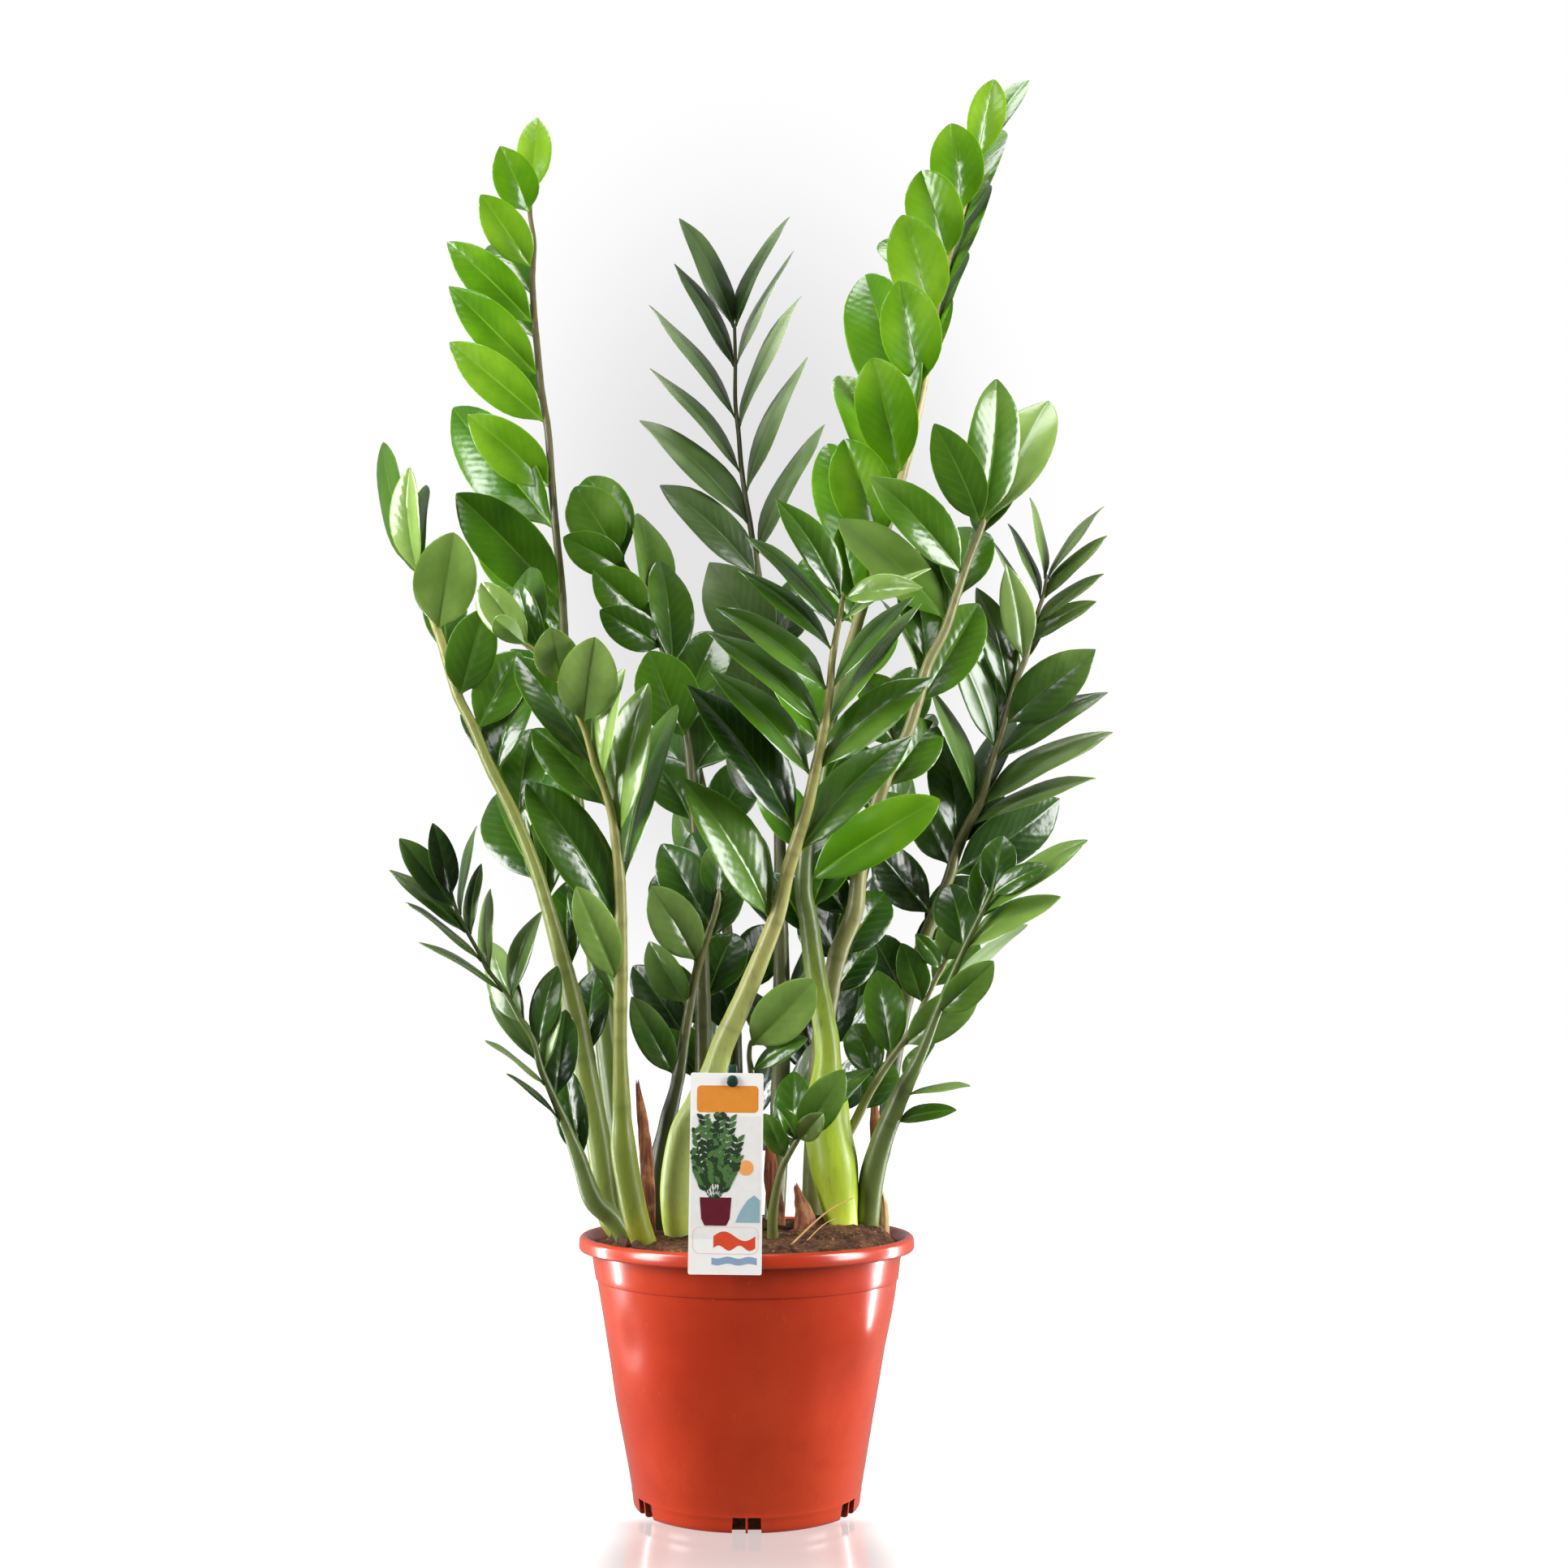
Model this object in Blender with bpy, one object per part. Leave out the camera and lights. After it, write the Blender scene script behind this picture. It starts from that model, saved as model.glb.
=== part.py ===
# Potted ZZ plant (Zamioculcas zamiifolia) in a moulded nursery pot.
#
# Frame: metres, +Z up.  The origin is the middle of the pot's flat underside,
# the pot stands on Z = 0 and the hang card faces -Y.
# Every frond is one compound leaf (stalk, rachis and leaflets grown as one
# piece) and is one solid.  Pot, soil, tubers, dry sheaths, card and stake are
# solids of their own.
import math

import bmesh
import bpy
from mathutils import Quaternion, Vector
from mathutils.bvhtree import BVHTree

# ------------------------------------------------------ driving dimensions ----
POT_SIDES = 40
SOIL_SIDES = 40
GAP = 0.0004               # clearance between pieces that touch

for _o in list(bpy.data.objects):
    bpy.data.objects.remove(_o, do_unlink=True)

# ------------------------------------------------------ shared dimensions ----
POT_HEIGHT = 0.1845        # underside to the top of the rim
RIM_RADIUS = 0.1200        # outside of the rolled rim: a 24 cm pot
LIP_HEIGHT = 0.0105        # height of the rolled rim
WALL_TOP_RADIUS = 0.1112   # wall just under the rim
STEP_DROP = 0.0300         # the moulded step line lies this far below the rim
STEP_DEPTH = 0.0009        # how far the wall steps in there
BASE_RADIUS = 0.0794       # outside of the foot
WALL = 0.0018              # moulded wall thickness
FLOOR = 0.0024             # moulded floor thickness
NOTCH_COUNT = 6            # drainage notches round the foot
NOTCH_WIDTH = 0.0200
NOTCH_HEIGHT = 0.0105
NOTCH_INWARD = 0.0100      # how far a notch cuts into the floor
NOTCH_RIB = 0.0016         # rib left standing in the middle of a notch
SOIL_EDGE_DROP = 0.0062    # soil below the rim's top at the wall
SOIL_CROWN = 0.0070        # how much the soil is heaped in the middle
CARD_WIDTH = 0.0478
CARD_HEIGHT = 0.1290
CARD_THICK = 0.0010
CARD_HOLE = 0.0032         # radius of the hole in the card
PEG_RADIUS = 0.0026        # peg through it
STAKE_WIDTH = 0.0070
STAKE_THICK = 0.0030

# ---------------------------------------------------------------- drawing ----
# The plant is laid out on a front elevation drawn in true perspective.  The
# drawing has a grid: G runs right, H runs down, and the pot's axis is G = 920.
# The station the drawing is made from stands on the -Y side of the plant and
# looks slightly up.  A grid point with a depth (world Y) is a point in space.
STATION = (0.0, -1.286, 0.331)     # metres
STATION_TILT = math.radians(7.955) # looking up
GRID_PER_RAY = 2146.67             # grid units per unit of slope
GRID_G0, GRID_H0 = 920.0, 966.0    # grid point straight ahead

_CT, _ST = math.cos(STATION_TILT), math.sin(STATION_TILT)


def at(g, h, depth):
    """The point at grid (g, h) whose world Y is depth (metres)."""
    dx = (g - GRID_G0) / GRID_PER_RAY
    dz = (GRID_H0 - h) / GRID_PER_RAY
    ray = Vector((dx, _CT - dz * _ST, _ST + dz * _CT))
    t = (depth - STATION[1]) / ray.y
    return Vector(STATION) + ray * t


def grid_of(p):
    """Grid coordinates of a point in space."""
    v = p - Vector(STATION)
    fwd = v.y * _CT + v.z * _ST
    up = -v.y * _ST + v.z * _CT
    return (GRID_G0 + GRID_PER_RAY * v.x / fwd,
            GRID_H0 - GRID_PER_RAY * up / fwd)


def unit_at(p):
    """Length in metres of one grid unit at the point p."""
    v = p - Vector(STATION)
    return (v.y * _CT + v.z * _ST) / GRID_PER_RAY


# ----------------------------------------------------------------- fronds ----
# One frond (a compound leaf with its stalk) per entry.
#  path   stalk, foot to tip, on the grid
#  depth  world Y in mm at the foot and at the tip, and the bend's exponent
#  width  (h, width) of the stalk in grid units, foot to tip
#  leaf   (g, h of the joint on the stalk, g, h of the tip, width, dy[, flag])
#         dy: how far the tip lies behind (+) or before (-) the joint, in mm
#         flag: a digit, the blade's tone from 0 deep to 9 pale, and "u" where
#         the pale underside faces the station
FRONDS = [
 dict(name="frond_front_left",
  path=[(779,1545),(777,1500),(769,1422),(766,1364),(764,1282),(765,1193),(765,1141),(764,1090),(760,1044),
        (754,1003),(744,970),(733,943),(718,893),(690,840),(662,805),(640,790)],
  depth=(-62,-150,1.2), width=[(1545,31),(1500,32),(1428,33),(1364,23),(1282,17),(1193,17),(1044,13),(943,9),(790,6)],
  leaf=[(648,796,593,718,40,-8,"8"),(672,815,638,718,35,12,"4"),(646,794,609,762,28,-32,"7u"),(660,804,652,700,26,28,"3"),
        (650,798,587,728,22,12,"9"),(690,842,679,773,60,-34,"7"),(716,890,733,785,68,-36,"7"),(742,962,770,824,50,-24,"9"),
        (758,1030,799,842,48,-14,"7"),(764,1085,834,868,40,14,"3"),(733,945,637,809,60,22,"2"),(750,992,657,898,58,6,"3"),
        (765,1135,649,965,72,-12,"2"),(765,1205,710,1092,40,-26,"7"),(764,1240,700,1100,34,26,"3")]),
 dict(name="frond_front_centre",
  path=[(842,1540),(836,1500),(835,1459),(843,1400),(862,1360),(880,1320),(890,1289),(905,1256),(923,1215),
        (944,1164),(959,1123),(969,1080),(974,1062),(985,1026),(995,993),(1003,957),(1011,919),(1018,881),
        (1023,845),(1025,817),(1031,779),(1036,753),(1039,730)],
  depth=(-34,-150,1.2), width=[(1540,36),(1500,42),(1459,44),(1400,40),(1340,34),(1289,29),(1256,27),(1164,22),(1080,18),(957,14),(845,10),(730,6)],
  leaf=[(1038,738,956,615,42,-8,"3"),(1040,732,1137,724,30,-24,"8"),(1034,765,1147,700,12,-8,"8"),(1033,772,920,662,24,-6,"3"),
        (1028,800,910,703,24,-10,"2"),(1023,850,882,749,34,-10,"4"),(1016,895,871,779,36,-12,"4"),(1004,955,873,826,40,-12,"4"),
        (985,1026,846,844,60,-14,"0"),(955,1132,838,957,62,-30,"5"),(1025,845,1126,735,22,-6,"5"),(1016,895,1135,743,24,0,"6"),
        (1007,945,1149,835,50,-4,"5"),(985,1050,1124,907,54,8,"4")]),
 dict(name="frond_left",
  path=[(748,1530),(746,1500),(745,1468),(738,1410),(724,1338),(710,1257),(692,1180),(670,1102),(652,1049),
        (629,995),(603,944),(583,896),(565,860),(555,830),(542,786),(530,755),(521,725),(511,702)],
  depth=(-12,10,1.0), width=[(1530,29),(1468,31),(1410,31),(1338,31),(1272,30),(1193,22),(1115,17),(995,15),(896,13),(786,11),(702,6)],
  leaf=[(514,706,472,545,30,6,"3"),(512,703,505,576,40,-30,"8"),(516,712,524,598,28,36,"3"),(538,776,559,656,70,-40,"7"),
        (565,858,597,750,56,-30,"3"),(585,900,640,803,56,14,"4"),(608,952,650,830,58,26,"2"),(635,1008,655,898,56,40,"2"),
        (672,1108,676,1000,48,36,"3"),(700,1196,702,1084,42,34,"1"),(660,1086,610,980,54,60,"2"),(606,960,572,880,36,50,"2"),
        (548,806,548,716,50,48,"3"),(722,1302,736,1194,44,46,"0")]),
 dict(name="frond_left_tall",
  path=[(775,1520),(772,1490),(762,1400),(750,1300),(738,1200),(722,1080),(706,930),(698,830),(694,755),
        (692,722),(687,674),(683,633),(679,582),(675,531),(667,480),(662,430),(658,386),(656,340),
        (658,300),(653,262),(655,232)],
  depth=(40,120,1.1), width=[(1520,28),(1400,30),(1300,30),(1200,26),(1080,18),(930,13),(755,10),(531,9),(386,8),(232,5)],
  leaf=[(655,236,662,145,41,12,"7"),(655,262,616,180,62,-34,"4"),(656,330,592,240,50,-36,"6"),(658,398,551,298,54,-26,"5"),
        (664,462,553,353,54,-26,"5"),(670,520,554,422,55,-26,"6"),(678,600,576,511,60,-30,"5"),(691,738,562,608,76,-30,"2"),
        (684,648,558,503,84,42,"2"),(657,360,604,302,46,56,"2"),(660,414,604,376,40,60,"2"),(668,490,594,430,46,56,"2"),
        (694,770,590,668,60,52,"2"),(696,800,640,718,56,44,"1"),(700,880,630,800,56,40,"1"),(708,960,790,890,58,50,"2"),
        (716,1030,650,960,56,50,"0")]),
 dict(name="frond_left_rear",
  path=[(872,1500),(868,1400),(866,1250),(862,1100),(852,960),(845,905),(831,840),(815,795),(800,762),
        (783,722),(765,690),(752,668)],
  depth=(35,75,1.0), width=[(1500,26),(1300,22),(1100,16),(905,11),(668,6)],
  leaf=[(760,688,708,600,62,-20,"4"),(764,692,724,588,66,14,"4"),(772,704,694,662,44,-30,"3"),(795,762,787,633,60,16,"5"),
        (800,762,731,702,52,-34,"3"),(816,797,739,752,44,-42,"2"),(826,822,813,690,54,30,"3"),(846,908,800,802,68,-28,"3"),
        (840,878,884,780,60,40,"3"),(850,950,910,880,60,38,"1"),(856,1010,800,930,56,30,"2"),(862,1085,915,1010,60,40,"2"),
        (864,1160,812,1075,56,34,"2"),(866,1230,905,1150,56,34,"1"),(866,1262,800,1190,52,30,"1"),(866,1330,816,1262,50,26,"1")]),
 dict(name="frond_left_low",
  path=[(744,1540),(740,1505),(731,1478),(713,1427),(698,1389),(680,1348),(667,1318),(657,1282),(641,1256),
        (624,1225),(601,1195),(593,1179),(573,1143),(560,1115),(556,1097)],
  depth=(-42,-70,1.0), width=[(1540,23),(1478,25),(1427,19),(1389,13),(1348,9),(1250,6),(1097,4)],
  leaf=[(556,1098,533,1014,33,-12,"1"),(561,1116,492,1033,22,-18,"3"),(566,1128,587,1018,11,16,"4"),(578,1152,593,1064,18,14,"6"),
        (575,1148,480,1072,14,-16,"5"),(601,1195,604,1095,20,18,"7"),(595,1184,500,1112,9,-18,"7"),(620,1221,516,1161,9,-20,"6"),
        (628,1232,667,1123,26,18,"5"),(645,1264,606,1161,32,36,"6"),(659,1290,687,1190,36,14,"4"),(682,1353,697,1244,46,24,"1"),
        (674,1335,597,1282,7,-18,"9"),(694,1380,624,1323,14,-22,"1"),(722,1428,696,1310,42,20,"2"),(663,1307,603,1226,12,10,"7"),
        (668,1318,690,1228,26,10,"8")]),
 dict(name="frond_rear_centre",
  path=[(955,1490),(960,1400),(963,1250),(962,1100),(958,950),(950,850),(941,760),(933,697),(928,671),
        (923,638),(918,610),(913,572),(910,533),(906,495),(906,444),(905,398)],
  depth=(62,215,1.1), width=[(1490,26),(1250,22),(1100,16),(850,11),(638,7),(398,4)],
  leaf=[(905,404,837,269,31,-16,"3"),(905,400,973,267,30,-18,"3"),(906,452,831,325,22,-8,"2"),(906,448,978,309,10,12,"9"),
        (908,515,800,376,18,-8,"5"),(909,526,987,365,18,-8,"6"),(914,582,801,454,19,-8,"4"),(918,606,995,440,21,-8,"5"),
        (923,645,788,518,36,-14,"3"),(934,708,813,598,48,-14,"2"),(930,684,1016,523,24,-10,"4"),(956,802,874,693,82,-26,"4"),
        (962,900,884,800,74,-30,"4"),(945,806,1003,700,50,16,"2"),(957,940,1012,850,56,26,"3"),(959,985,900,905,56,34,"1"),
        (962,1080,1016,1000,52,30,"2"),(963,1150,905,1060,54,36,"1"),(962,1230,1010,1150,54,30,"1"),(961,1300,908,1215,54,30,"0"),
        (958,1362,1004,1284,50,10,"1"),(957,1420,915,1350,44,24,"0")]),
 dict(name="frond_right_tall",
  path=[(1038,1545),(1037,1510),(1027,1433),(1019,1377),(1020,1297),(1014,1253),(1005,1202),(997,1139),(990,1088),
        (1000,1000),(1025,880),(1062,750),(1090,660),(1108,599),(1124,540),(1136,484),(1151,400),(1167,328),
        (1186,262),(1206,190)],
  depth=(-18,80,1.3), width=[(1545,32),(1510,40),(1470,54),(1433,61),(1377,57),(1330,42),(1297,32),(1202,27),(1088,22),(880,16),(660,12),(400,10),(190,6)],
  leaf=[(1206,192,1266,99,32,8,"4"),(1204,196,1225,98,44,-22,"7"),(1186,262,1172,152,70,-32,"5"),(1170,318,1135,210,68,-32,"5"),
        (1153,392,1111,265,70,-32,"6"),(1138,476,1108,346,72,-32,"5"),(1112,585,1075,441,72,-32,"5"),(1094,672,1040,541,74,-34,"4"),
        (1062,750,1035,650,44,-16,"3"),(1126,532,1066,339,86,44,"1"),(1160,360,1085,298,42,48,"1"),(1100,628,1035,463,72,42,"2"),
        (1076,706,1019,547,70,36,"1"),(1182,288,1230,160,54,56,"1"),(1162,366,1213,228,54,60,"1"),(1150,432,1182,308,50,60,"1"),
        (1142,478,1164,368,46,60,"5"),(996,1085,1158,985,34,-14,"5"),(1056,768,988,690,60,24,"1"),(1040,828,1100,760,56,30,"4"),
        (1016,918,960,830,64,36,"3"),(1002,985,1056,905,56,34,"2"),(994,1050,946,965,56,36,"2"),(992,1120,1040,1040,52,34,"1"),
        (998,1150,950,1075,50,34,"0")]),
 dict(name="frond_right_mid",
  path=[(1000,1490),(1004,1400),(1012,1290),(1030,1184),(1053,1123),(1061,1062),(1091,960),(1118,904),(1132,860),
        (1143,819),(1164,778),(1178,736),(1191,697),(1209,651),(1213,637)],
  depth=(34,-10,1.0), width=[(1490,26),(1290,26),(1123,22),(1062,20),(960,16),(819,13),(637,8)],
  leaf=[(1211,645,1151,522,52,-24,"4"),(1213,640,1228,467,50,-4,"5"),(1212,638,1292,494,26,6,"8"),(1205,662,1250,585,38,44,"3"),
        (1186,706,1072,588,54,-18,"5"),(1178,738,1198,650,60,46,"2"),(1170,762,1145,655,56,46,"2"),(1146,815,1118,700,46,26,"2"),
        (1150,870,1206,744,64,30,"4"),(1110,920,1062,830,56,34,"3"),(1088,968,1150,890,58,36,"3"),(1064,1050,1112,980,54,30,"2"),
        (1050,1130,990,1060,50,38,"1"),(1034,1178,1090,1100,54,42,"1"),(1170,764,1033,640,30,20,"6"),(1140,832,1084,738,32,26,"6"),
        (1024,1225,1072,1160,46,40,"0"),(1080,1000,1030,930,50,36,"2")]),
 dict(name="frond_right_narrow",
  path=[(1078,1500),(1086,1420),(1102,1300),(1128,1190),(1169,1082),(1175,1061),(1189,1024),(1205,994),(1212,975),
        (1221,943),(1233,906),(1242,874),(1253,837),(1264,810),(1272,778),(1280,750),(1286,732),(1290,707)],
  depth=(48,55,1.0), width=[(1500,24),(1300,20),(1082,14),(975,11),(837,8),(707,4)],
  leaf=[(1289,712,1269,613,11,6,"8"),(1290,710,1360,624,11,6,"8"),(1284,738,1242,645,12,8,"6"),(1285,736,1364,660,20,-8,"8"),
        (1278,768,1360,707,18,-10,"8"),(1270,790,1351,741,28,-12,"7"),(1250,893,1350,800,60,-20,"4"),(1262,815,1294,750,13,20,"6"),
        (1248,942,1365,853,32,-14,"4"),(1232,1000,1371,902,32,-14,"6"),(1222,1030,1350,959,22,-20,"6"),(1205,1085,1306,984,74,14,"2"),
        (1276,768,1219,663,9,10,"8"),(1262,812,1240,695,18,14,"8"),(1246,862,1203,724,40,16,"5"),(1234,904,1219,798,44,30,"2"),
        (1229,920,1170,784,16,-14,"5"),(1206,996,1145,847,22,-10,"5"),(1200,1046,1158,905,64,26,"2"),(1222,1006,1250,884,40,34,"1"),
        (1158,1130,1076,1042,58,34,"1"),(1140,1160,1200,1080,54,36,"1"),(1120,1230,1072,1150,54,30,"1"),(1186,1040,1226,960,50,34,"1"),
        (1176,1066,1130,990,50,34,"2"),(1130,1190,1180,1120,50,34,"1")]),
 dict(name="frond_right_low_thin",
  path=[(1035,1500),(1036,1440),(1042,1405),(1054,1381),(1074,1342),(1097,1306),(1123,1270),(1136,1242),(1152,1208),
        (1162,1190),(1172,1167)],
  depth=(18,-28,1.0), width=[(1500,14),(1400,12),(1300,9),(1167,6)],
  leaf=[(1168,1184,1194,1120,48,-20,"5"),(1160,1193,1128,1151,22,-22,"2"),(1140,1236,1111,1162,36,-18,"2"),(1100,1302,1081,1196,48,18,"2"),
        (1120,1290,1206,1220,46,-20,"5"),(1148,1216,1200,1150,46,30,"1"),(1080,1330,1052,1262,44,26,"1"),(1060,1368,1100,1310,40,24,"1")]),
 dict(name="frond_right_low",
  path=[(1066,1540),(1068,1508),(1074,1452),(1086,1407),(1100,1372),(1113,1342),(1125,1319),(1136,1296),(1162,1230),
        (1190,1165),(1225,1095)],
  depth=(0,-85,1.0), width=[(1540,27),(1508,30),(1452,31),(1400,27),(1342,21),(1296,14),(1230,10),(1095,5)],
  leaf=[(1098,1378,1179,1368,20,-12,"3"),(1112,1345,1196,1338,9,-16,"7"),(1116,1338,1150,1282,25,22,"3"),(1156,1244,1224,1184,40,-22,"5"),
        (1168,1216,1266,1139,18,-12,"8"),(1190,1166,1307,1105,30,-16,"7"),(1212,1124,1340,1035,30,-14,"6"),(1206,1134,1231,1054,48,22,"2"),
        (1223,1100,1290,1066,30,10,"2"),(1222,1102,1236,1030,40,18,"0"),(1190,1168,1170,1090,52,26,"1")]),
 dict(name="frond_short",
  path=[(812,1530),(812,1490),(814,1440),(822,1385),(835,1331),(846,1261),(860,1190),(882,1123),(886,1095)],
  depth=(6,-30,1.0), width=[(1530,34),(1470,37),(1433,31),(1382,21),(1331,16),(1261,13),(1190,11),(1095,6)],
  leaf=[(860,1184,803,1092,54,-22,"7"),(848,1236,800,1160,46,-14,"5"),(884,1112,890,1036,44,8,"4"),(876,1140,815,1040,56,16,"2"),
        (870,1158,902,1072,50,30,"2"),(884,1108,852,1026,44,28,"1"),(842,1272,780,1190,46,20,"1"),(838,1325,778,1228,36,-10,"4")]),
 dict(name="frond_seedling",
  path=[(952,1540),(952,1500),(956,1470),(964,1438),(978,1412),(988,1396)],
  depth=(-52,-92,1.0), width=[(1540,14),(1500,13),(1438,9),(1396,6)],
  leaf=[(988,1397,1040,1318,44,-14,"4"),(984,1402,1014,1372,28,-22,"7"),(982,1405,958,1366,24,-18,"3"),(970,1428,941,1372,28,-8,"4"),
        (976,1416,978,1320,44,16,"1"),(986,1400,1074,1316,46,40,"0")]),
 dict(name="frond_thin",
  path=[(930,1490),(930,1440),(928,1380),(926,1325),(923,1302),(925,1281)],
  depth=(-10,-60,1.0), width=[(1490,10),(1325,8),(1281,5)],
  leaf=[(924,1284,1003,1207,62,-24,"7"),(926,1318,995,1279,28,-16,"3")]),
 dict(name="frond_rear_left",
  path=[(905,1490),(906,1400),(905,1280),(896,1150),(880,1040),(862,950),(846,880)],
  depth=(84,200,1.1), width=[(1490,22),(1280,18),(1040,11),(880,6)],
  leaf=[(848,890,842,800,56,20,"2"),(852,905,800,838,56,-10,"2"),(858,930,896,850,56,24,"0"),(868,975,816,900,56,30,"2"),
        (876,1018,926,940,56,20,"3"),(884,1062,834,990,56,30,"3"),(892,1110,938,1030,56,20,"5"),(898,1160,846,1085,56,26,"1"),
        (903,1220,950,1140,56,16,"1"),(905,1276,884,1186,56,-20,"0"),(906,1330,858,1256,56,20,"1"),(906,1375,950,1305,50,20,"0"),
        (905,1400,862,1340,46,24,"0")]),
 dict(name="frond_rear_right",
  path=[(1012,1490),(1014,1400),(1022,1290),(1040,1180),(1066,1070),(1092,980),(1112,900)],
  depth=(80,185,1.1), width=[(1490,22),(1290,18),(1070,11),(900,6)],
  leaf=[(1110,908,1124,822,56,20,"4"),(1107,920,1066,850,56,-6,"4"),(1100,950,1150,880,56,24,"3"),(1088,992,1040,920,56,30,"3"),
        (1074,1042,1124,960,56,24,"3"),(1062,1088,1012,1010,56,24,"3"),(1050,1136,1102,1060,56,24,"2"),(1040,1182,992,1110,56,24,"2"),
        (1030,1240,1062,1160,56,-16,"0"),(1024,1282,1076,1210,56,10,"0"),(1019,1320,974,1246,56,20,"1"),(1026,1300,1050,1156,48,6,"0"),
        (1015,1370,1062,1300,46,10,"0")]),
]

BLADE_RATIO = 0.36      # true width over length of a leaflet, at the least
BLADE_THICK = 0.0013    # thickness of a leaflet, metres
SOIL_FLOOR = 0.150      # the stalks' feet end at this height, in the soil
RIM_TOP = 0.1845        # height of the pot's rim
MOUTH_RADIUS = 0.1070   # a stalk passes the pot's mouth inside this radius
FOOT_RADIUS_MAX = 0.096 # a stalk's foot stays this close to the pot's axis


def _interp(table, x):
    """Piecewise linear look-up in a table of (x, y) with x falling."""
    if x >= table[0][0]:
        return table[0][1]
    for (xa, ya), (xb, yb) in zip(table, table[1:]):
        if x >= xb:
            return ya + (yb - ya) * (x - xa) / (xb - xa)
    return table[-1][1]


def _catmull(pts, n):
    """Smooth curve through the points, n steps per span."""
    out = []
    for i in range(len(pts) - 1):
        p0 = pts[max(i - 1, 0)]
        p1, p2 = pts[i], pts[i + 1]
        p3 = pts[min(i + 2, len(pts) - 1)]
        for k in range(n):
            t = k / n
            out.append(0.5 * ((2 * p1) + (p2 - p0) * t + (2 * p0 - 5 * p1 + 4 * p2 - p3) * t * t
                              + (3 * p1 - p0 - 3 * p2 + p3) * t * t * t))
    out.append(pts[-1].copy())
    return out


class Stalk:
    """Centre line of a stalk with its radius, by arc length."""

    def __init__(self, spec):
        path = spec["path"]
        d0, d1, ex = spec["depth"]
        run = [0.0]
        for a, b in zip(path, path[1:]):
            run.append(run[-1] + math.hypot(b[0] - a[0], b[1] - a[1]))
        pts, wid = [], []
        for (g, h), r in zip(path, run):
            f = (r / run[-1]) ** ex
            p = at(g, h, (d0 + (d1 - d0) * f) / 1000.0)
            pts.append(p)
            wid.append(_interp(spec["width"], h) * unit_at(p) * 0.5)
        # a stalk stands inside the pot's wall
        for i, q in enumerate(pts):
            if q.z < RIM_TOP + 0.022:
                lim = MOUTH_RADIUS - wid[i]
                rad = math.hypot(q.x, q.y)
                if rad > lim:
                    q.x *= lim / rad
                    q.y *= lim / rad
        # the foot: keep it in the pot and carry it down into the soil
        foot = pts[0].copy()
        rad = math.hypot(foot.x, foot.y)
        lim = FOOT_RADIUS_MAX - wid[0]
        if rad > lim:
            foot.x *= lim / rad
            foot.y *= lim / rad
        d = (pts[1] - pts[0]).normalized()
        down = Vector((foot.x * 0.93, foot.y * 0.93, SOIL_FLOOR))
        pts[0] = foot
        if foot.z > SOIL_FLOOR + 0.012:
            pts.insert(0, down)
            wid.insert(0, wid[0] * 0.86)
        else:
            pts[0].z = SOIL_FLOOR
        # keep only rising points near the foot
        keep = [0]
        for i in range(1, len(pts)):
            if pts[i].z > pts[keep[-1]].z + 0.006 or i > 4:
                keep.append(i)
        pts = [pts[i] for i in keep]
        wid = [wid[i] for i in keep]
        n = 8
        self.p = _catmull(pts, n)
        self.r = []
        for i in range(len(pts) - 1):
            for k in range(n):
                t = k / n
                t = t * t * (3 - 2 * t)
                self.r.append(wid[i] + (wid[i + 1] - wid[i]) * t)
        self.r.append(wid[-1])
        self.s = [0.0]
        for a, b in zip(self.p, self.p[1:]):
            self.s.append(self.s[-1] + (b - a).length)
        self.length = self.s[-1]
        self.g = [grid_of(q) for q in self.p]

    def _find(self, s):
        s = min(max(s, 0.0), self.length)
        lo, hi = 0, len(self.s) - 1
        while hi - lo > 1:
            m = (lo + hi) // 2
            if self.s[m] <= s:
                lo = m
            else:
                hi = m
        f = (s - self.s[lo]) / max(self.s[hi] - self.s[lo], 1e-9)
        return lo, hi, f

    def point(self, s):
        a, b, f = self._find(s)
        return self.p[a].lerp(self.p[b], f)

    def radius(self, s):
        a, b, f = self._find(s)
        return self.r[a] + (self.r[b] - self.r[a]) * f

    def tangent(self, s):
        e = 0.004
        return (self.point(s + e) - self.point(s - e)).normalized()

    def nearest(self, g, h):
        best, bs = 1e9, 0.0
        for i in range(len(self.p) - 1):
            (ax, ay), (bx, by) = self.g[i], self.g[i + 1]
            dx, dy = bx - ax, by - ay
            q = dx * dx + dy * dy
            t = 0.0 if q < 1e-9 else min(max(((g - ax) * dx + (h - ay) * dy) / q, 0.0), 1.0)
            d = math.hypot(ax + dx * t - g, ay + dy * t - h)
            if d < best:
                best, bs = d, self.s[i] + (self.s[i + 1] - self.s[i]) * t
        return bs


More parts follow.
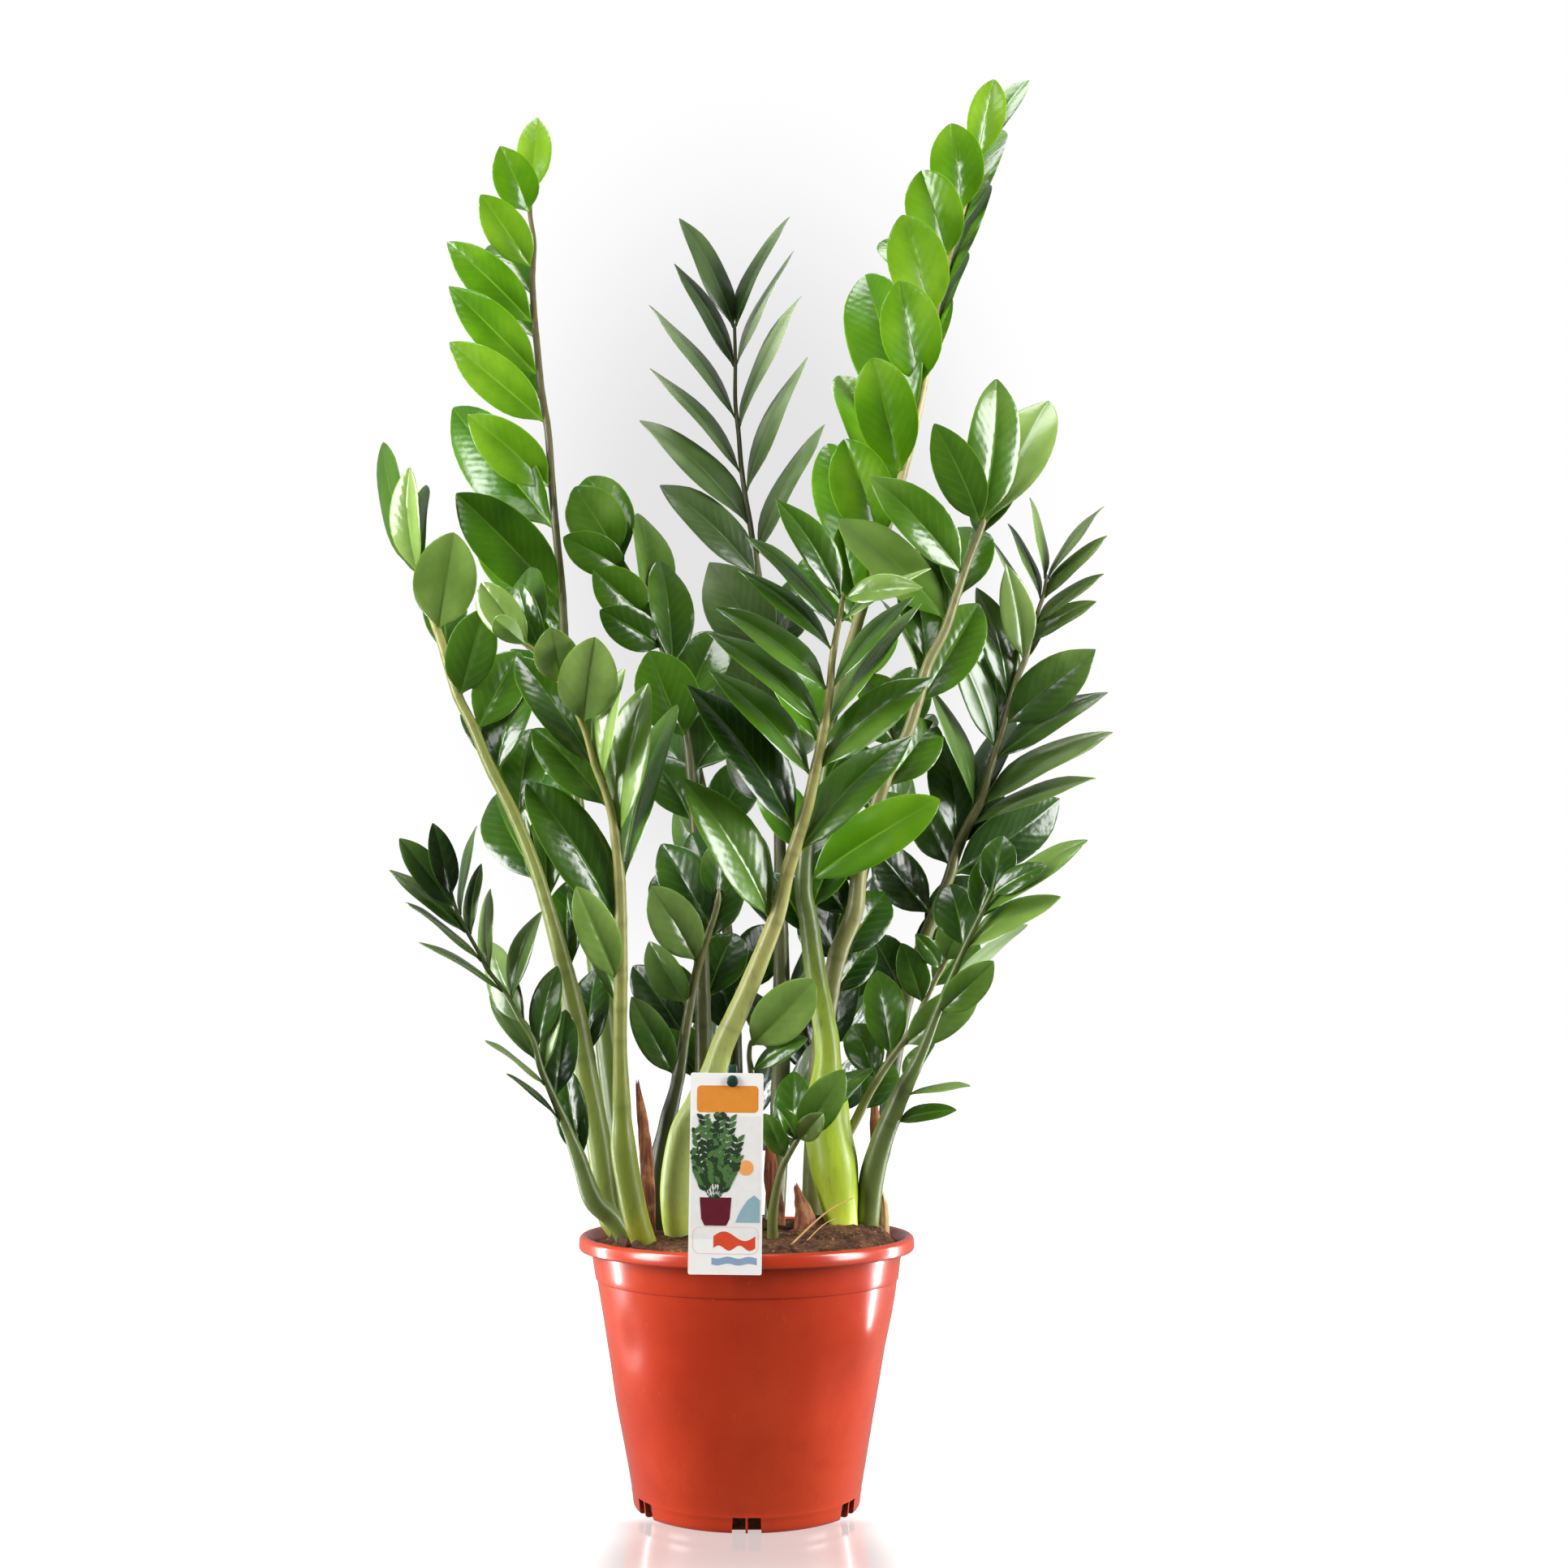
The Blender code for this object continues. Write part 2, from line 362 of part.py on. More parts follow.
class Leaflet:
    """One leaflet: a bent centre line, its width and the way its blade faces."""

    def __init__(self, stalk, s, spec, shift=0.0, roll=0.0):
        g, h, gt, ht, w, dy = spec[:6]
        self.under = "u" in spec[6]
        self.s = s
        base = stalk.point(s)
        tip = at(gt, ht, base.y + dy / 1000.0 + shift)
        tan = stalk.tangent(s)
        d = tip - base
        out = (d - tan * d.dot(tan))
        out = out.normalized() if out.length > 1e-6 else Vector((0, -1, 0))
        self.out = out
        base = base + out * stalk.radius(s) * 0.8
        self.base, self.tip = base, tip
        a = tip - base
        self.length = a.length
        a.normalize()
        mid = (base + tip) * 0.5
        view = (mid - Vector(STATION)).normalized()
        side = a.cross(view)
        side = side.normalized() if side.length > 1e-6 else Vector((1, 0, 0))
        back = a.cross(side).normalized()
        seen = w * unit_at(mid)
        true = max(seen, BLADE_RATIO * self.length)
        self.width = min(true, 0.62 * self.length)
        c = min(seen / self.width, 1.0)
        ang = math.acos(max(c, 0.12))
        best = None
        for sg in (1, -1):
            sv = side * math.cos(sg * ang) + back * math.sin(sg * ang)
            nv = a.cross(sv)
            if nv.dot(view) > 0:
                nv = -nv
            score = nv.dot(tan) + 0.3 * nv.z
            if best is None or score > best[0]:
                best = (score, sv, nv)
        sv, nv = best[1], best[2]
        if roll:
            sv = Quaternion(a, roll) @ sv
            nv = Quaternion(a, roll) @ nv
        if self.under:
            nv = -nv
        self.axis, self.side, self.normal = a, sv, nv
        self.face = c
        bow = nv * ((0.05 + 0.09 * c) * self.length) + tan * (0.04 * self.length)
        self.ctrl = (base + tip) * 0.5 + bow - a * (0.02 * self.length)

    def centre(self, t):
        return self.base * (1 - t) ** 2 + self.ctrl * (2 * t * (1 - t)) + self.tip * t * t

    def frame(self, t):
        d = (self.ctrl - self.base) * (2 * (1 - t)) + (self.tip - self.ctrl) * (2 * t)
        d.normalize()
        s = self.side - d * self.side.dot(d)
        s.normalize()
        n = d.cross(s)
        if n.dot(self.normal) < 0:
            n = -n
        return d, s, n


def blade_half(t):
    """Half width of a blade over its greatest half width, t from foot to tip."""
    t = min(max(t, 0.0), 1.0)
    body = math.sin(math.pi * t ** 0.86) ** 0.72 if 0 < t < 1 else 0.0
    return body


def slab(leaf, grow_w, grow_t, t0=0.14):
    """A coarse box along a leaflet, used only to keep leaflets apart."""
    vs, fs = [], []
    stations = (t0, 0.38, 0.68, 1.0)
    for k, t in enumerate(stations):
        c = leaf.centre(t)
        d, s, n = leaf.frame(t)
        hw = leaf.width * 0.5 * max(blade_half(t), 0.1) + grow_w
        ht = grow_t
        for a, b in ((1, 1), (-1, 1), (-1, -1), (1, -1)):
            vs.append(c + s * hw * a + n * ht * b)
        if k:
            q = 4 * (k - 1)
            for i in range(4):
                j = (i + 1) % 4
                fs.append((q + i, q + j, q + 4 + j, q + 4 + i))
    fs.append((3, 2, 1, 0))
    e = 4 * (len(stations) - 1)
    fs.append((e, e + 1, e + 2, e + 3))
    return vs, fs


def rod(stalk, grow, sa=0.0, sb=None, step=0.022, sides=6):
    """A coarse tube round a stalk, used only to keep pieces apart."""
    sb = stalk.length if sb is None else sb
    n = max(int((sb - sa) / step), 2)
    vs, fs = [], []
    for k in range(n + 1):
        s = sa + (sb - sa) * k / n
        c, r, t = stalk.point(s), stalk.radius(s) + grow, stalk.tangent(s)
        x = t.cross(Vector((0, 1, 0))).normalized()
        y = t.cross(x).normalized()
        for i in range(sides):
            a = 2 * math.pi * i / sides
            vs.append(c + (x * math.cos(a) + y * math.sin(a)) * r)
        if k:
            q = sides * (k - 1)
            for i in range(sides):
                j = (i + 1) % sides
                fs.append((q + i, q + j, q + sides + j, q + sides + i))
    return vs, fs


def _box_of(vs):
    return (min(v.x for v in vs), min(v.y for v in vs), min(v.z for v in vs),
            max(v.x for v in vs), max(v.y for v in vs), max(v.z for v in vs))


def _apart(a, b):
    return (a[0] > b[3] or b[0] > a[3] or a[1] > b[4] or b[1] > a[4] or a[2] > b[5] or b[2] > a[5])


class Blocker:
    """A piece that others keep clear of; own is its slimmer form for its own frond."""

    def __init__(self, vs, fs, owner=None, own=None):
        self.box = _box_of(vs)
        self.tree = BVHTree.FromPolygons(vs, fs)
        self.owner = owner
        self.own = BVHTree.FromPolygons(*own) if own else self.tree


def settle(fixed):
    """Place every leaflet clear of every other one.

    fixed: a list of (verts, faces) of pieces that do not move.
    Returns a list of (spec, stalk, [leaflets]).
    """
    blocks = [Blocker(v, f) for v, f in fixed]
    stalks = []
    for spec in FRONDS:
        st = Stalk(spec)
        stalks.append(st)
        v, f = rod(st, 0.0014)
        blocks.append(Blocker(v, f, spec["name"], rod(st, 0.0004)))
    result, stuck = [], []
    for spec, st in zip(FRONDS, stalks):
        leaves = []
        for row in spec["leaf"]:
            s = st.nearest(row[0], row[1])
            s = min(s, st.length - 0.004)
            sign = -1.0 if row[5] < 0 else 1.0
            found = None
            for k in range(0, 15):
                for sgn in ((sign, -sign) if k else (sign,)):
                    for roll in (0.0, 0.25, -0.25, 0.5, -0.5, 0.8, -0.8):
                        lf = Leaflet(st, s, row, shift=sgn * k * 0.006, roll=roll)
                        v, f = slab(lf, 0.0012, 0.0024, 0.06)
                        bx = _box_of(v)
                        tree = slim = None
                        hit = False
                        for b in blocks:
                            if _apart(bx, b.box):
                                continue
                            if b.owner == spec["name"]:
                                if slim is None:
                                    slim = BVHTree.FromPolygons(*slab(lf, 0.0004, 0.0012, 0.22))
                                hit = bool(slim.overlap(b.own))
                            else:
                                if tree is None:
                                    tree = BVHTree.FromPolygons(v, f)
                                hit = bool(tree.overlap(b.tree))
                            if hit:
                                break
                        if not hit:
                            found = lf
                            break
                    if found:
                        break
                if found:
                    break
            if found is None:
                stuck.append((spec["name"], row))
                continue
            v, f = slab(found, 0.0010, 0.0020, 0.06)
            blocks.append(Blocker(v, f, spec["name"], slab(found, 0.0004, 0.0012, 0.22)))
            found.row = row
            leaves.append(found)
        result.append((spec, st, leaves))
    return result, stuck


def wall_radius(z):
    """Outer radius of the pot's wall at height z."""
    zt = POT_HEIGHT - LIP_HEIGHT
    zs = POT_HEIGHT - STEP_DROP
    if z >= zs:
        f = (zt - z) / (zt - zs)
        return WALL_TOP_RADIUS - 0.0032 * f
    rs = WALL_TOP_RADIUS - 0.0032 - STEP_DEPTH
    f = (zs - z) / (zs - 0.010)
    if z >= 0.010:
        return rs + (BASE_RADIUS + 0.0012 - rs) * f
    return BASE_RADIUS + 0.0012 * z / 0.010


# ---------------------------------------------- card, stake and dry sheaths --
def soil_height(r):
    """Height of the soil's surface at radius r."""
    edge = POT_HEIGHT - SOIL_EDGE_DROP
    f = min(r / 0.108, 1.0)
    return edge + SOIL_CROWN * (1 - f ** 2.6)


CARD_Y = -0.1262
card_corners = [at(852, 1328, CARD_Y), at(940, 1328, CARD_Y), at(937, 1566, CARD_Y + 0.0016), at(849, 1563, CARD_Y + 0.0016)]
card_mid = sum(card_corners, Vector()) / 4
card_up = ((card_corners[0] + card_corners[1]) - (card_corners[2] + card_corners[3])).normalized()
card_right = (card_corners[1] - card_corners[0]).normalized()
card_right = (card_right - card_up * card_right.dot(card_up)).normalized()
card_out = card_right.cross(card_up) * 1.0          # towards the station side
if card_out.y > 0:
    card_out = -card_out
card_hole = card_mid + card_up * (CARD_HEIGHT / 2 - 0.0052) + card_right * 0.0035


# (name, (g, h) from the foot to the tip, depth at foot and tip in mm, widths in grid units, colour)
SHEATHS = [
    ("sheath_left", [(800, 1512), (797, 1440), (792, 1385), (785, 1333)], (-22, -18), (16, 17, 15, 4), (0.16, 0.05, 0.02)),
    ("sheath_mid", [(960, 1516), (956, 1490), (951, 1450), (948, 1388)], (-24, -20), (16, 22, 20, 4), (0.22, 0.08, 0.04)),
    ("sheath_scale", [(990, 1520), (992, 1502), (988, 1484), (980, 1460)], (-34, -30), (26, 26, 18, 4), (0.20, 0.08, 0.05)),
    ("sheath_right", [(1082, 1500), (1080, 1440), (1079, 1385), (1076, 1346)], (22, 14), (12, 14, 14, 4), (0.26, 0.11, 0.05)),
    ("sheath_tuft", [(1090, 1512), (1089, 1494), (1088, 1480), (1085, 1466)], (8, 6), (12, 13, 10, 3), (0.62, 0.50, 0.30)),
]


def sheath_line(path, depth, widths):
    """Points and half widths of a dry sheath, from its foot in the soil up."""
    pts = []
    for i, (g, h) in enumerate(path):
        f = i / (len(path) - 1)
        pts.append(at(g, h, (depth[0] + (depth[1] - depth[0]) * f) / 1000))
    foot = pts[0].copy()
    z = soil_height(math.hypot(foot.x, foot.y)) - 0.007
    if foot.z > z:
        foot.z = z
        pts.insert(0, foot)
        widths = (widths[0],) + tuple(widths)
    return [(p, w * unit_at(p) / 2) for p, w in zip(pts, widths)]


def box_between(a, b, side, half_w, face, half_t):
    """Verts and faces of a bar from a to b, used to keep leaflets clear."""
    vs = []
    for p in (a, b):
        for u, v in ((1, 1), (-1, 1), (-1, -1), (1, -1)):
            vs.append(p + side * half_w * u + face * half_t * v)
    fs = [(0, 1, 5, 4), (1, 2, 6, 5), (2, 3, 7, 6), (3, 0, 4, 7), (3, 2, 1, 0), (4, 5, 6, 7)]
    return vs, fs


def fixed_blocks():
    """Card, stake, sheaths and the pot with its soil, as plain bars and a drum."""
    out = []
    half = CARD_HEIGHT / 2 + 0.002
    out.append(box_between(card_mid - card_up * half, card_mid + card_up * half, card_right, CARD_WIDTH / 2 + 0.002, card_out, 0.0050))
    top = card_hole - card_out * 0.0052
    out.append(box_between(Vector((card_hole.x, -0.0985, 0.158)), top + card_up * 0.014, card_right, 0.0055, card_out, 0.0035))
    for nm, path, depth, widths, rgb in SHEATHS:
        line = sheath_line(path, depth, widths)
        for (p, w), (q, w2) in zip(line, line[1:]):
            m = Vector((0, 0.0009, 0))
            out.append(box_between(p + m, q + m, Vector((1, 0, 0)), max(w, w2) + 0.0012, Vector((0, 1, 0)), 0.0022))
    vs, fs = [], []
    n = 32
    ring = ((BASE_RADIUS, 0.0), (RIM_RADIUS + 0.002, POT_HEIGHT - 0.012), (RIM_RADIUS + 0.002, POT_HEIGHT + 0.003), (0.060, POT_HEIGHT + 0.008))
    for k, (r, z) in enumerate(ring):
        for i in range(n):
            vs.append(Vector((r * math.cos(2 * math.pi * i / n), r * math.sin(2 * math.pi * i / n), z)))
        if k:
            q = n * (k - 1)
            for i in range(n):
                w = (i + 1) % n
                fs.append((q + i, q + w, q + n + w, q + n + i))
    fs.append(tuple(range(n - 1, -1, -1)))
    fs.append(tuple(range(3 * n, 4 * n)))
    out.append((vs, fs))
    return out

# ------------------------------------------------------------- materials -----
def material(name, rgb, rough, metallic=0.0):
    m = bpy.data.materials.new(name)
    m.use_nodes = True
    b = m.node_tree.nodes["Principled BSDF"]
    b.inputs["Base Color"].default_value = (rgb[0], rgb[1], rgb[2], 1.0)
    b.inputs["Roughness"].default_value = rough
    b.inputs["Metallic"].default_value = metallic
    m.diffuse_color = (rgb[0], rgb[1], rgb[2], 1.0)
    return m


def add(name, bm, rgb, rough, smooth=True):
    me = bpy.data.meshes.new(name)
    bm.normal_update()
    bm.to_mesh(me)
    bm.free()
    ob = bpy.data.objects.new(name, me)
    bpy.context.scene.collection.objects.link(ob)
    me.materials.append(material(name + "_mat", rgb, rough))
    if smooth:
        me.shade_smooth()
        me.set_sharp_from_angle(angle=math.radians(40))
    return ob


# ------------------------------------------------------------------ pot -----
def pot_profile():
    """Closed section of the pot, outer side from the foot up, inner side down."""
    zt = POT_HEIGHT - LIP_HEIGHT
    zs = POT_HEIGHT - STEP_DROP
    out = [(BASE_RADIUS, 0.0), (BASE_RADIUS + 0.0012, 0.010), (wall_radius(0.030), 0.030)]
    for z in (0.078, 0.125):
        out.append((wall_radius(z), z))
    out += [(wall_radius(zs - 0.0004), zs - 0.0004), (wall_radius(zs), zs), (WALL_TOP_RADIUS, zt),
            (RIM_RADIUS - 0.0012, zt + 0.0004), (RIM_RADIUS, zt + 0.0022), (RIM_RADIUS - 0.0004, POT_HEIGHT - 0.0020),
            (RIM_RADIUS - 0.0020, POT_HEIGHT), (RIM_RADIUS - 0.0052, POT_HEIGHT - 0.0003)]
    inner = [(WALL_TOP_RADIUS - WALL + 0.0020, POT_HEIGHT - 0.0030), (WALL_TOP_RADIUS - WALL, zt)]
    for z in (zs, 0.078):
        inner.append((wall_radius(z) - WALL, z))
    inner.append((wall_radius(FLOOR) - WALL, FLOOR))
    return out + inner


def revolve(profile, sides, poles):
    """Turned solid: profile rings joined round the axis; poles are the two ends."""
    bm = bmesh.new()
    rings = []
    for r, z in profile:
        rings.append([bm.verts.new((r * math.cos(2 * math.pi * i / sides), r * math.sin(2 * math.pi * i / sides), z))
                      for i in range(sides)])
    for a, b in zip(rings, rings[1:]):
        for i in range(sides):
            j = (i + 1) % sides
            bm.faces.new((a[i], a[j], b[j], b[i]))
    lo = bm.verts.new((0, 0, poles[0]))
    hi = bm.verts.new((0, 0, poles[1]))
    for i in range(sides):
        j = (i + 1) % sides
        bm.faces.new((rings[0][j], rings[0][i], lo))
        bm.faces.new((rings[-1][i], rings[-1][j], hi))
    return bm


def box_into(bm, centre, size, angle):
    """Add a box turned by angle about Z."""
    c, s = math.cos(angle), math.sin(angle)
    vs = []
    for dx in (-0.5, 0.5):
        for dy in (-0.5, 0.5):
            for dz in (-0.5, 0.5):
                x, y, z = centre[0] + dx * size[0], centre[1] + dy * size[1], centre[2] + dz * size[2]
                vs.append(bm.verts.new((x * c - y * s, x * s + y * c, z)))
    for q in ((0, 1, 3, 2), (4, 6, 7, 5), (0, 4, 5, 1), (2, 3, 7, 6), (0, 2, 6, 4), (1, 5, 7, 3)):
        bm.faces.new([vs[i] for i in q])


def hide_cutter(ob):
    ob.hide_render = True
    ob.display_type = "WIRE"


def cut(ob, cutter):
    m = ob.modifiers.new("cut", "BOOLEAN")
    m.operation = "DIFFERENCE"
    m.solver = "EXACT"
    m.object = cutter
    hide_cutter(cutter)


pot = add("pot", revolve(pot_profile(), POT_SIDES, (0.0, FLOOR)), (0.58, 0.085, 0.035), 0.28)

bm = bmesh.new()
for k in range(NOTCH_COUNT):
    ang = -math.pi / 2 + 2 * math.pi * k / NOTCH_COUNT
    half = (NOTCH_WIDTH - NOTCH_RIB) / 2
    for sgn in (-1, 1):
        box_into(bm, (BASE_RADIUS - NOTCH_INWARD / 2 + 0.004, sgn * (NOTCH_RIB / 2 + half / 2), NOTCH_HEIGHT / 2 - 0.002),
                 (NOTCH_INWARD + 0.008, half, NOTCH_HEIGHT + 0.004), ang)
cut(pot, add("cut_notches", bm, (1, 1, 1), 0.5, smooth=False))


# ---------------------------------------------------------------- fronds -----
SIDES = 6
BAND = 0.0045   # height of the stalk's band that a leaflet grows from


def foot_stations(stalk):
    """Arc lengths of the stalk's rings from its foot to just above the soil."""
    top = 0.0
    while stalk.point(top).z < POT_HEIGHT + 0.016 and top < stalk.length:
        top += 0.002
    return [0.0, top * 0.5, top]


def frond_mesh(stalk, leaves):
    """One closed body: a six-sided stalk with each leaflet drawn out of a side."""
    bm = bmesh.new()
    groups = []
    for lf in sorted(leaves, key=lambda q: q.s):
        if groups and lf.s - groups[-1][0] < BAND + 0.0015:
            groups[-1][1].append(lf)
        else:
            groups.append([lf.s, [lf]])
    cuts = []                      # (s, leaflets of the band that starts here)
    first = groups[0][0] - BAND if groups else stalk.length
    feet = foot_stations(stalk)
    for s in feet:
        cuts.append((s, None))
    n = max(int((first - feet[-1]) / 0.050), 1)
    for k in range(1, n):
        cuts.append((feet[-1] + (first - feet[-1]) * k / n, None))
    for i, (s, ls) in enumerate(groups):
        lo = s - BAND / 2
        hi = min(s + BAND / 2, stalk.length - 0.0015)
        lo = min(lo, hi - 0.003)
        if cuts and lo - cuts[-1][0] < 0.0010:
            lo = cuts[-1][0] + 0.0010
            hi = max(hi, lo + 0.003)
        cuts.append((lo, ls))
        cuts.append((hi, None))
        nxt = groups[i + 1][0] - BAND / 2 if i + 1 < len(groups) else stalk.length
        if nxt - hi > 0.075:
            m = int((nxt - hi) / 0.050)
            for k in range(1, m + 1):
                cuts.append((hi + (nxt - hi) * k / (m + 1), None))
    if stalk.length - cuts[-1][0] > 0.0010:
        cuts.append((stalk.length, None))
    ref = Vector((0.0, 1.0, 0.0))
    rings, bands = [], []
    for s, ls in cuts:
        c, r, t = stalk.point(s), stalk.radius(s), stalk.tangent(s)
        x = (ref - t * ref.dot(t)).normalized()
        y = t.cross(x)
        ref = x
        ring = [bm.verts.new(c + (x * math.cos(a) + y * math.sin(a)) * r)
                for a in (2 * math.pi * i / SIDES for i in range(SIDES))]
        rings.append(ring)
        bands.append((ls, c, x, y))
    for k in range(len(rings) - 1):
        a, b = rings[k], rings[k + 1]
        ls, c, x, y = bands[k]
        used = {}
        if ls:
            for lf in ls:
                want = math.atan2(lf.out.dot(y), lf.out.dot(x))
                order = sorted(range(SIDES), key=lambda i: abs(math.remainder(want - (i + 0.5) * 2 * math.pi / SIDES, 2 * math.pi)))
                for i in order:
                    if i not in used:
                        used[i] = lf
                        break
        for i in range(SIDES):
            j = (i + 1) % SIDES
            if i in used:
                grow_blade(bm, (a[i], a[j], b[j], b[i]), used[i])
            else:
                bm.faces.new((a[i], a[j], b[j], b[i]))
    bm.faces.new(list(reversed(rings[0])))
    bm.faces.new(rings[-1])
    bmesh.ops.triangulate(bm, faces=bm.faces[:])
    return bm


def grow_blade(bm, quad, leaf):
    prev = list(quad)
    for k, t in enumerate((0.34, 0.70)):
        c = leaf.centre(t)
        d, s, n = leaf.frame(t)
        hw = leaf.width * 0.5 * max(blade_half(t), 0.12)
        th = BLADE_THICK * 0.5
        cand = [c + s * hw * a + n * th * b for a, b in ((1, 1), (-1, 1), (-1, -1), (1, -1))]
        if s.cross(n).dot(d) < 0:
            cand.reverse()
        mid = sum((v.co for v in prev), Vector()) / 4
        if k == 0:
            best = None
            for r in range(4):
                rot = cand[r:] + cand[:r]
                cost = sum(((rot[i] - c).normalized() - (prev[i].co - mid).normalized()).length_squared for i in range(4))
                if best is None or cost < best[0]:
                    best = (cost, r)
            first = best[1]
        cand = cand[first:] + cand[:first]
        cur = [bm.verts.new(v) for v in cand]
        for i in range(4):
            j = (i + 1) % 4
            bm.faces.new((prev[i], prev[j], cur[j], cur[i]))
        prev = cur
    tip = bm.verts.new(leaf.centre(1.0))
    for i in range(4):
        j = (i + 1) % 4
        bm.faces.new((prev[i], prev[j], tip))


# ---------------------------------------------- card, stake and dry sheaths --
def card_mesh():
    """Flat card with a round hole, its corners rounded by short chamfers."""
    bm = bmesh.new()
    hw, hh, c = CARD_WIDTH / 2, CARD_HEIGHT / 2, 0.0012
    outer = [(-hw + c, -hh), (hw - c, -hh), (hw, -hh + c), (hw, hh - c), (hw - c, hh), (-hw + c, hh), (-hw, hh - c), (-hw, -hh + c)]
    front = [bm.verts.new(card_mid + card_right * x + card_up * y + card_out * (CARD_THICK / 2)) for x, y in outer]
    back = [bm.verts.new(card_mid + card_right * x + card_up * y - card_out * (CARD_THICK / 2)) for x, y in outer]
    n = len(outer)
    bm.faces.new(front)
    bm.faces.new(list(reversed(back)))
    for i in range(n):
        j = (i + 1) % n
        bm.faces.new((front[j], front[i], back[i], back[j]))
    bmesh.ops.recalc_face_normals(bm, faces=bm.faces[:])
    return bm


def tube_mesh(points, radii, sides, squash=None):
    """Capped tube through the points."""
    bm = bmesh.new()
    rings = []
    for i, p in enumerate(points):
        t = (points[min(i + 1, len(points) - 1)] - points[max(i - 1, 0)]).normalized()
        x = t.cross(Vector((0, 1, 0)) if abs(t.y) < 0.8 else Vector((1, 0, 0))).normalized()
        y = t.cross(x)
        sx, sy = squash or (1.0, 1.0)
        rings.append([bm.verts.new(p + (x * math.cos(a) * sx + y * math.sin(a) * sy) * radii[i])
                      for a in (2 * math.pi * (k + 0.5) / sides for k in range(sides))])
    for a, b in zip(rings, rings[1:]):
        for i in range(sides):
            j = (i + 1) % sides
            bm.faces.new((a[i], a[j], b[j], b[i]))
    bm.faces.new(list(reversed(rings[0])))
    bm.faces.new(rings[-1])
    bmesh.ops.recalc_face_normals(bm, faces=bm.faces[:])
    return bm


card = add("label_card", card_mesh(), (0.82, 0.80, 0.76), 0.35, smooth=False)
hole = add("cut_card_hole", tube_mesh([card_hole - card_out * 0.004, card_hole + card_out * 0.004], [CARD_HOLE, CARD_HOLE], 16), (1, 1, 1), 0.5)
cut(card, hole)


def stake_mesh():
    """Flat bar from the soil up behind the card, with a headed peg in front."""
    bm = bmesh.new()
    top = card_hole - card_out * 0.0052
    foot = Vector((card_hole.x + 0.0005, -0.0985, 0.158))
    pts = [foot, foot.lerp(top, 0.5) + Vector((0, -0.001, 0)), top - card_up * 0.006, top + card_up * 0.0115]
    hw, ht = STAKE_WIDTH / 2, STAKE_THICK / 2
    rings = []
    for i, p in enumerate(pts):
        f = (0.45, 1.0, 1.0, 0.8)[i]
        rings.append([bm.verts.new(p + card_right * hw * f * a + card_out * ht * b) for a, b in ((-1, 1), (1, 1), (1, -1), (-1, -1))])
    for k in range(3):
        a, b = rings[k], rings[k + 1]
        for i in range(4):
            j = (i + 1) % 4
            if k == 2 and i == 0:
                # the front side of the top length carries the peg
                quad = (a[0], a[1], b[1], b[0])
                n = 8
                ang0 = -3 * math.pi / 4
                # ring order follows the quad: lower left, lower right, upper right, upper left
                base = [bm.verts.new(top + card_out * ht + (card_right * math.cos(ang0 + q * math.pi / 4) + card_up * math.sin(ang0 + q * math.pi / 4)) * PEG_RADIUS) for q in range(n)]
                for q in range(4):
                    e0, e1 = base[2 * q], base[(2 * q + 1) % n]
                    e2 = base[(2 * q + 2) % n]
                    bm.faces.new((quad[q], e1, e0))
                    bm.faces.new((quad[q], quad[(q + 1) % 4], e2))
                    bm.faces.new((quad[q], e2, e1))
                prev = base
                for dist, rad in ((0.0052 - ht + CARD_THICK / 2 + GAP, PEG_RADIUS), (0.0052 - ht + CARD_THICK / 2 + GAP, 0.0040), (0.0052 - ht + CARD_THICK / 2 + GAP + 0.0016, 0.0034)):
                    ring = [bm.verts.new(top + card_out * (ht + dist) + (card_right * math.cos(ang0 + q * math.pi / 4) + card_up * math.sin(ang0 + q * math.pi / 4)) * rad) for q in range(n)]
                    for q in range(n):
                        w = (q + 1) % n
                        bm.faces.new((prev[q], prev[w], ring[w], ring[q]))
                    prev = ring
                bm.faces.new(prev)
            else:
                bm.faces.new((a[i], a[j], b[j], b[i]))
    bm.faces.new(list(reversed(rings[0])))
    bm.faces.new(rings[-1])
    bmesh.ops.recalc_face_normals(bm, faces=bm.faces[:])
    return bm


stake = add("label_stake", stake_mesh(), (0.01, 0.06, 0.035), 0.4, smooth=False)

def sheath_mesh(path, depth, widths):
    """Thin strip of convex section, standing in the soil."""
    bm = bmesh.new()
    rings = []
    for p, hw in sheath_line(path, depth, widths):
        rings.append([bm.verts.new(p + Vector((x * hw, y, 0))) for x, y in
                      ((-1, 0.0011), (0, 0.0), (1, 0.0011), (0, 0.0019))])
    for a, b in zip(rings, rings[1:]):
        for i in range(4):
            j = (i + 1) % 4
            bm.faces.new((a[i], a[j], b[j], b[i]))
    bm.faces.new(list(reversed(rings[0])))
    bm.faces.new(rings[-1])
    bmesh.ops.triangulate(bm, faces=bm.faces[:])
    bmesh.ops.recalc_face_normals(bm, faces=bm.faces[:])
    return bm


sheaths = []
for nm, path, depth, widths, rgb in SHEATHS:
    sheaths.append(add(nm, sheath_mesh(path, depth, widths), rgb, 0.8))


fronds, stuck = settle(fixed_blocks())
for spec, row in stuck:
    print("left out", spec, row)

GREEN = {"frond_right_tall": (0.13, 0.32, 0.02), "frond_left_tall": (0.07, 0.22, 0.02)}
frond_objects = []
for spec, st, leaves in fronds:
    ob = add(spec["name"], frond_mesh(st, leaves), GREEN.get(spec["name"], (0.035, 0.14, 0.02)), 0.25)
    frond_objects.append(ob)

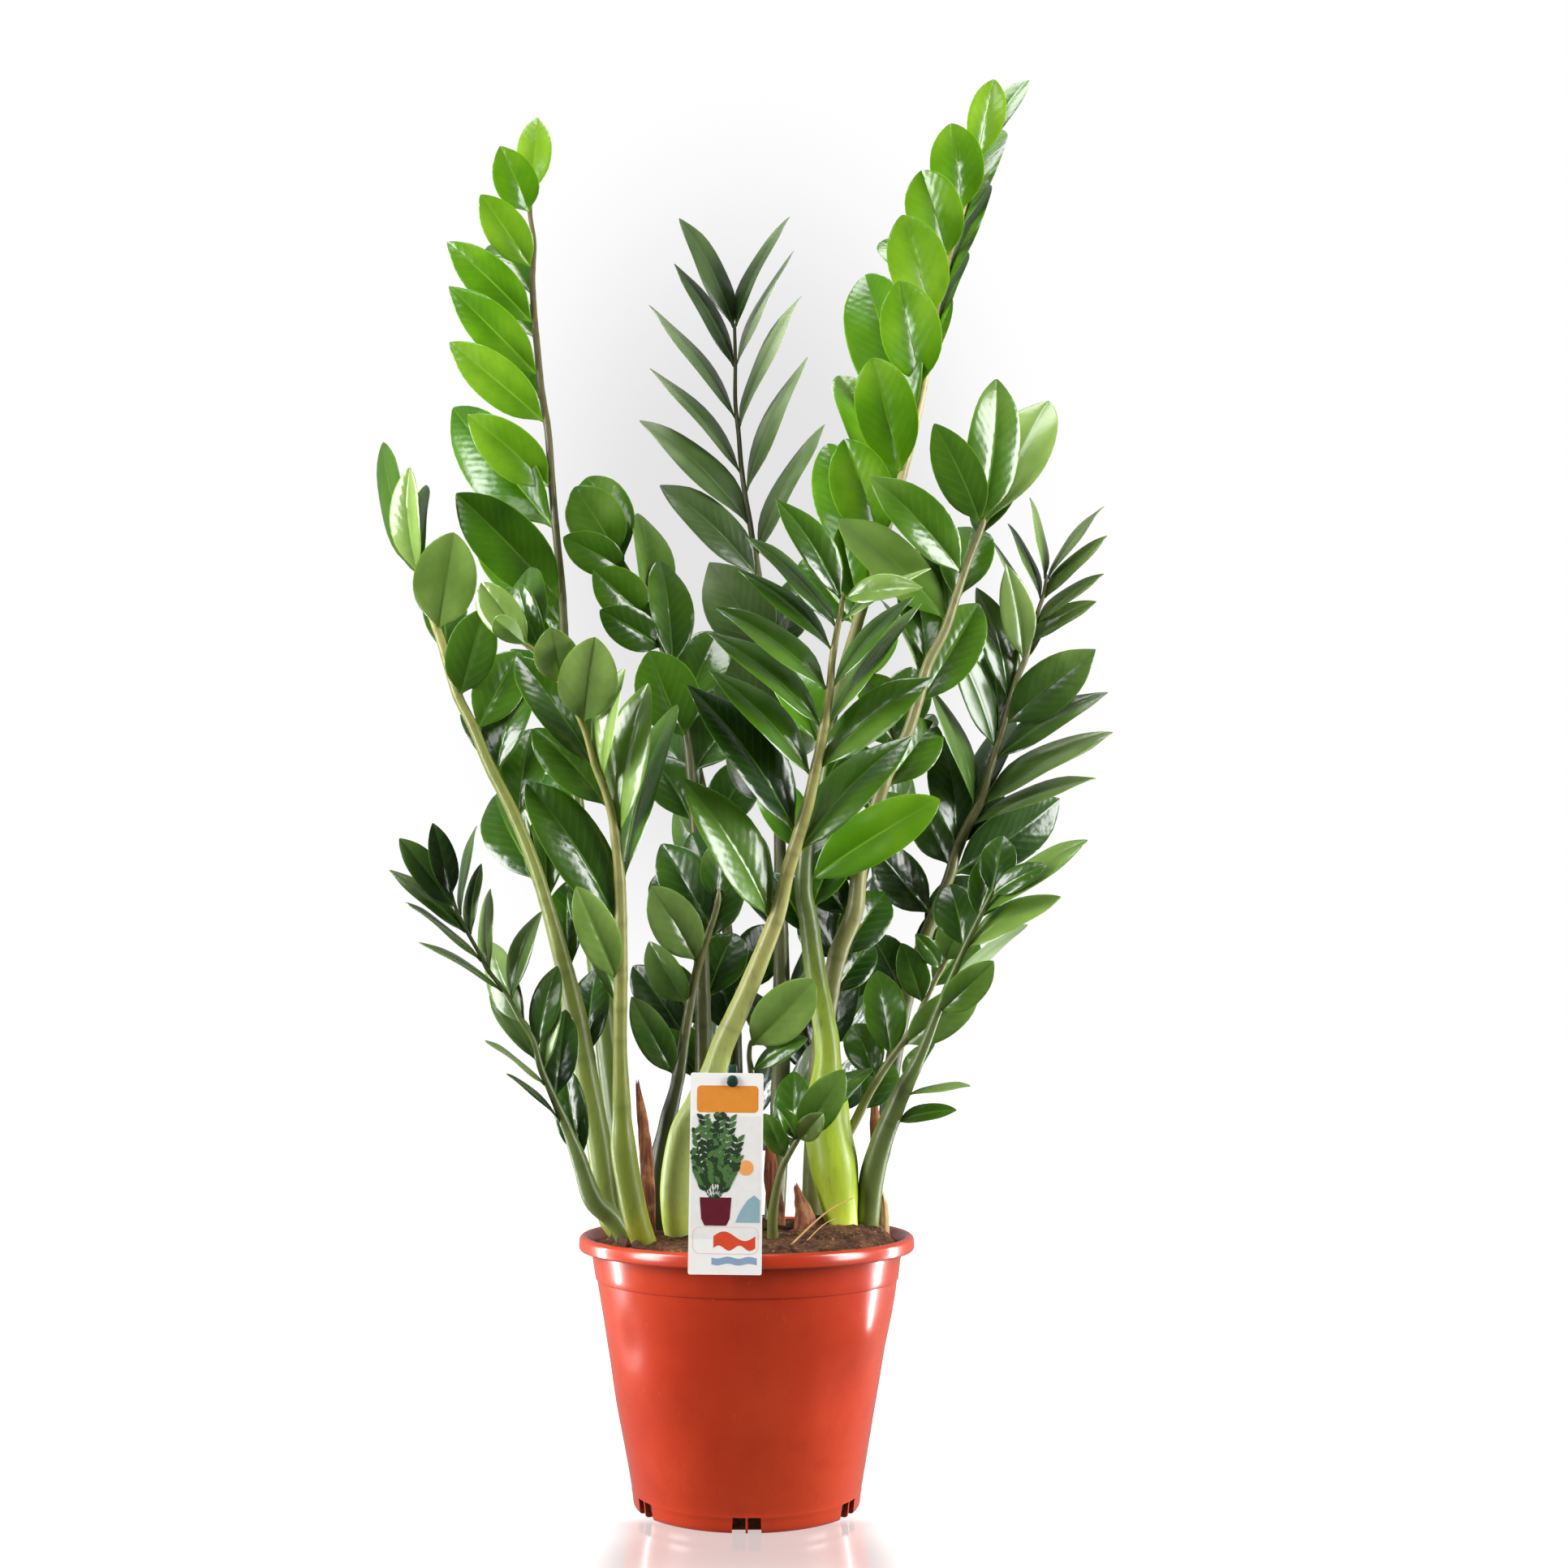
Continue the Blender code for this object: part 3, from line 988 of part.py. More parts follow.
# ---------------------------------------------------------------- tubers -----
# The plant's potato-like tubers lie in the soil under the stalks' feet.
TUBERS = [("tuber_left", (-0.062, -0.004), (0.029, 0.031, 0.026)),
          ("tuber_right", (0.060, 0.004), (0.028, 0.031, 0.026)),
          ("tuber_rear", (0.014, 0.062), (0.030, 0.026, 0.026))]
TUBER_Z = 0.1220


def tuber_mesh(xy, size, grow):
    bm = bmesh.new()
    bmesh.ops.create_uvsphere(bm, u_segments=12, v_segments=7, radius=1.0)
    for v in bm.verts:
        d = v.co.copy()
        k = 1.0 + 0.05 * math.sin(3 * d.x + 2 * d.y) + 0.04 * math.sin(4 * d.z + 1.3)
        v.co = Vector((xy[0] + d.x * (size[0] * k + grow), xy[1] + d.y * (size[1] * k + grow), TUBER_Z + d.z * (size[2] * k + grow)))
    return bm


tubers = [add(nm, tuber_mesh(xy, size, 0.0), (0.42, 0.27, 0.13), 0.7) for nm, xy, size in TUBERS]

# ------------------------------------------------------------------ soil -----
prof = [(wall_radius(FLOOR) - WALL - GAP, FLOOR + GAP)]
for z in (0.078, POT_HEIGHT - STEP_DROP):
    prof.append((wall_radius(z) - WALL - GAP * 1.5, z))
prof.append((WALL_TOP_RADIUS - WALL - GAP * 1.6, POT_HEIGHT - LIP_HEIGHT - 0.001))
prof.append((0.1088, soil_height(0.1088)))
for r in (0.090, 0.060):
    prof.append((r, soil_height(r)))
soil = add("soil", revolve(prof, SOIL_SIDES, (FLOOR + GAP, soil_height(0.0))), (0.075, 0.040, 0.022), 0.95)


soil_cutters = bpy.data.collections.new("soil_cutters")
bpy.context.scene.collection.children.link(soil_cutters)


def soil_cutter(name, bm):
    ob = add(name, bm, (1, 1, 1), 0.5, smooth=False)
    bpy.context.scene.collection.objects.unlink(ob)
    soil_cutters.objects.link(ob)
    hide_cutter(ob)


def feet_mesh(stalk):
    """Clearance hole for a stalk's foot; over a tuber it opens into its bed."""
    bm = bmesh.new()
    foot = stalk.point(0.0)
    below = GAP
    for nm, xy, size in TUBERS:
        if math.hypot((foot.x - xy[0]) / size[0], (foot.y - xy[1]) / size[1]) < 0.55:
            below = 0.010
    ref = Vector((0, 1, 0))
    rings = []
    for s in foot_stations(stalk):
        c, t = stalk.point(s), stalk.tangent(s)
        r = stalk.radius(s) + GAP / math.cos(math.pi / SIDES)
        x = (ref - t * ref.dot(t)).normalized()
        y = t.cross(x)
        ref = x
        if s == 0.0:
            c = c - t * GAP
        ring = [c + (x * math.cos(a) + y * math.sin(a)) * r for a in (2 * math.pi * i / SIDES for i in range(SIDES))]
        if s == 0.0 and below > GAP:
            rings.append([bm.verts.new(v - t * below) for v in ring])
        rings.append([bm.verts.new(v) for v in ring])
    for a, b in zip(rings, rings[1:]):
        for i in range(SIDES):
            j = (i + 1) % SIDES
            bm.faces.new((a[i], a[j], b[j], b[i]))
    bm.faces.new(list(reversed(rings[0])))
    bm.faces.new(rings[-1])
    bmesh.ops.recalc_face_normals(bm, faces=bm.faces[:])
    return bm


for spec, st, leaves in fronds:
    soil_cutter("cut_foot_" + spec["name"], feet_mesh(st))
for nm, xy, size in TUBERS:
    soil_cutter("cut_" + nm, tuber_mesh(xy, size, GAP * 1.5))


def slot_mesh(vs, reach):
    """Upright clearance slot round the lower end of a thin piece."""
    low = min(v.z for v in vs)
    near = [v for v in vs if v.z < low + reach]
    bm = bmesh.new()
    box_into(bm, ((min(v.x for v in near) + max(v.x for v in near)) / 2, (min(v.y for v in near) + max(v.y for v in near)) / 2, low + reach / 2 - GAP / 2),
             (max(v.x for v in near) - min(v.x for v in near) + 2 * GAP, max(v.y for v in near) - min(v.y for v in near) + 2 * GAP, reach + GAP), 0.0)
    bmesh.ops.recalc_face_normals(bm, faces=bm.faces[:])
    return bm


def section(ob, z):
    """Points where the edges of a mesh cross the height z, and those below it."""
    pts = [v.co.copy() for v in ob.data.vertices if v.co.z < z]
    for e in ob.data.edges:
        a, b = (ob.data.vertices[i].co for i in e.vertices)
        if (a.z < z) != (b.z < z):
            pts.append(a.lerp(b, (z - a.z) / (b.z - a.z)))
    return pts


for ob in sheaths + [stake]:
    pts = section(ob, POT_HEIGHT + 0.004)
    low = min(v.z for v in pts)
    soil_cutter("cut_" + ob.name, slot_mesh(pts, POT_HEIGHT + 0.004 - low + 0.0001))

m = soil.modifiers.new("beds", "BOOLEAN")
m.operation = "DIFFERENCE"
m.solver = "EXACT"
m.operand_type = "COLLECTION"
m.collection = soil_cutters

total = 0
deps = bpy.context.evaluated_depsgraph_get()
for ob in bpy.context.scene.objects:
    if ob.type == "MESH" and not ob.hide_render:
        me = ob.evaluated_get(deps).data
        me.calc_loop_triangles()
        total += len(me.loop_triangles)
        print("%-24s %6d triangles" % (ob.name, len(me.loop_triangles)))
print("total", total)
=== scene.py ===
import math

import bmesh
import bpy
import numpy as np
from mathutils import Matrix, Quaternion, Vector, noise
from mathutils.bvhtree import BVHTree


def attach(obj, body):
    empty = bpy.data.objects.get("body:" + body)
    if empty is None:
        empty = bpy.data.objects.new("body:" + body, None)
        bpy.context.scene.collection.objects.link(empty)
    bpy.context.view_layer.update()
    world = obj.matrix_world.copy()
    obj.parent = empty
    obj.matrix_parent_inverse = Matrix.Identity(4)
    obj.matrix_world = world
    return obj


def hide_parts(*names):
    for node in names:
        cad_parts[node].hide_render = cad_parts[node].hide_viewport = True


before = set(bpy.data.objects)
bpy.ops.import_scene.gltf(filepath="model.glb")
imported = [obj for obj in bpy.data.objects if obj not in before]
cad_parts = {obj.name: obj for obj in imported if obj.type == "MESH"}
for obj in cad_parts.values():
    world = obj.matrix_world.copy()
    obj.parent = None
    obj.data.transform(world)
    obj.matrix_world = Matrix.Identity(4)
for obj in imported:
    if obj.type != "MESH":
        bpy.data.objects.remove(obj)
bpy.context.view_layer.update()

# ------------------------------------------------------ shared dimensions ----
POT_HEIGHT = 0.1845        # underside to the top of the rim
RIM_RADIUS = 0.1200        # outside of the rolled rim: a 24 cm pot
LIP_HEIGHT = 0.0105        # height of the rolled rim
WALL_TOP_RADIUS = 0.1112   # wall just under the rim
STEP_DROP = 0.0300         # the moulded step line lies this far below the rim
STEP_DEPTH = 0.0009        # how far the wall steps in there
BASE_RADIUS = 0.0794       # outside of the foot
WALL = 0.0018              # moulded wall thickness
FLOOR = 0.0024             # moulded floor thickness
NOTCH_COUNT = 6            # drainage notches round the foot
NOTCH_WIDTH = 0.0200
NOTCH_HEIGHT = 0.0105
NOTCH_INWARD = 0.0100      # how far a notch cuts into the floor
NOTCH_RIB = 0.0016         # rib left standing in the middle of a notch
SOIL_EDGE_DROP = 0.0062    # soil below the rim's top at the wall
SOIL_CROWN = 0.0070        # how much the soil is heaped in the middle
CARD_WIDTH = 0.0478
CARD_HEIGHT = 0.1290
CARD_THICK = 0.0010
CARD_HOLE = 0.0032         # radius of the hole in the card
PEG_RADIUS = 0.0026        # peg through it
STAKE_WIDTH = 0.0070
STAKE_THICK = 0.0030

# ---------------------------------------------------------------- drawing ----
# The plant is laid out on a front elevation drawn in true perspective.  The
# drawing has a grid: G runs right, H runs down, and the pot's axis is G = 920.
# The station the drawing is made from stands on the -Y side of the plant and
# looks slightly up.  A grid point with a depth (world Y) is a point in space.
STATION = (0.0, -1.286, 0.331)     # metres
STATION_TILT = math.radians(7.955) # looking up
GRID_PER_RAY = 2146.67             # grid units per unit of slope
GRID_G0, GRID_H0 = 920.0, 966.0    # grid point straight ahead

_CT, _ST = math.cos(STATION_TILT), math.sin(STATION_TILT)


def at(g, h, depth):
    """The point at grid (g, h) whose world Y is depth (metres)."""
    dx = (g - GRID_G0) / GRID_PER_RAY
    dz = (GRID_H0 - h) / GRID_PER_RAY
    ray = Vector((dx, _CT - dz * _ST, _ST + dz * _CT))
    t = (depth - STATION[1]) / ray.y
    return Vector(STATION) + ray * t


def grid_of(p):
    """Grid coordinates of a point in space."""
    v = p - Vector(STATION)
    fwd = v.y * _CT + v.z * _ST
    up = -v.y * _ST + v.z * _CT
    return (GRID_G0 + GRID_PER_RAY * v.x / fwd,
            GRID_H0 - GRID_PER_RAY * up / fwd)


def unit_at(p):
    """Length in metres of one grid unit at the point p."""
    v = p - Vector(STATION)
    return (v.y * _CT + v.z * _ST) / GRID_PER_RAY


# ----------------------------------------------------------------- fronds ----
# One frond (a compound leaf with its stalk) per entry.
#  path   stalk, foot to tip, on the grid
#  depth  world Y in mm at the foot and at the tip, and the bend's exponent
#  width  (h, width) of the stalk in grid units, foot to tip
#  leaf   (g, h of the joint on the stalk, g, h of the tip, width, dy[, flag])
#         dy: how far the tip lies behind (+) or before (-) the joint, in mm
#         flag: a digit from 0 deep to 9 pale for the blade's colour, partly its own
#         colour and partly painted shade and light (deep where the blade sits in the
#         foliage's shade), and "u" where the pale underside faces the station
FRONDS = [
 dict(name="frond_front_left",
  path=[(779,1545),(777,1500),(769,1422),(766,1364),(764,1282),(765,1193),(765,1141),(764,1090),(760,1044),
        (754,1003),(744,970),(733,943),(718,893),(690,840),(662,805),(640,790)],
  depth=(-62,-150,1.2), width=[(1545,31),(1500,32),(1428,33),(1364,23),(1282,17),(1193,17),(1044,13),(943,9),(790,6)],
  leaf=[(648,796,593,718,40,-8,"8"),(672,815,638,718,35,12,"4"),(646,794,609,762,28,-32,"7u"),(660,804,652,700,26,28,"3"),
        (650,798,587,728,22,12,"9"),(690,842,679,773,60,-34,"7"),(716,890,733,785,68,-36,"7"),(742,962,770,824,50,-24,"9"),
        (758,1030,799,842,48,-14,"7"),(764,1085,834,868,40,14,"3"),(733,945,637,809,60,22,"2"),(750,992,657,898,58,6,"3"),
        (765,1135,649,965,72,-12,"2"),(765,1205,710,1092,40,-26,"7"),(764,1240,700,1100,34,26,"3")]),
 dict(name="frond_front_centre",
  path=[(842,1540),(836,1500),(835,1459),(843,1400),(862,1360),(880,1320),(890,1289),(905,1256),(923,1215),
        (944,1164),(959,1123),(969,1080),(974,1062),(985,1026),(995,993),(1003,957),(1011,919),(1018,881),
        (1023,845),(1025,817),(1031,779),(1036,753),(1039,730)],
  depth=(-34,-150,1.2), width=[(1540,36),(1500,42),(1459,44),(1400,40),(1340,34),(1289,29),(1256,27),(1164,22),(1080,18),(957,14),(845,10),(730,6)],
  leaf=[(1038,738,956,615,42,-8,"3"),(1040,732,1137,724,30,-24,"8"),(1034,765,1147,700,12,-8,"8"),(1033,772,920,662,24,-6,"3"),
        (1028,800,910,703,24,-10,"2"),(1023,850,882,749,34,-10,"4"),(1016,895,871,779,36,-12,"4"),(1004,955,873,826,40,-12,"4"),
        (985,1026,846,844,60,-14,"0"),(955,1132,838,957,62,-30,"5"),(1025,845,1126,735,22,-6,"5"),(1016,895,1135,743,24,0,"6"),
        (1007,945,1149,835,50,-4,"5"),(985,1050,1124,907,54,8,"4")]),
 dict(name="frond_left",
  path=[(748,1530),(746,1500),(745,1468),(738,1410),(724,1338),(710,1257),(692,1180),(670,1102),(652,1049),
        (629,995),(603,944),(583,896),(565,860),(555,830),(542,786),(530,755),(521,725),(511,702)],
  depth=(-12,10,1.0), width=[(1530,29),(1468,31),(1410,31),(1338,31),(1272,30),(1193,22),(1115,17),(995,15),(896,13),(786,11),(702,6)],
  leaf=[(514,706,472,545,30,6,"3"),(512,703,505,576,40,-30,"8"),(516,712,524,598,28,36,"3"),(538,776,559,656,70,-40,"7"),
        (565,858,597,750,56,-30,"3"),(585,900,640,803,56,14,"4"),(608,952,650,830,58,26,"2"),(635,1008,655,898,56,40,"2"),
        (672,1108,676,1000,48,36,"3"),(700,1196,702,1084,42,34,"1"),(660,1086,610,980,54,60,"2"),(606,960,572,880,36,50,"2"),
        (548,806,548,716,50,48,"3"),(722,1302,736,1194,44,46,"0")]),
 dict(name="frond_left_tall",
  path=[(775,1520),(772,1490),(762,1400),(750,1300),(738,1200),(722,1080),(706,930),(698,830),(694,755),
        (692,722),(687,674),(683,633),(679,582),(675,531),(667,480),(662,430),(658,386),(656,340),
        (658,300),(653,262),(655,232)],
  depth=(40,120,1.1), width=[(1520,28),(1400,30),(1300,30),(1200,26),(1080,18),(930,13),(755,10),(531,9),(386,8),(232,5)],
  leaf=[(655,236,662,145,41,12,"7"),(655,262,616,180,62,-34,"4"),(656,330,592,240,50,-36,"6"),(658,398,551,298,54,-26,"5"),
        (664,462,553,353,54,-26,"5"),(670,520,554,422,55,-26,"6"),(678,600,576,511,60,-30,"5"),(691,738,562,608,76,-30,"2"),
        (684,648,558,503,84,42,"2"),(657,360,604,302,46,56,"2"),(660,414,604,376,40,60,"2"),(668,490,594,430,46,56,"2"),
        (694,770,590,668,60,52,"2"),(696,800,640,718,56,44,"1"),(700,880,630,800,56,40,"1"),(708,960,790,890,58,50,"2"),
        (716,1030,650,960,56,50,"0")]),
 dict(name="frond_left_rear",
  path=[(872,1500),(868,1400),(866,1250),(862,1100),(852,960),(845,905),(831,840),(815,795),(800,762),
        (783,722),(765,690),(752,668)],
  depth=(35,75,1.0), width=[(1500,26),(1300,22),(1100,16),(905,11),(668,6)],
  leaf=[(760,688,708,600,62,-20,"4"),(764,692,724,588,66,14,"4"),(772,704,694,662,44,-30,"3"),(795,762,787,633,60,16,"5"),
        (800,762,731,702,52,-34,"3"),(816,797,739,752,44,-42,"2"),(826,822,813,690,54,30,"3"),(846,908,800,802,68,-28,"3"),
        (840,878,884,780,60,40,"3"),(850,950,910,880,60,38,"1"),(856,1010,800,930,56,30,"2"),(862,1085,915,1010,60,40,"2"),
        (864,1160,812,1075,56,34,"2"),(866,1230,905,1150,56,34,"1"),(866,1262,800,1190,52,30,"1"),(866,1330,816,1262,50,26,"1")]),
 dict(name="frond_left_low",
  path=[(744,1540),(740,1505),(731,1478),(713,1427),(698,1389),(680,1348),(667,1318),(657,1282),(641,1256),
        (624,1225),(601,1195),(593,1179),(573,1143),(560,1115),(556,1097)],
  depth=(-42,-70,1.0), width=[(1540,23),(1478,25),(1427,19),(1389,13),(1348,9),(1250,6),(1097,4)],
  leaf=[(556,1098,533,1014,33,-12,"1"),(561,1116,492,1033,22,-18,"3"),(566,1128,587,1018,11,16,"4"),(578,1152,593,1064,18,14,"6"),
        (575,1148,480,1072,14,-16,"5"),(601,1195,604,1095,20,18,"7"),(595,1184,500,1112,9,-18,"7"),(620,1221,516,1161,9,-20,"6"),
        (628,1232,667,1123,26,18,"5"),(645,1264,606,1161,32,36,"6"),(659,1290,687,1190,36,14,"4"),(682,1353,697,1244,46,24,"1"),
        (674,1335,597,1282,7,-18,"9"),(694,1380,624,1323,14,-22,"1"),(722,1428,696,1310,42,20,"2"),(663,1307,603,1226,12,10,"7"),
        (668,1318,690,1228,26,10,"8")]),
 dict(name="frond_rear_centre",
  path=[(955,1490),(960,1400),(963,1250),(962,1100),(958,950),(950,850),(941,760),(933,697),(928,671),
        (923,638),(918,610),(913,572),(910,533),(906,495),(906,444),(905,398)],
  depth=(62,215,1.1), width=[(1490,26),(1250,22),(1100,16),(850,11),(638,7),(398,4)],
  leaf=[(905,404,837,269,31,-16,"3"),(905,400,973,267,30,-18,"3"),(906,452,831,325,22,-8,"2"),(906,448,978,309,10,12,"9"),
        (908,515,800,376,18,-8,"5"),(909,526,987,365,18,-8,"6"),(914,582,801,454,19,-8,"4"),(918,606,995,440,21,-8,"5"),
        (923,645,788,518,36,-14,"3"),(934,708,813,598,48,-14,"2"),(930,684,1016,523,24,-10,"4"),(956,802,874,693,82,-26,"4"),
        (962,900,884,800,74,-30,"4"),(945,806,1003,700,50,16,"2"),(957,940,1012,850,56,26,"3"),(959,985,900,905,56,34,"1"),
        (962,1080,1016,1000,52,30,"2"),(963,1150,905,1060,54,36,"1"),(962,1230,1010,1150,54,30,"1"),(961,1300,908,1215,54,30,"0"),
        (958,1362,1004,1284,50,10,"1"),(957,1420,915,1350,44,24,"0")]),
 dict(name="frond_right_tall",
  path=[(1038,1545),(1037,1510),(1027,1433),(1019,1377),(1020,1297),(1014,1253),(1005,1202),(997,1139),(990,1088),
        (1000,1000),(1025,880),(1062,750),(1090,660),(1108,599),(1124,540),(1136,484),(1151,400),(1167,328),
        (1186,262),(1206,190)],
  depth=(-18,80,1.3), width=[(1545,32),(1510,40),(1470,54),(1433,61),(1377,57),(1330,42),(1297,32),(1202,27),(1088,22),(880,16),(660,12),(400,10),(190,6)],
  leaf=[(1206,192,1266,99,32,8,"4"),(1204,196,1225,98,44,-22,"7"),(1186,262,1172,152,70,-32,"5"),(1170,318,1135,210,68,-32,"5"),
        (1153,392,1111,265,70,-32,"6"),(1138,476,1108,346,72,-32,"5"),(1112,585,1075,441,72,-32,"5"),(1094,672,1040,541,74,-34,"4"),
        (1062,750,1035,650,44,-16,"3"),(1126,532,1066,339,86,44,"1"),(1160,360,1085,298,42,48,"1"),(1100,628,1035,463,72,42,"2"),
        (1076,706,1019,547,70,36,"1"),(1182,288,1230,160,54,56,"1"),(1162,366,1213,228,54,60,"1"),(1150,432,1182,308,50,60,"1"),
        (1142,478,1164,368,46,60,"5"),(996,1085,1158,985,34,-14,"5"),(1056,768,988,690,60,24,"1"),(1040,828,1100,760,56,30,"4"),
        (1016,918,960,830,64,36,"3"),(1002,985,1056,905,56,34,"2"),(994,1050,946,965,56,36,"2"),(992,1120,1040,1040,52,34,"1"),
        (998,1150,950,1075,50,34,"0")]),
 dict(name="frond_right_mid",
  path=[(1000,1490),(1004,1400),(1012,1290),(1030,1184),(1053,1123),(1061,1062),(1091,960),(1118,904),(1132,860),
        (1143,819),(1164,778),(1178,736),(1191,697),(1209,651),(1213,637)],
  depth=(34,-10,1.0), width=[(1490,26),(1290,26),(1123,22),(1062,20),(960,16),(819,13),(637,8)],
  leaf=[(1211,645,1151,522,52,-24,"4"),(1213,640,1228,467,50,-4,"5"),(1212,638,1292,494,26,6,"8"),(1205,662,1250,585,38,44,"3"),
        (1186,706,1072,588,54,-18,"5"),(1178,738,1198,650,60,46,"2"),(1170,762,1145,655,56,46,"2"),(1146,815,1118,700,46,26,"2"),
        (1150,870,1206,744,64,30,"4"),(1110,920,1062,830,56,34,"3"),(1088,968,1150,890,58,36,"3"),(1064,1050,1112,980,54,30,"2"),
        (1050,1130,990,1060,50,38,"1"),(1034,1178,1090,1100,54,42,"1"),(1170,764,1033,640,30,20,"6"),(1140,832,1084,738,32,26,"6"),
        (1024,1225,1072,1160,46,40,"0"),(1080,1000,1030,930,50,36,"2")]),
 dict(name="frond_right_narrow",
  path=[(1078,1500),(1086,1420),(1102,1300),(1128,1190),(1169,1082),(1175,1061),(1189,1024),(1205,994),(1212,975),
        (1221,943),(1233,906),(1242,874),(1253,837),(1264,810),(1272,778),(1280,750),(1286,732),(1290,707)],
  depth=(48,55,1.0), width=[(1500,24),(1300,20),(1082,14),(975,11),(837,8),(707,4)],
  leaf=[(1289,712,1269,613,11,6,"8"),(1290,710,1360,624,11,6,"8"),(1284,738,1242,645,12,8,"6"),(1285,736,1364,660,20,-8,"8"),
        (1278,768,1360,707,18,-10,"8"),(1270,790,1351,741,28,-12,"7"),(1250,893,1350,800,60,-20,"4"),(1262,815,1294,750,13,20,"6"),
        (1248,942,1365,853,32,-14,"4"),(1232,1000,1371,902,32,-14,"6"),(1222,1030,1350,959,22,-20,"6"),(1205,1085,1306,984,74,14,"2"),
        (1276,768,1219,663,9,10,"8"),(1262,812,1240,695,18,14,"8"),(1246,862,1203,724,40,16,"5"),(1234,904,1219,798,44,30,"2"),
        (1229,920,1170,784,16,-14,"5"),(1206,996,1145,847,22,-10,"5"),(1200,1046,1158,905,64,26,"2"),(1222,1006,1250,884,40,34,"1"),
        (1158,1130,1076,1042,58,34,"1"),(1140,1160,1200,1080,54,36,"1"),(1120,1230,1072,1150,54,30,"1"),(1186,1040,1226,960,50,34,"1"),
        (1176,1066,1130,990,50,34,"2"),(1130,1190,1180,1120,50,34,"1")]),
 dict(name="frond_right_low_thin",
  path=[(1035,1500),(1036,1440),(1042,1405),(1054,1381),(1074,1342),(1097,1306),(1123,1270),(1136,1242),(1152,1208),
        (1162,1190),(1172,1167)],
  depth=(18,-28,1.0), width=[(1500,14),(1400,12),(1300,9),(1167,6)],
  leaf=[(1168,1184,1194,1120,48,-20,"5"),(1160,1193,1128,1151,22,-22,"2"),(1140,1236,1111,1162,36,-18,"2"),(1100,1302,1081,1196,48,18,"2"),
        (1120,1290,1206,1220,46,-20,"5"),(1148,1216,1200,1150,46,30,"1"),(1080,1330,1052,1262,44,26,"1"),(1060,1368,1100,1310,40,24,"1")]),
 dict(name="frond_right_low",
  path=[(1066,1540),(1068,1508),(1074,1452),(1086,1407),(1100,1372),(1113,1342),(1125,1319),(1136,1296),(1162,1230),
        (1190,1165),(1225,1095)],
  depth=(0,-85,1.0), width=[(1540,27),(1508,30),(1452,31),(1400,27),(1342,21),(1296,14),(1230,10),(1095,5)],
  leaf=[(1098,1378,1179,1368,20,-12,"3"),(1112,1345,1196,1338,9,-16,"7"),(1116,1338,1150,1282,25,22,"3"),(1156,1244,1224,1184,40,-22,"5"),
        (1168,1216,1266,1139,18,-12,"8"),(1190,1166,1307,1105,30,-16,"7"),(1212,1124,1340,1035,30,-14,"6"),(1206,1134,1231,1054,48,22,"2"),
        (1223,1100,1290,1066,30,10,"2"),(1222,1102,1236,1030,40,18,"0"),(1190,1168,1170,1090,52,26,"1")]),
 dict(name="frond_short",
  path=[(812,1530),(812,1490),(814,1440),(822,1385),(835,1331),(846,1261),(860,1190),(882,1123),(886,1095)],
  depth=(6,-30,1.0), width=[(1530,34),(1470,37),(1433,31),(1382,21),(1331,16),(1261,13),(1190,11),(1095,6)],
  leaf=[(860,1184,803,1092,54,-22,"7"),(848,1236,800,1160,46,-14,"5"),(884,1112,890,1036,44,8,"4"),(876,1140,815,1040,56,16,"2"),
        (870,1158,902,1072,50,30,"2"),(884,1108,852,1026,44,28,"1"),(842,1272,780,1190,46,20,"1"),(838,1325,778,1228,36,-10,"4")]),
 dict(name="frond_seedling",
  path=[(952,1540),(952,1500),(956,1470),(964,1438),(978,1412),(988,1396)],
  depth=(-52,-92,1.0), width=[(1540,14),(1500,13),(1438,9),(1396,6)],
  leaf=[(988,1397,1040,1318,44,-14,"4"),(984,1402,1014,1372,28,-22,"7"),(982,1405,958,1366,24,-18,"3"),(970,1428,941,1372,28,-8,"4"),
        (976,1416,978,1320,44,16,"1"),(986,1400,1074,1316,46,40,"0")]),
 dict(name="frond_thin",
  path=[(930,1490),(930,1440),(928,1380),(926,1325),(923,1302),(925,1281)],
  depth=(-10,-60,1.0), width=[(1490,10),(1325,8),(1281,5)],
  leaf=[(924,1284,1003,1207,62,-24,"7"),(926,1318,995,1279,28,-16,"3")]),
 dict(name="frond_rear_left",
  path=[(905,1490),(906,1400),(905,1280),(896,1150),(880,1040),(862,950),(846,880)],
  depth=(84,200,1.1), width=[(1490,22),(1280,18),(1040,11),(880,6)],
  leaf=[(848,890,842,800,56,20,"2"),(852,905,800,838,56,-10,"2"),(858,930,896,850,56,24,"0"),(868,975,816,900,56,30,"2"),
        (876,1018,926,940,56,20,"3"),(884,1062,834,990,56,30,"3"),(892,1110,938,1030,56,20,"5"),(898,1160,846,1085,56,26,"1"),
        (903,1220,950,1140,56,16,"1"),(905,1276,884,1186,56,-20,"0"),(906,1330,858,1256,56,20,"1"),(906,1375,950,1305,50,20,"0"),
        (905,1400,862,1340,46,24,"0")]),
 dict(name="frond_rear_right",
  path=[(1012,1490),(1014,1400),(1022,1290),(1040,1180),(1066,1070),(1092,980),(1112,900)],
  depth=(80,185,1.1), width=[(1490,22),(1290,18),(1070,11),(900,6)],
  leaf=[(1110,908,1124,822,56,20,"4"),(1107,920,1066,850,56,-6,"4"),(1100,950,1150,880,56,24,"3"),(1088,992,1040,920,56,30,"3"),
        (1074,1042,1124,960,56,24,"3"),(1062,1088,1012,1010,56,24,"3"),(1050,1136,1102,1060,56,24,"2"),(1040,1182,992,1110,56,24,"2"),
        (1030,1240,1062,1160,56,-16,"0"),(1024,1282,1076,1210,56,10,"0"),(1019,1320,974,1246,56,20,"1"),(1026,1300,1050,1156,48,6,"0"),
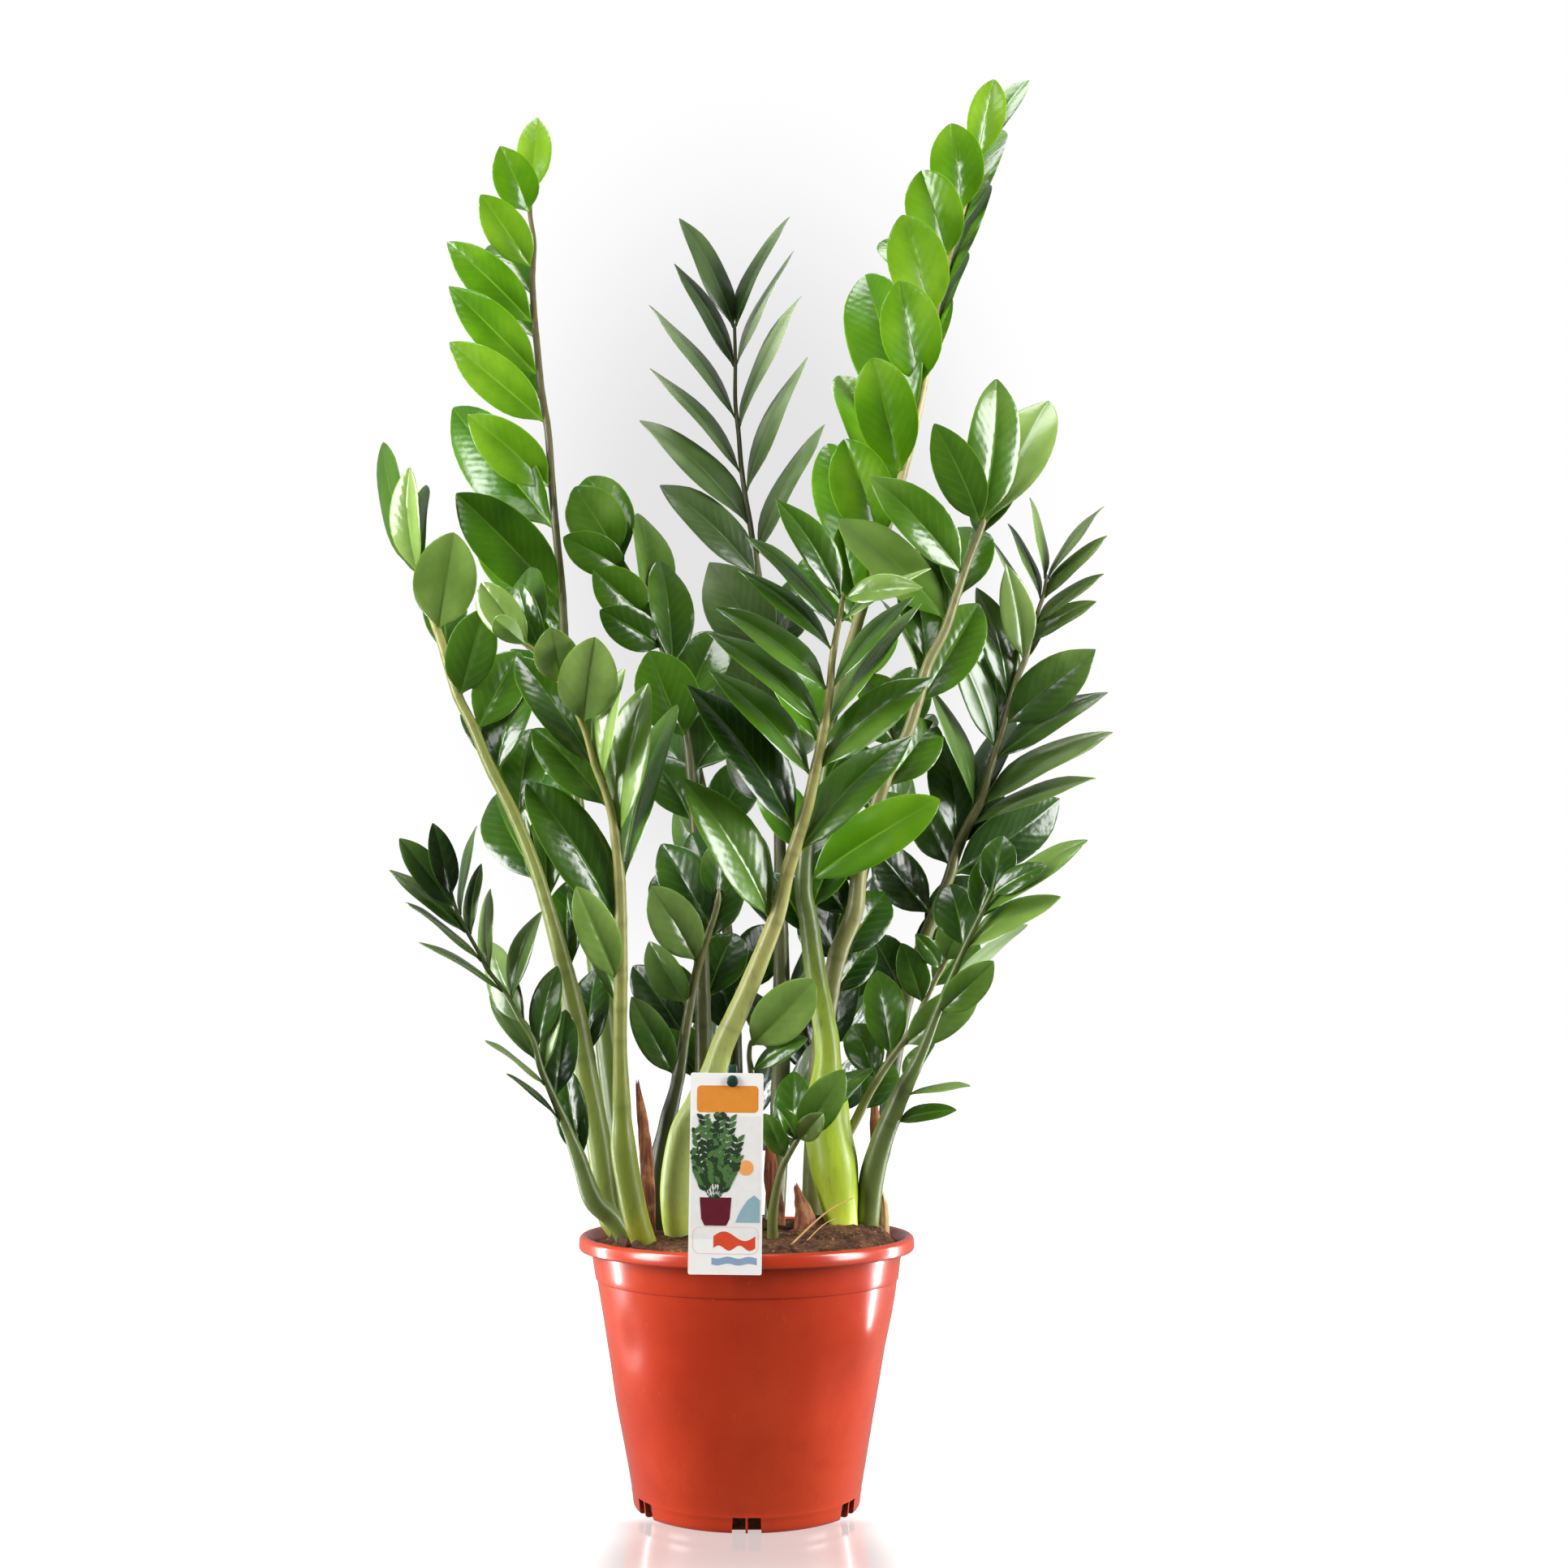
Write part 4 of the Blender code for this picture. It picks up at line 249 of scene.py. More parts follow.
        (1015,1370,1062,1300,46,10,"0")]),
]

BLADE_RATIO = 0.36      # true width over length of a leaflet, at the least
BLADE_THICK = 0.0013    # thickness of a leaflet, metres
SOIL_FLOOR = 0.150      # the stalks' feet end at this height, in the soil
RIM_TOP = 0.1845        # height of the pot's rim
MOUTH_RADIUS = 0.1070   # a stalk passes the pot's mouth inside this radius
FOOT_RADIUS_MAX = 0.096 # a stalk's foot stays this close to the pot's axis


def _interp(table, x):
    """Piecewise linear look-up in a table of (x, y) with x falling."""
    if x >= table[0][0]:
        return table[0][1]
    for (xa, ya), (xb, yb) in zip(table, table[1:]):
        if x >= xb:
            return ya + (yb - ya) * (x - xa) / (xb - xa)
    return table[-1][1]


def _catmull(pts, n):
    """Smooth curve through the points, n steps per span."""
    out = []
    for i in range(len(pts) - 1):
        p0 = pts[max(i - 1, 0)]
        p1, p2 = pts[i], pts[i + 1]
        p3 = pts[min(i + 2, len(pts) - 1)]
        for k in range(n):
            t = k / n
            out.append(0.5 * ((2 * p1) + (p2 - p0) * t + (2 * p0 - 5 * p1 + 4 * p2 - p3) * t * t
                              + (3 * p1 - p0 - 3 * p2 + p3) * t * t * t))
    out.append(pts[-1].copy())
    return out


class Stalk:
    """Centre line of a stalk with its radius, by arc length."""

    def __init__(self, spec):
        path = spec["path"]
        d0, d1, ex = spec["depth"]
        run = [0.0]
        for a, b in zip(path, path[1:]):
            run.append(run[-1] + math.hypot(b[0] - a[0], b[1] - a[1]))
        pts, wid = [], []
        for (g, h), r in zip(path, run):
            f = (r / run[-1]) ** ex
            p = at(g, h, (d0 + (d1 - d0) * f) / 1000.0)
            pts.append(p)
            wid.append(_interp(spec["width"], h) * unit_at(p) * 0.5)
        # a stalk stands inside the pot's wall
        for i, q in enumerate(pts):
            if q.z < RIM_TOP + 0.022:
                lim = MOUTH_RADIUS - wid[i]
                rad = math.hypot(q.x, q.y)
                if rad > lim:
                    q.x *= lim / rad
                    q.y *= lim / rad
        # the foot: keep it in the pot and carry it down into the soil
        foot = pts[0].copy()
        rad = math.hypot(foot.x, foot.y)
        lim = FOOT_RADIUS_MAX - wid[0]
        if rad > lim:
            foot.x *= lim / rad
            foot.y *= lim / rad
        d = (pts[1] - pts[0]).normalized()
        down = Vector((foot.x * 0.93, foot.y * 0.93, SOIL_FLOOR))
        pts[0] = foot
        if foot.z > SOIL_FLOOR + 0.012:
            pts.insert(0, down)
            wid.insert(0, wid[0] * 0.86)
        else:
            pts[0].z = SOIL_FLOOR
        # keep only rising points near the foot
        keep = [0]
        for i in range(1, len(pts)):
            if pts[i].z > pts[keep[-1]].z + 0.006 or i > 4:
                keep.append(i)
        pts = [pts[i] for i in keep]
        wid = [wid[i] for i in keep]
        n = 8
        self.p = _catmull(pts, n)
        self.r = []
        for i in range(len(pts) - 1):
            for k in range(n):
                t = k / n
                t = t * t * (3 - 2 * t)
                self.r.append(wid[i] + (wid[i + 1] - wid[i]) * t)
        self.r.append(wid[-1])
        self.s = [0.0]
        for a, b in zip(self.p, self.p[1:]):
            self.s.append(self.s[-1] + (b - a).length)
        self.length = self.s[-1]
        self.g = [grid_of(q) for q in self.p]

    def _find(self, s):
        s = min(max(s, 0.0), self.length)
        lo, hi = 0, len(self.s) - 1
        while hi - lo > 1:
            m = (lo + hi) // 2
            if self.s[m] <= s:
                lo = m
            else:
                hi = m
        f = (s - self.s[lo]) / max(self.s[hi] - self.s[lo], 1e-9)
        return lo, hi, f

    def point(self, s):
        a, b, f = self._find(s)
        return self.p[a].lerp(self.p[b], f)

    def radius(self, s):
        a, b, f = self._find(s)
        return self.r[a] + (self.r[b] - self.r[a]) * f

    def tangent(self, s):
        e = 0.004
        return (self.point(s + e) - self.point(s - e)).normalized()

    def nearest(self, g, h):
        best, bs = 1e9, 0.0
        for i in range(len(self.p) - 1):
            (ax, ay), (bx, by) = self.g[i], self.g[i + 1]
            dx, dy = bx - ax, by - ay
            q = dx * dx + dy * dy
            t = 0.0 if q < 1e-9 else min(max(((g - ax) * dx + (h - ay) * dy) / q, 0.0), 1.0)
            d = math.hypot(ax + dx * t - g, ay + dy * t - h)
            if d < best:
                best, bs = d, self.s[i] + (self.s[i + 1] - self.s[i]) * t
        return bs


class Leaflet:
    """One leaflet: a bent centre line, its width and the way its blade faces."""

    def __init__(self, stalk, s, spec, shift=0.0, roll=0.0):
        g, h, gt, ht, w, dy = spec[:6]
        self.under = "u" in spec[6]
        self.s = s
        base = stalk.point(s)
        tip = at(gt, ht, base.y + dy / 1000.0 + shift)
        tan = stalk.tangent(s)
        d = tip - base
        out = (d - tan * d.dot(tan))
        out = out.normalized() if out.length > 1e-6 else Vector((0, -1, 0))
        self.out = out
        base = base + out * stalk.radius(s) * 0.8
        self.base, self.tip = base, tip
        a = tip - base
        self.length = a.length
        a.normalize()
        mid = (base + tip) * 0.5
        view = (mid - Vector(STATION)).normalized()
        side = a.cross(view)
        side = side.normalized() if side.length > 1e-6 else Vector((1, 0, 0))
        back = a.cross(side).normalized()
        seen = w * unit_at(mid)
        true = max(seen, BLADE_RATIO * self.length)
        self.width = min(true, 0.62 * self.length)
        c = min(seen / self.width, 1.0)
        ang = math.acos(max(c, 0.12))
        best = None
        for sg in (1, -1):
            sv = side * math.cos(sg * ang) + back * math.sin(sg * ang)
            nv = a.cross(sv)
            if nv.dot(view) > 0:
                nv = -nv
            score = nv.dot(tan) + 0.3 * nv.z
            if best is None or score > best[0]:
                best = (score, sv, nv)
        sv, nv = best[1], best[2]
        if roll:
            sv = Quaternion(a, roll) @ sv
            nv = Quaternion(a, roll) @ nv
        if self.under:
            nv = -nv
        self.axis, self.side, self.normal = a, sv, nv
        self.face = c
        bow = nv * ((0.05 + 0.09 * c) * self.length) + tan * (0.04 * self.length)
        self.ctrl = (base + tip) * 0.5 + bow - a * (0.02 * self.length)

    def centre(self, t):
        return self.base * (1 - t) ** 2 + self.ctrl * (2 * t * (1 - t)) + self.tip * t * t

    def frame(self, t):
        d = (self.ctrl - self.base) * (2 * (1 - t)) + (self.tip - self.ctrl) * (2 * t)
        d.normalize()
        s = self.side - d * self.side.dot(d)
        s.normalize()
        n = d.cross(s)
        if n.dot(self.normal) < 0:
            n = -n
        return d, s, n


def blade_half(t):
    """Half width of a blade over its greatest half width, t from foot to tip."""
    t = min(max(t, 0.0), 1.0)
    body = math.sin(math.pi * t ** 0.86) ** 0.72 if 0 < t < 1 else 0.0
    return body


def slab(leaf, grow_w, grow_t, t0=0.14):
    """A coarse box along a leaflet, used only to keep leaflets apart."""
    vs, fs = [], []
    stations = (t0, 0.38, 0.68, 1.0)
    for k, t in enumerate(stations):
        c = leaf.centre(t)
        d, s, n = leaf.frame(t)
        hw = leaf.width * 0.5 * max(blade_half(t), 0.1) + grow_w
        ht = grow_t
        for a, b in ((1, 1), (-1, 1), (-1, -1), (1, -1)):
            vs.append(c + s * hw * a + n * ht * b)
        if k:
            q = 4 * (k - 1)
            for i in range(4):
                j = (i + 1) % 4
                fs.append((q + i, q + j, q + 4 + j, q + 4 + i))
    fs.append((3, 2, 1, 0))
    e = 4 * (len(stations) - 1)
    fs.append((e, e + 1, e + 2, e + 3))
    return vs, fs


def rod(stalk, grow, sa=0.0, sb=None, step=0.022, sides=6):
    """A coarse tube round a stalk, used only to keep pieces apart."""
    sb = stalk.length if sb is None else sb
    n = max(int((sb - sa) / step), 2)
    vs, fs = [], []
    for k in range(n + 1):
        s = sa + (sb - sa) * k / n
        c, r, t = stalk.point(s), stalk.radius(s) + grow, stalk.tangent(s)
        x = t.cross(Vector((0, 1, 0))).normalized()
        y = t.cross(x).normalized()
        for i in range(sides):
            a = 2 * math.pi * i / sides
            vs.append(c + (x * math.cos(a) + y * math.sin(a)) * r)
        if k:
            q = sides * (k - 1)
            for i in range(sides):
                j = (i + 1) % sides
                fs.append((q + i, q + j, q + sides + j, q + sides + i))
    return vs, fs


def _box_of(vs):
    return (min(v.x for v in vs), min(v.y for v in vs), min(v.z for v in vs),
            max(v.x for v in vs), max(v.y for v in vs), max(v.z for v in vs))


def _apart(a, b):
    return (a[0] > b[3] or b[0] > a[3] or a[1] > b[4] or b[1] > a[4] or a[2] > b[5] or b[2] > a[5])


class Blocker:
    """A piece that others keep clear of; own is its slimmer form for its own frond."""

    def __init__(self, vs, fs, owner=None, own=None):
        self.box = _box_of(vs)
        self.tree = BVHTree.FromPolygons(vs, fs)
        self.owner = owner
        self.own = BVHTree.FromPolygons(*own) if own else self.tree


def settle(fixed):
    """Place every leaflet clear of every other one.

    fixed: a list of (verts, faces) of pieces that do not move.
    Returns a list of (spec, stalk, [leaflets]).
    """
    blocks = [Blocker(v, f) for v, f in fixed]
    stalks = []
    for spec in FRONDS:
        st = Stalk(spec)
        stalks.append(st)
        v, f = rod(st, 0.0014)
        blocks.append(Blocker(v, f, spec["name"], rod(st, 0.0004)))
    result, stuck = [], []
    for spec, st in zip(FRONDS, stalks):
        leaves = []
        for row in spec["leaf"]:
            s = st.nearest(row[0], row[1])
            s = min(s, st.length - 0.004)
            sign = -1.0 if row[5] < 0 else 1.0
            found = None
            for k in range(0, 15):
                for sgn in ((sign, -sign) if k else (sign,)):
                    for roll in (0.0, 0.25, -0.25, 0.5, -0.5, 0.8, -0.8):
                        lf = Leaflet(st, s, row, shift=sgn * k * 0.006, roll=roll)
                        v, f = slab(lf, 0.0012, 0.0024, 0.06)
                        bx = _box_of(v)
                        tree = slim = None
                        hit = False
                        for b in blocks:
                            if _apart(bx, b.box):
                                continue
                            if b.owner == spec["name"]:
                                if slim is None:
                                    slim = BVHTree.FromPolygons(*slab(lf, 0.0004, 0.0012, 0.22))
                                hit = bool(slim.overlap(b.own))
                            else:
                                if tree is None:
                                    tree = BVHTree.FromPolygons(v, f)
                                hit = bool(tree.overlap(b.tree))
                            if hit:
                                break
                        if not hit:
                            found = lf
                            break
                    if found:
                        break
                if found:
                    break
            if found is None:
                stuck.append((spec["name"], row))
                continue
            v, f = slab(found, 0.0010, 0.0020, 0.06)
            blocks.append(Blocker(v, f, spec["name"], slab(found, 0.0004, 0.0012, 0.22)))
            found.row = row
            leaves.append(found)
        result.append((spec, st, leaves))
    return result, stuck


def wall_radius(z):
    """Outer radius of the pot's wall at height z."""
    zt = POT_HEIGHT - LIP_HEIGHT
    zs = POT_HEIGHT - STEP_DROP
    if z >= zs:
        f = (zt - z) / (zt - zs)
        return WALL_TOP_RADIUS - 0.0032 * f
    rs = WALL_TOP_RADIUS - 0.0032 - STEP_DEPTH
    f = (zs - z) / (zs - 0.010)
    if z >= 0.010:
        return rs + (BASE_RADIUS + 0.0012 - rs) * f
    return BASE_RADIUS + 0.0012 * z / 0.010


# ---------------------------------------------- card, stake and dry sheaths --
def soil_height(r):
    """Height of the soil's surface at radius r."""
    edge = POT_HEIGHT - SOIL_EDGE_DROP
    f = min(r / 0.108, 1.0)
    return edge + SOIL_CROWN * (1 - f ** 2.6)


CARD_Y = -0.1262
card_corners = [at(852, 1328, CARD_Y), at(940, 1328, CARD_Y), at(937, 1566, CARD_Y + 0.0016), at(849, 1563, CARD_Y + 0.0016)]
card_mid = sum(card_corners, Vector()) / 4
card_up = ((card_corners[0] + card_corners[1]) - (card_corners[2] + card_corners[3])).normalized()
card_right = (card_corners[1] - card_corners[0]).normalized()
card_right = (card_right - card_up * card_right.dot(card_up)).normalized()
card_out = card_right.cross(card_up) * 1.0          # towards the station side
if card_out.y > 0:
    card_out = -card_out
card_hole = card_mid + card_up * (CARD_HEIGHT / 2 - 0.0052) + card_right * 0.0035


# (name, (g, h) from the foot to the tip, depth at foot and tip in mm, widths in grid units, colour)
SHEATHS = [
    ("sheath_left", [(800, 1512), (797, 1440), (792, 1385), (785, 1333)], (-22, -18), (16, 17, 15, 4), (0.16, 0.05, 0.02)),
    ("sheath_mid", [(960, 1516), (956, 1490), (951, 1450), (948, 1388)], (-24, -20), (16, 22, 20, 4), (0.22, 0.08, 0.04)),
    ("sheath_scale", [(990, 1520), (992, 1502), (988, 1484), (980, 1460)], (-34, -30), (26, 26, 18, 4), (0.20, 0.08, 0.05)),
    ("sheath_right", [(1082, 1500), (1080, 1440), (1079, 1385), (1076, 1346)], (22, 14), (12, 14, 14, 4), (0.26, 0.11, 0.05)),
    ("sheath_tuft", [(1090, 1512), (1089, 1494), (1088, 1480), (1085, 1466)], (8, 6), (12, 13, 10, 3), (0.62, 0.50, 0.30)),
]


def sheath_line(path, depth, widths):
    """Points and half widths of a dry sheath, from its foot in the soil up."""
    pts = []
    for i, (g, h) in enumerate(path):
        f = i / (len(path) - 1)
        pts.append(at(g, h, (depth[0] + (depth[1] - depth[0]) * f) / 1000))
    foot = pts[0].copy()
    z = soil_height(math.hypot(foot.x, foot.y)) - 0.007
    if foot.z > z:
        foot.z = z
        pts.insert(0, foot)
        widths = (widths[0],) + tuple(widths)
    return [(p, w * unit_at(p) / 2) for p, w in zip(pts, widths)]


def box_between(a, b, side, half_w, face, half_t):
    """Verts and faces of a bar from a to b, used to keep leaflets clear."""
    vs = []
    for p in (a, b):
        for u, v in ((1, 1), (-1, 1), (-1, -1), (1, -1)):
            vs.append(p + side * half_w * u + face * half_t * v)
    fs = [(0, 1, 5, 4), (1, 2, 6, 5), (2, 3, 7, 6), (3, 0, 4, 7), (3, 2, 1, 0), (4, 5, 6, 7)]
    return vs, fs


def fixed_blocks():
    """Card, stake, sheaths and the pot with its soil, as plain bars and a drum."""
    out = []
    half = CARD_HEIGHT / 2 + 0.002
    out.append(box_between(card_mid - card_up * half, card_mid + card_up * half, card_right, CARD_WIDTH / 2 + 0.002, card_out, 0.0050))
    top = card_hole - card_out * 0.0052
    out.append(box_between(Vector((card_hole.x, -0.0985, 0.158)), top + card_up * 0.014, card_right, 0.0055, card_out, 0.0035))
    for nm, path, depth, widths, rgb in SHEATHS:
        line = sheath_line(path, depth, widths)
        for (p, w), (q, w2) in zip(line, line[1:]):
            m = Vector((0, 0.0009, 0))
            out.append(box_between(p + m, q + m, Vector((1, 0, 0)), max(w, w2) + 0.0012, Vector((0, 1, 0)), 0.0022))
    vs, fs = [], []
    n = 32
    ring = ((BASE_RADIUS, 0.0), (RIM_RADIUS + 0.002, POT_HEIGHT - 0.012), (RIM_RADIUS + 0.002, POT_HEIGHT + 0.003), (0.060, POT_HEIGHT + 0.008))
    for k, (r, z) in enumerate(ring):
        for i in range(n):
            vs.append(Vector((r * math.cos(2 * math.pi * i / n), r * math.sin(2 * math.pi * i / n), z)))
        if k:
            q = n * (k - 1)
            for i in range(n):
                w = (i + 1) % n
                fs.append((q + i, q + w, q + n + w, q + n + i))
    fs.append(tuple(range(n - 1, -1, -1)))
    fs.append(tuple(range(3 * n, 4 * n)))
    out.append((vs, fs))
    return out


# =================================================================== scene ===
SCENE = bpy.context.scene
COLL = SCENE.collection
SCENE.view_settings.view_transform = "Standard"
SCENE.view_settings.look = "None"


def srgb(r, g, b):
    def f(c):
        c /= 255.0
        return c / 12.92 if c <= 0.04045 else ((c + 0.055) / 1.055) ** 2.4
    return (f(r), f(g), f(b), 1.0)


def hash01(*k):
    """A steady number from 0 to 1 for a key."""
    x = 0.0
    for i, v in enumerate(k):
        x += math.sin(v * 12.9898 + i * 78.233 + 1.7) * 43758.5453
    return x - math.floor(x)


# ------------------------------------------------------------ node helpers ---
class Net:
    """Short hand for building a material's nodes."""

    def __init__(self, name):
        self.m = bpy.data.materials.new(name)
        self.m.use_nodes = True
        self.t = self.m.node_tree
        self.bsdf = self.t.nodes["Principled BSDF"]

    def node(self, kind, **kw):
        n = self.t.nodes.new(kind)
        for k, v in kw.items():
            setattr(n, k, v)
        return n

    def link(self, a, b):
        self.t.links.new(a, b)

    def put(self, sock, v):
        if hasattr(v, "is_output") or isinstance(v, bpy.types.NodeSocket):
            self.link(v, sock)
        else:
            sock.default_value = v

    def math(self, op, a, b=0.0, c=0.0, clamp=False):
        n = self.node("ShaderNodeMath", operation=op, use_clamp=clamp)
        self.put(n.inputs[0], a)
        self.put(n.inputs[1], b)
        if len(n.inputs) > 2:
            self.put(n.inputs[2], c)
        return n.outputs[0]

    def mix(self, f, a, b, blend="MIX"):
        n = self.node("ShaderNodeMix", data_type="RGBA", blend_type=blend)
        n.clamp_factor = True
        self.put(n.inputs[0], f)
        self.put(n.inputs[6], a)
        self.put(n.inputs[7], b)
        return n.outputs[2]

    def mixf(self, f, a, b):
        n = self.node("ShaderNodeMix", data_type="FLOAT")
        self.put(n.inputs[0], f)
        self.put(n.inputs[2], a)
        self.put(n.inputs[3], b)
        return n.outputs[0]

    def step(self, x, lo, hi, a=0.0, b=1.0):
        """x from lo to hi becomes a to b, smooth."""
        n = self.node("ShaderNodeMapRange", interpolation_type="SMOOTHSTEP")
        n.clamp = True
        self.put(n.inputs[0], x)
        n.inputs[1].default_value = lo
        n.inputs[2].default_value = hi
        n.inputs[3].default_value = a
        n.inputs[4].default_value = b
        return n.outputs[0]

    def attr(self, name):
        n = self.node("ShaderNodeAttribute", attribute_name=name)
        return n

    def split(self, colour):
        n = self.node("ShaderNodeSeparateColor")
        self.link(colour, n.inputs[0])
        return n.outputs[0], n.outputs[1], n.outputs[2]

    def coords(self):
        return self.node("ShaderNodeTexCoord").outputs["Object"]

    def noise(self, vec, scale, detail=3.0, rough=0.55, dist=0.0, out="Fac"):
        n = self.node("ShaderNodeTexNoise")
        self.link(vec, n.inputs["Vector"])
        n.inputs["Scale"].default_value = scale
        n.inputs["Detail"].default_value = detail
        n.inputs["Roughness"].default_value = rough
        n.inputs["Distortion"].default_value = dist
        return n.outputs[out]

    def scale(self, vec, s):
        n = self.node("ShaderNodeMapping")
        self.link(vec, n.inputs[0])
        n.inputs["Scale"].default_value = s
        return n.outputs[0]

    def bump(self, height, dist, strength=1.0, normal=None):
        n = self.node("ShaderNodeBump")
        n.inputs["Strength"].default_value = strength
        n.inputs["Distance"].default_value = dist
        self.link(height, n.inputs["Height"])
        if normal is not None:
            self.link(normal, n.inputs["Normal"])
        self.link(n.outputs[0], self.bsdf.inputs["Normal"])
        return n.outputs[0]

    def color(self, c):
        self.put(self.bsdf.inputs["Base Color"], c)

    def rough(self, r):
        self.put(self.bsdf.inputs["Roughness"], r)


def make_mesh(name, verts, faces, mats, smooth=True, attrs=None, mat_index=None, sharp=None):
    me = bpy.data.meshes.new(name)
    me.from_pydata([tuple(v) for v in verts], [], [tuple(f) for f in faces])
    me.update()
    for m in mats:
        me.materials.append(m)
    if mat_index is not None:
        me.polygons.foreach_set("material_index", np.array(mat_index, np.int32))
    if attrs:
        for key, data in attrs.items():
            a = me.attributes.new(key, "FLOAT_COLOR", "POINT")
            a.data.foreach_set("color", np.array(data, np.float32).ravel())
    if smooth:
        me.shade_smooth()
        if sharp:
            me.set_sharp_from_angle(angle=math.radians(sharp))
    ob = bpy.data.objects.new(name, me)
    COLL.objects.link(ob)
    return ob


def piece(ob, slot, *nodes):
    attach(ob, "root")
    if nodes:
        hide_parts(*nodes)
    return ob


# ----------------------------------------------------------------- leaflets --
# t from foot to tip, half width of a pointed blade, half width of a rounded one
BLADE_SHAPE = ((0.0, 0.055, 0.055), (0.035, 0.12, 0.10), (0.08, 0.30, 0.25), (0.14, 0.56, 0.46), (0.21, 0.77, 0.66), (0.29, 0.915, 0.82),
               (0.38, 0.985, 0.93), (0.46, 1.0, 0.985), (0.55, 0.975, 1.0), (0.64, 0.90, 0.985), (0.73, 0.775, 0.925), (0.81, 0.61, 0.815),
               (0.88, 0.41, 0.655), (0.935, 0.235, 0.46), (0.97, 0.115, 0.285), (0.99, 0.05, 0.13), (1.0, 0.010, 0.015))
COLS = (-1.0, -0.955, -0.78, -0.52, -0.28, -0.09, 0.0, 0.09, 0.28, 0.52, 0.78, 0.955, 1.0)
NC = len(COLS)


def leaflet_arrays(lf, tone_and_shade, rnd, round_tip=0.3, wide=1.0, fold0=0.34):
    """Verts, faces and attributes of one fine leaflet, a closed blade."""
    verts, lc, lv = [], [], []
    hw0 = lf.width * 0.5 * wide
    fold = (fold0 + 0.26 * (rnd - 0.5)) * (0.25 + 0.75 * lf.face)
    rt = min(max(round_tip + 0.3 * (hash01(rnd, 8.8) - 0.5), 0.0), 1.0)
    wave_p = 2.0 * math.pi * hash01(rnd, 3.1)
    wave_a = 0.035 + 0.05 * hash01(rnd, 5.7)
    twist = (hash01(rnd, 9.3) - 0.5) * 0.5 * lf.face
    skew = (hash01(rnd, 2.2) - 0.5) * 0.10
    rows = len(BLADE_SHAPE)
    L = lf.length
    for side in (1, 0):
        for k, (t, f0, f1) in enumerate(BLADE_SHAPE):
            f = f0 + (f1 - f0) * rt
            c = lf.centre(t)
            d, s, n = lf.frame(t)
            if d.cross(s).dot(n) < 0:
                s = -s
            q = Quaternion(d, twist * (t - 0.3))
            s, n = q @ s, q @ n
            hw = hw0 * f
            for j, x in enumerate(COLS):
                if side == 0 and j in (0, NC - 1):
                    continue
                ax = abs(x)
                fade = min(1.0, t / 0.10) * (1.0 - 0.35 * t)
                z = hw * (math.tan(fold) * ax * fade - 0.16 * ax * ax * fade)
                z += hw0 * wave_a * ax * ax * math.sin(wave_p + 7.5 * t + (1.3 if x > 0 else 0.0)) * min(1.0, 4 * t * (1 - t) * 1.6)
                groove = math.exp(-(x * hw / 0.0011) ** 2) * min(1.0, t / 0.05)
                if side == 1:
                    z += -0.00055 * groove * (1.0 - 0.6 * t)
                    if ax < 0.99:
                        z += 0.00030
                else:
                    th = 0.00030 + 0.00065 * math.exp(-(x * hw / 0.0016) ** 2) * (1.0 - 0.7 * t)
                    z -= th
                xx = x + skew * math.sin(math.pi * t) * (1 - ax)
                p = c + s * (hw * xx) + n * z
                verts.append(p)
                lc.append((tone_and_shade, t, ax, float(side)))
                lv.append((t * L * 10.0, x * hw * 10.0 + 0.5, rnd, min(1.0, max(0.0, 1.25 * lf.face - 0.10))))
    faces = []
    top = lambda k, j: k * NC + j
    nb = rows * NC
    def bot(k, j):
        if j in (0, NC - 1):
            return top(k, j)
        return nb + k * (NC - 2) + (j - 1)
    for k in range(rows - 1):
        for j in range(NC - 1):
            faces.append((top(k, j), top(k + 1, j), top(k + 1, j + 1), top(k, j + 1)))
            faces.append((bot(k, j), bot(k, j + 1), bot(k + 1, j + 1), bot(k + 1, j)))
    for k, rev in ((0, True), (rows - 1, False)):
        for j in range(NC - 1):
            a, b = top(k, j), top(k, j + 1)
            c2, d2 = bot(k, j + 1), bot(k, j)
            ids = [a]
            for q in (d2, c2, b):
                if q not in ids:
                    ids.append(q)
            if len(ids) > 2:
                faces.append(tuple(reversed(ids)) if rev else tuple(ids))
    return verts, faces, lc, lv


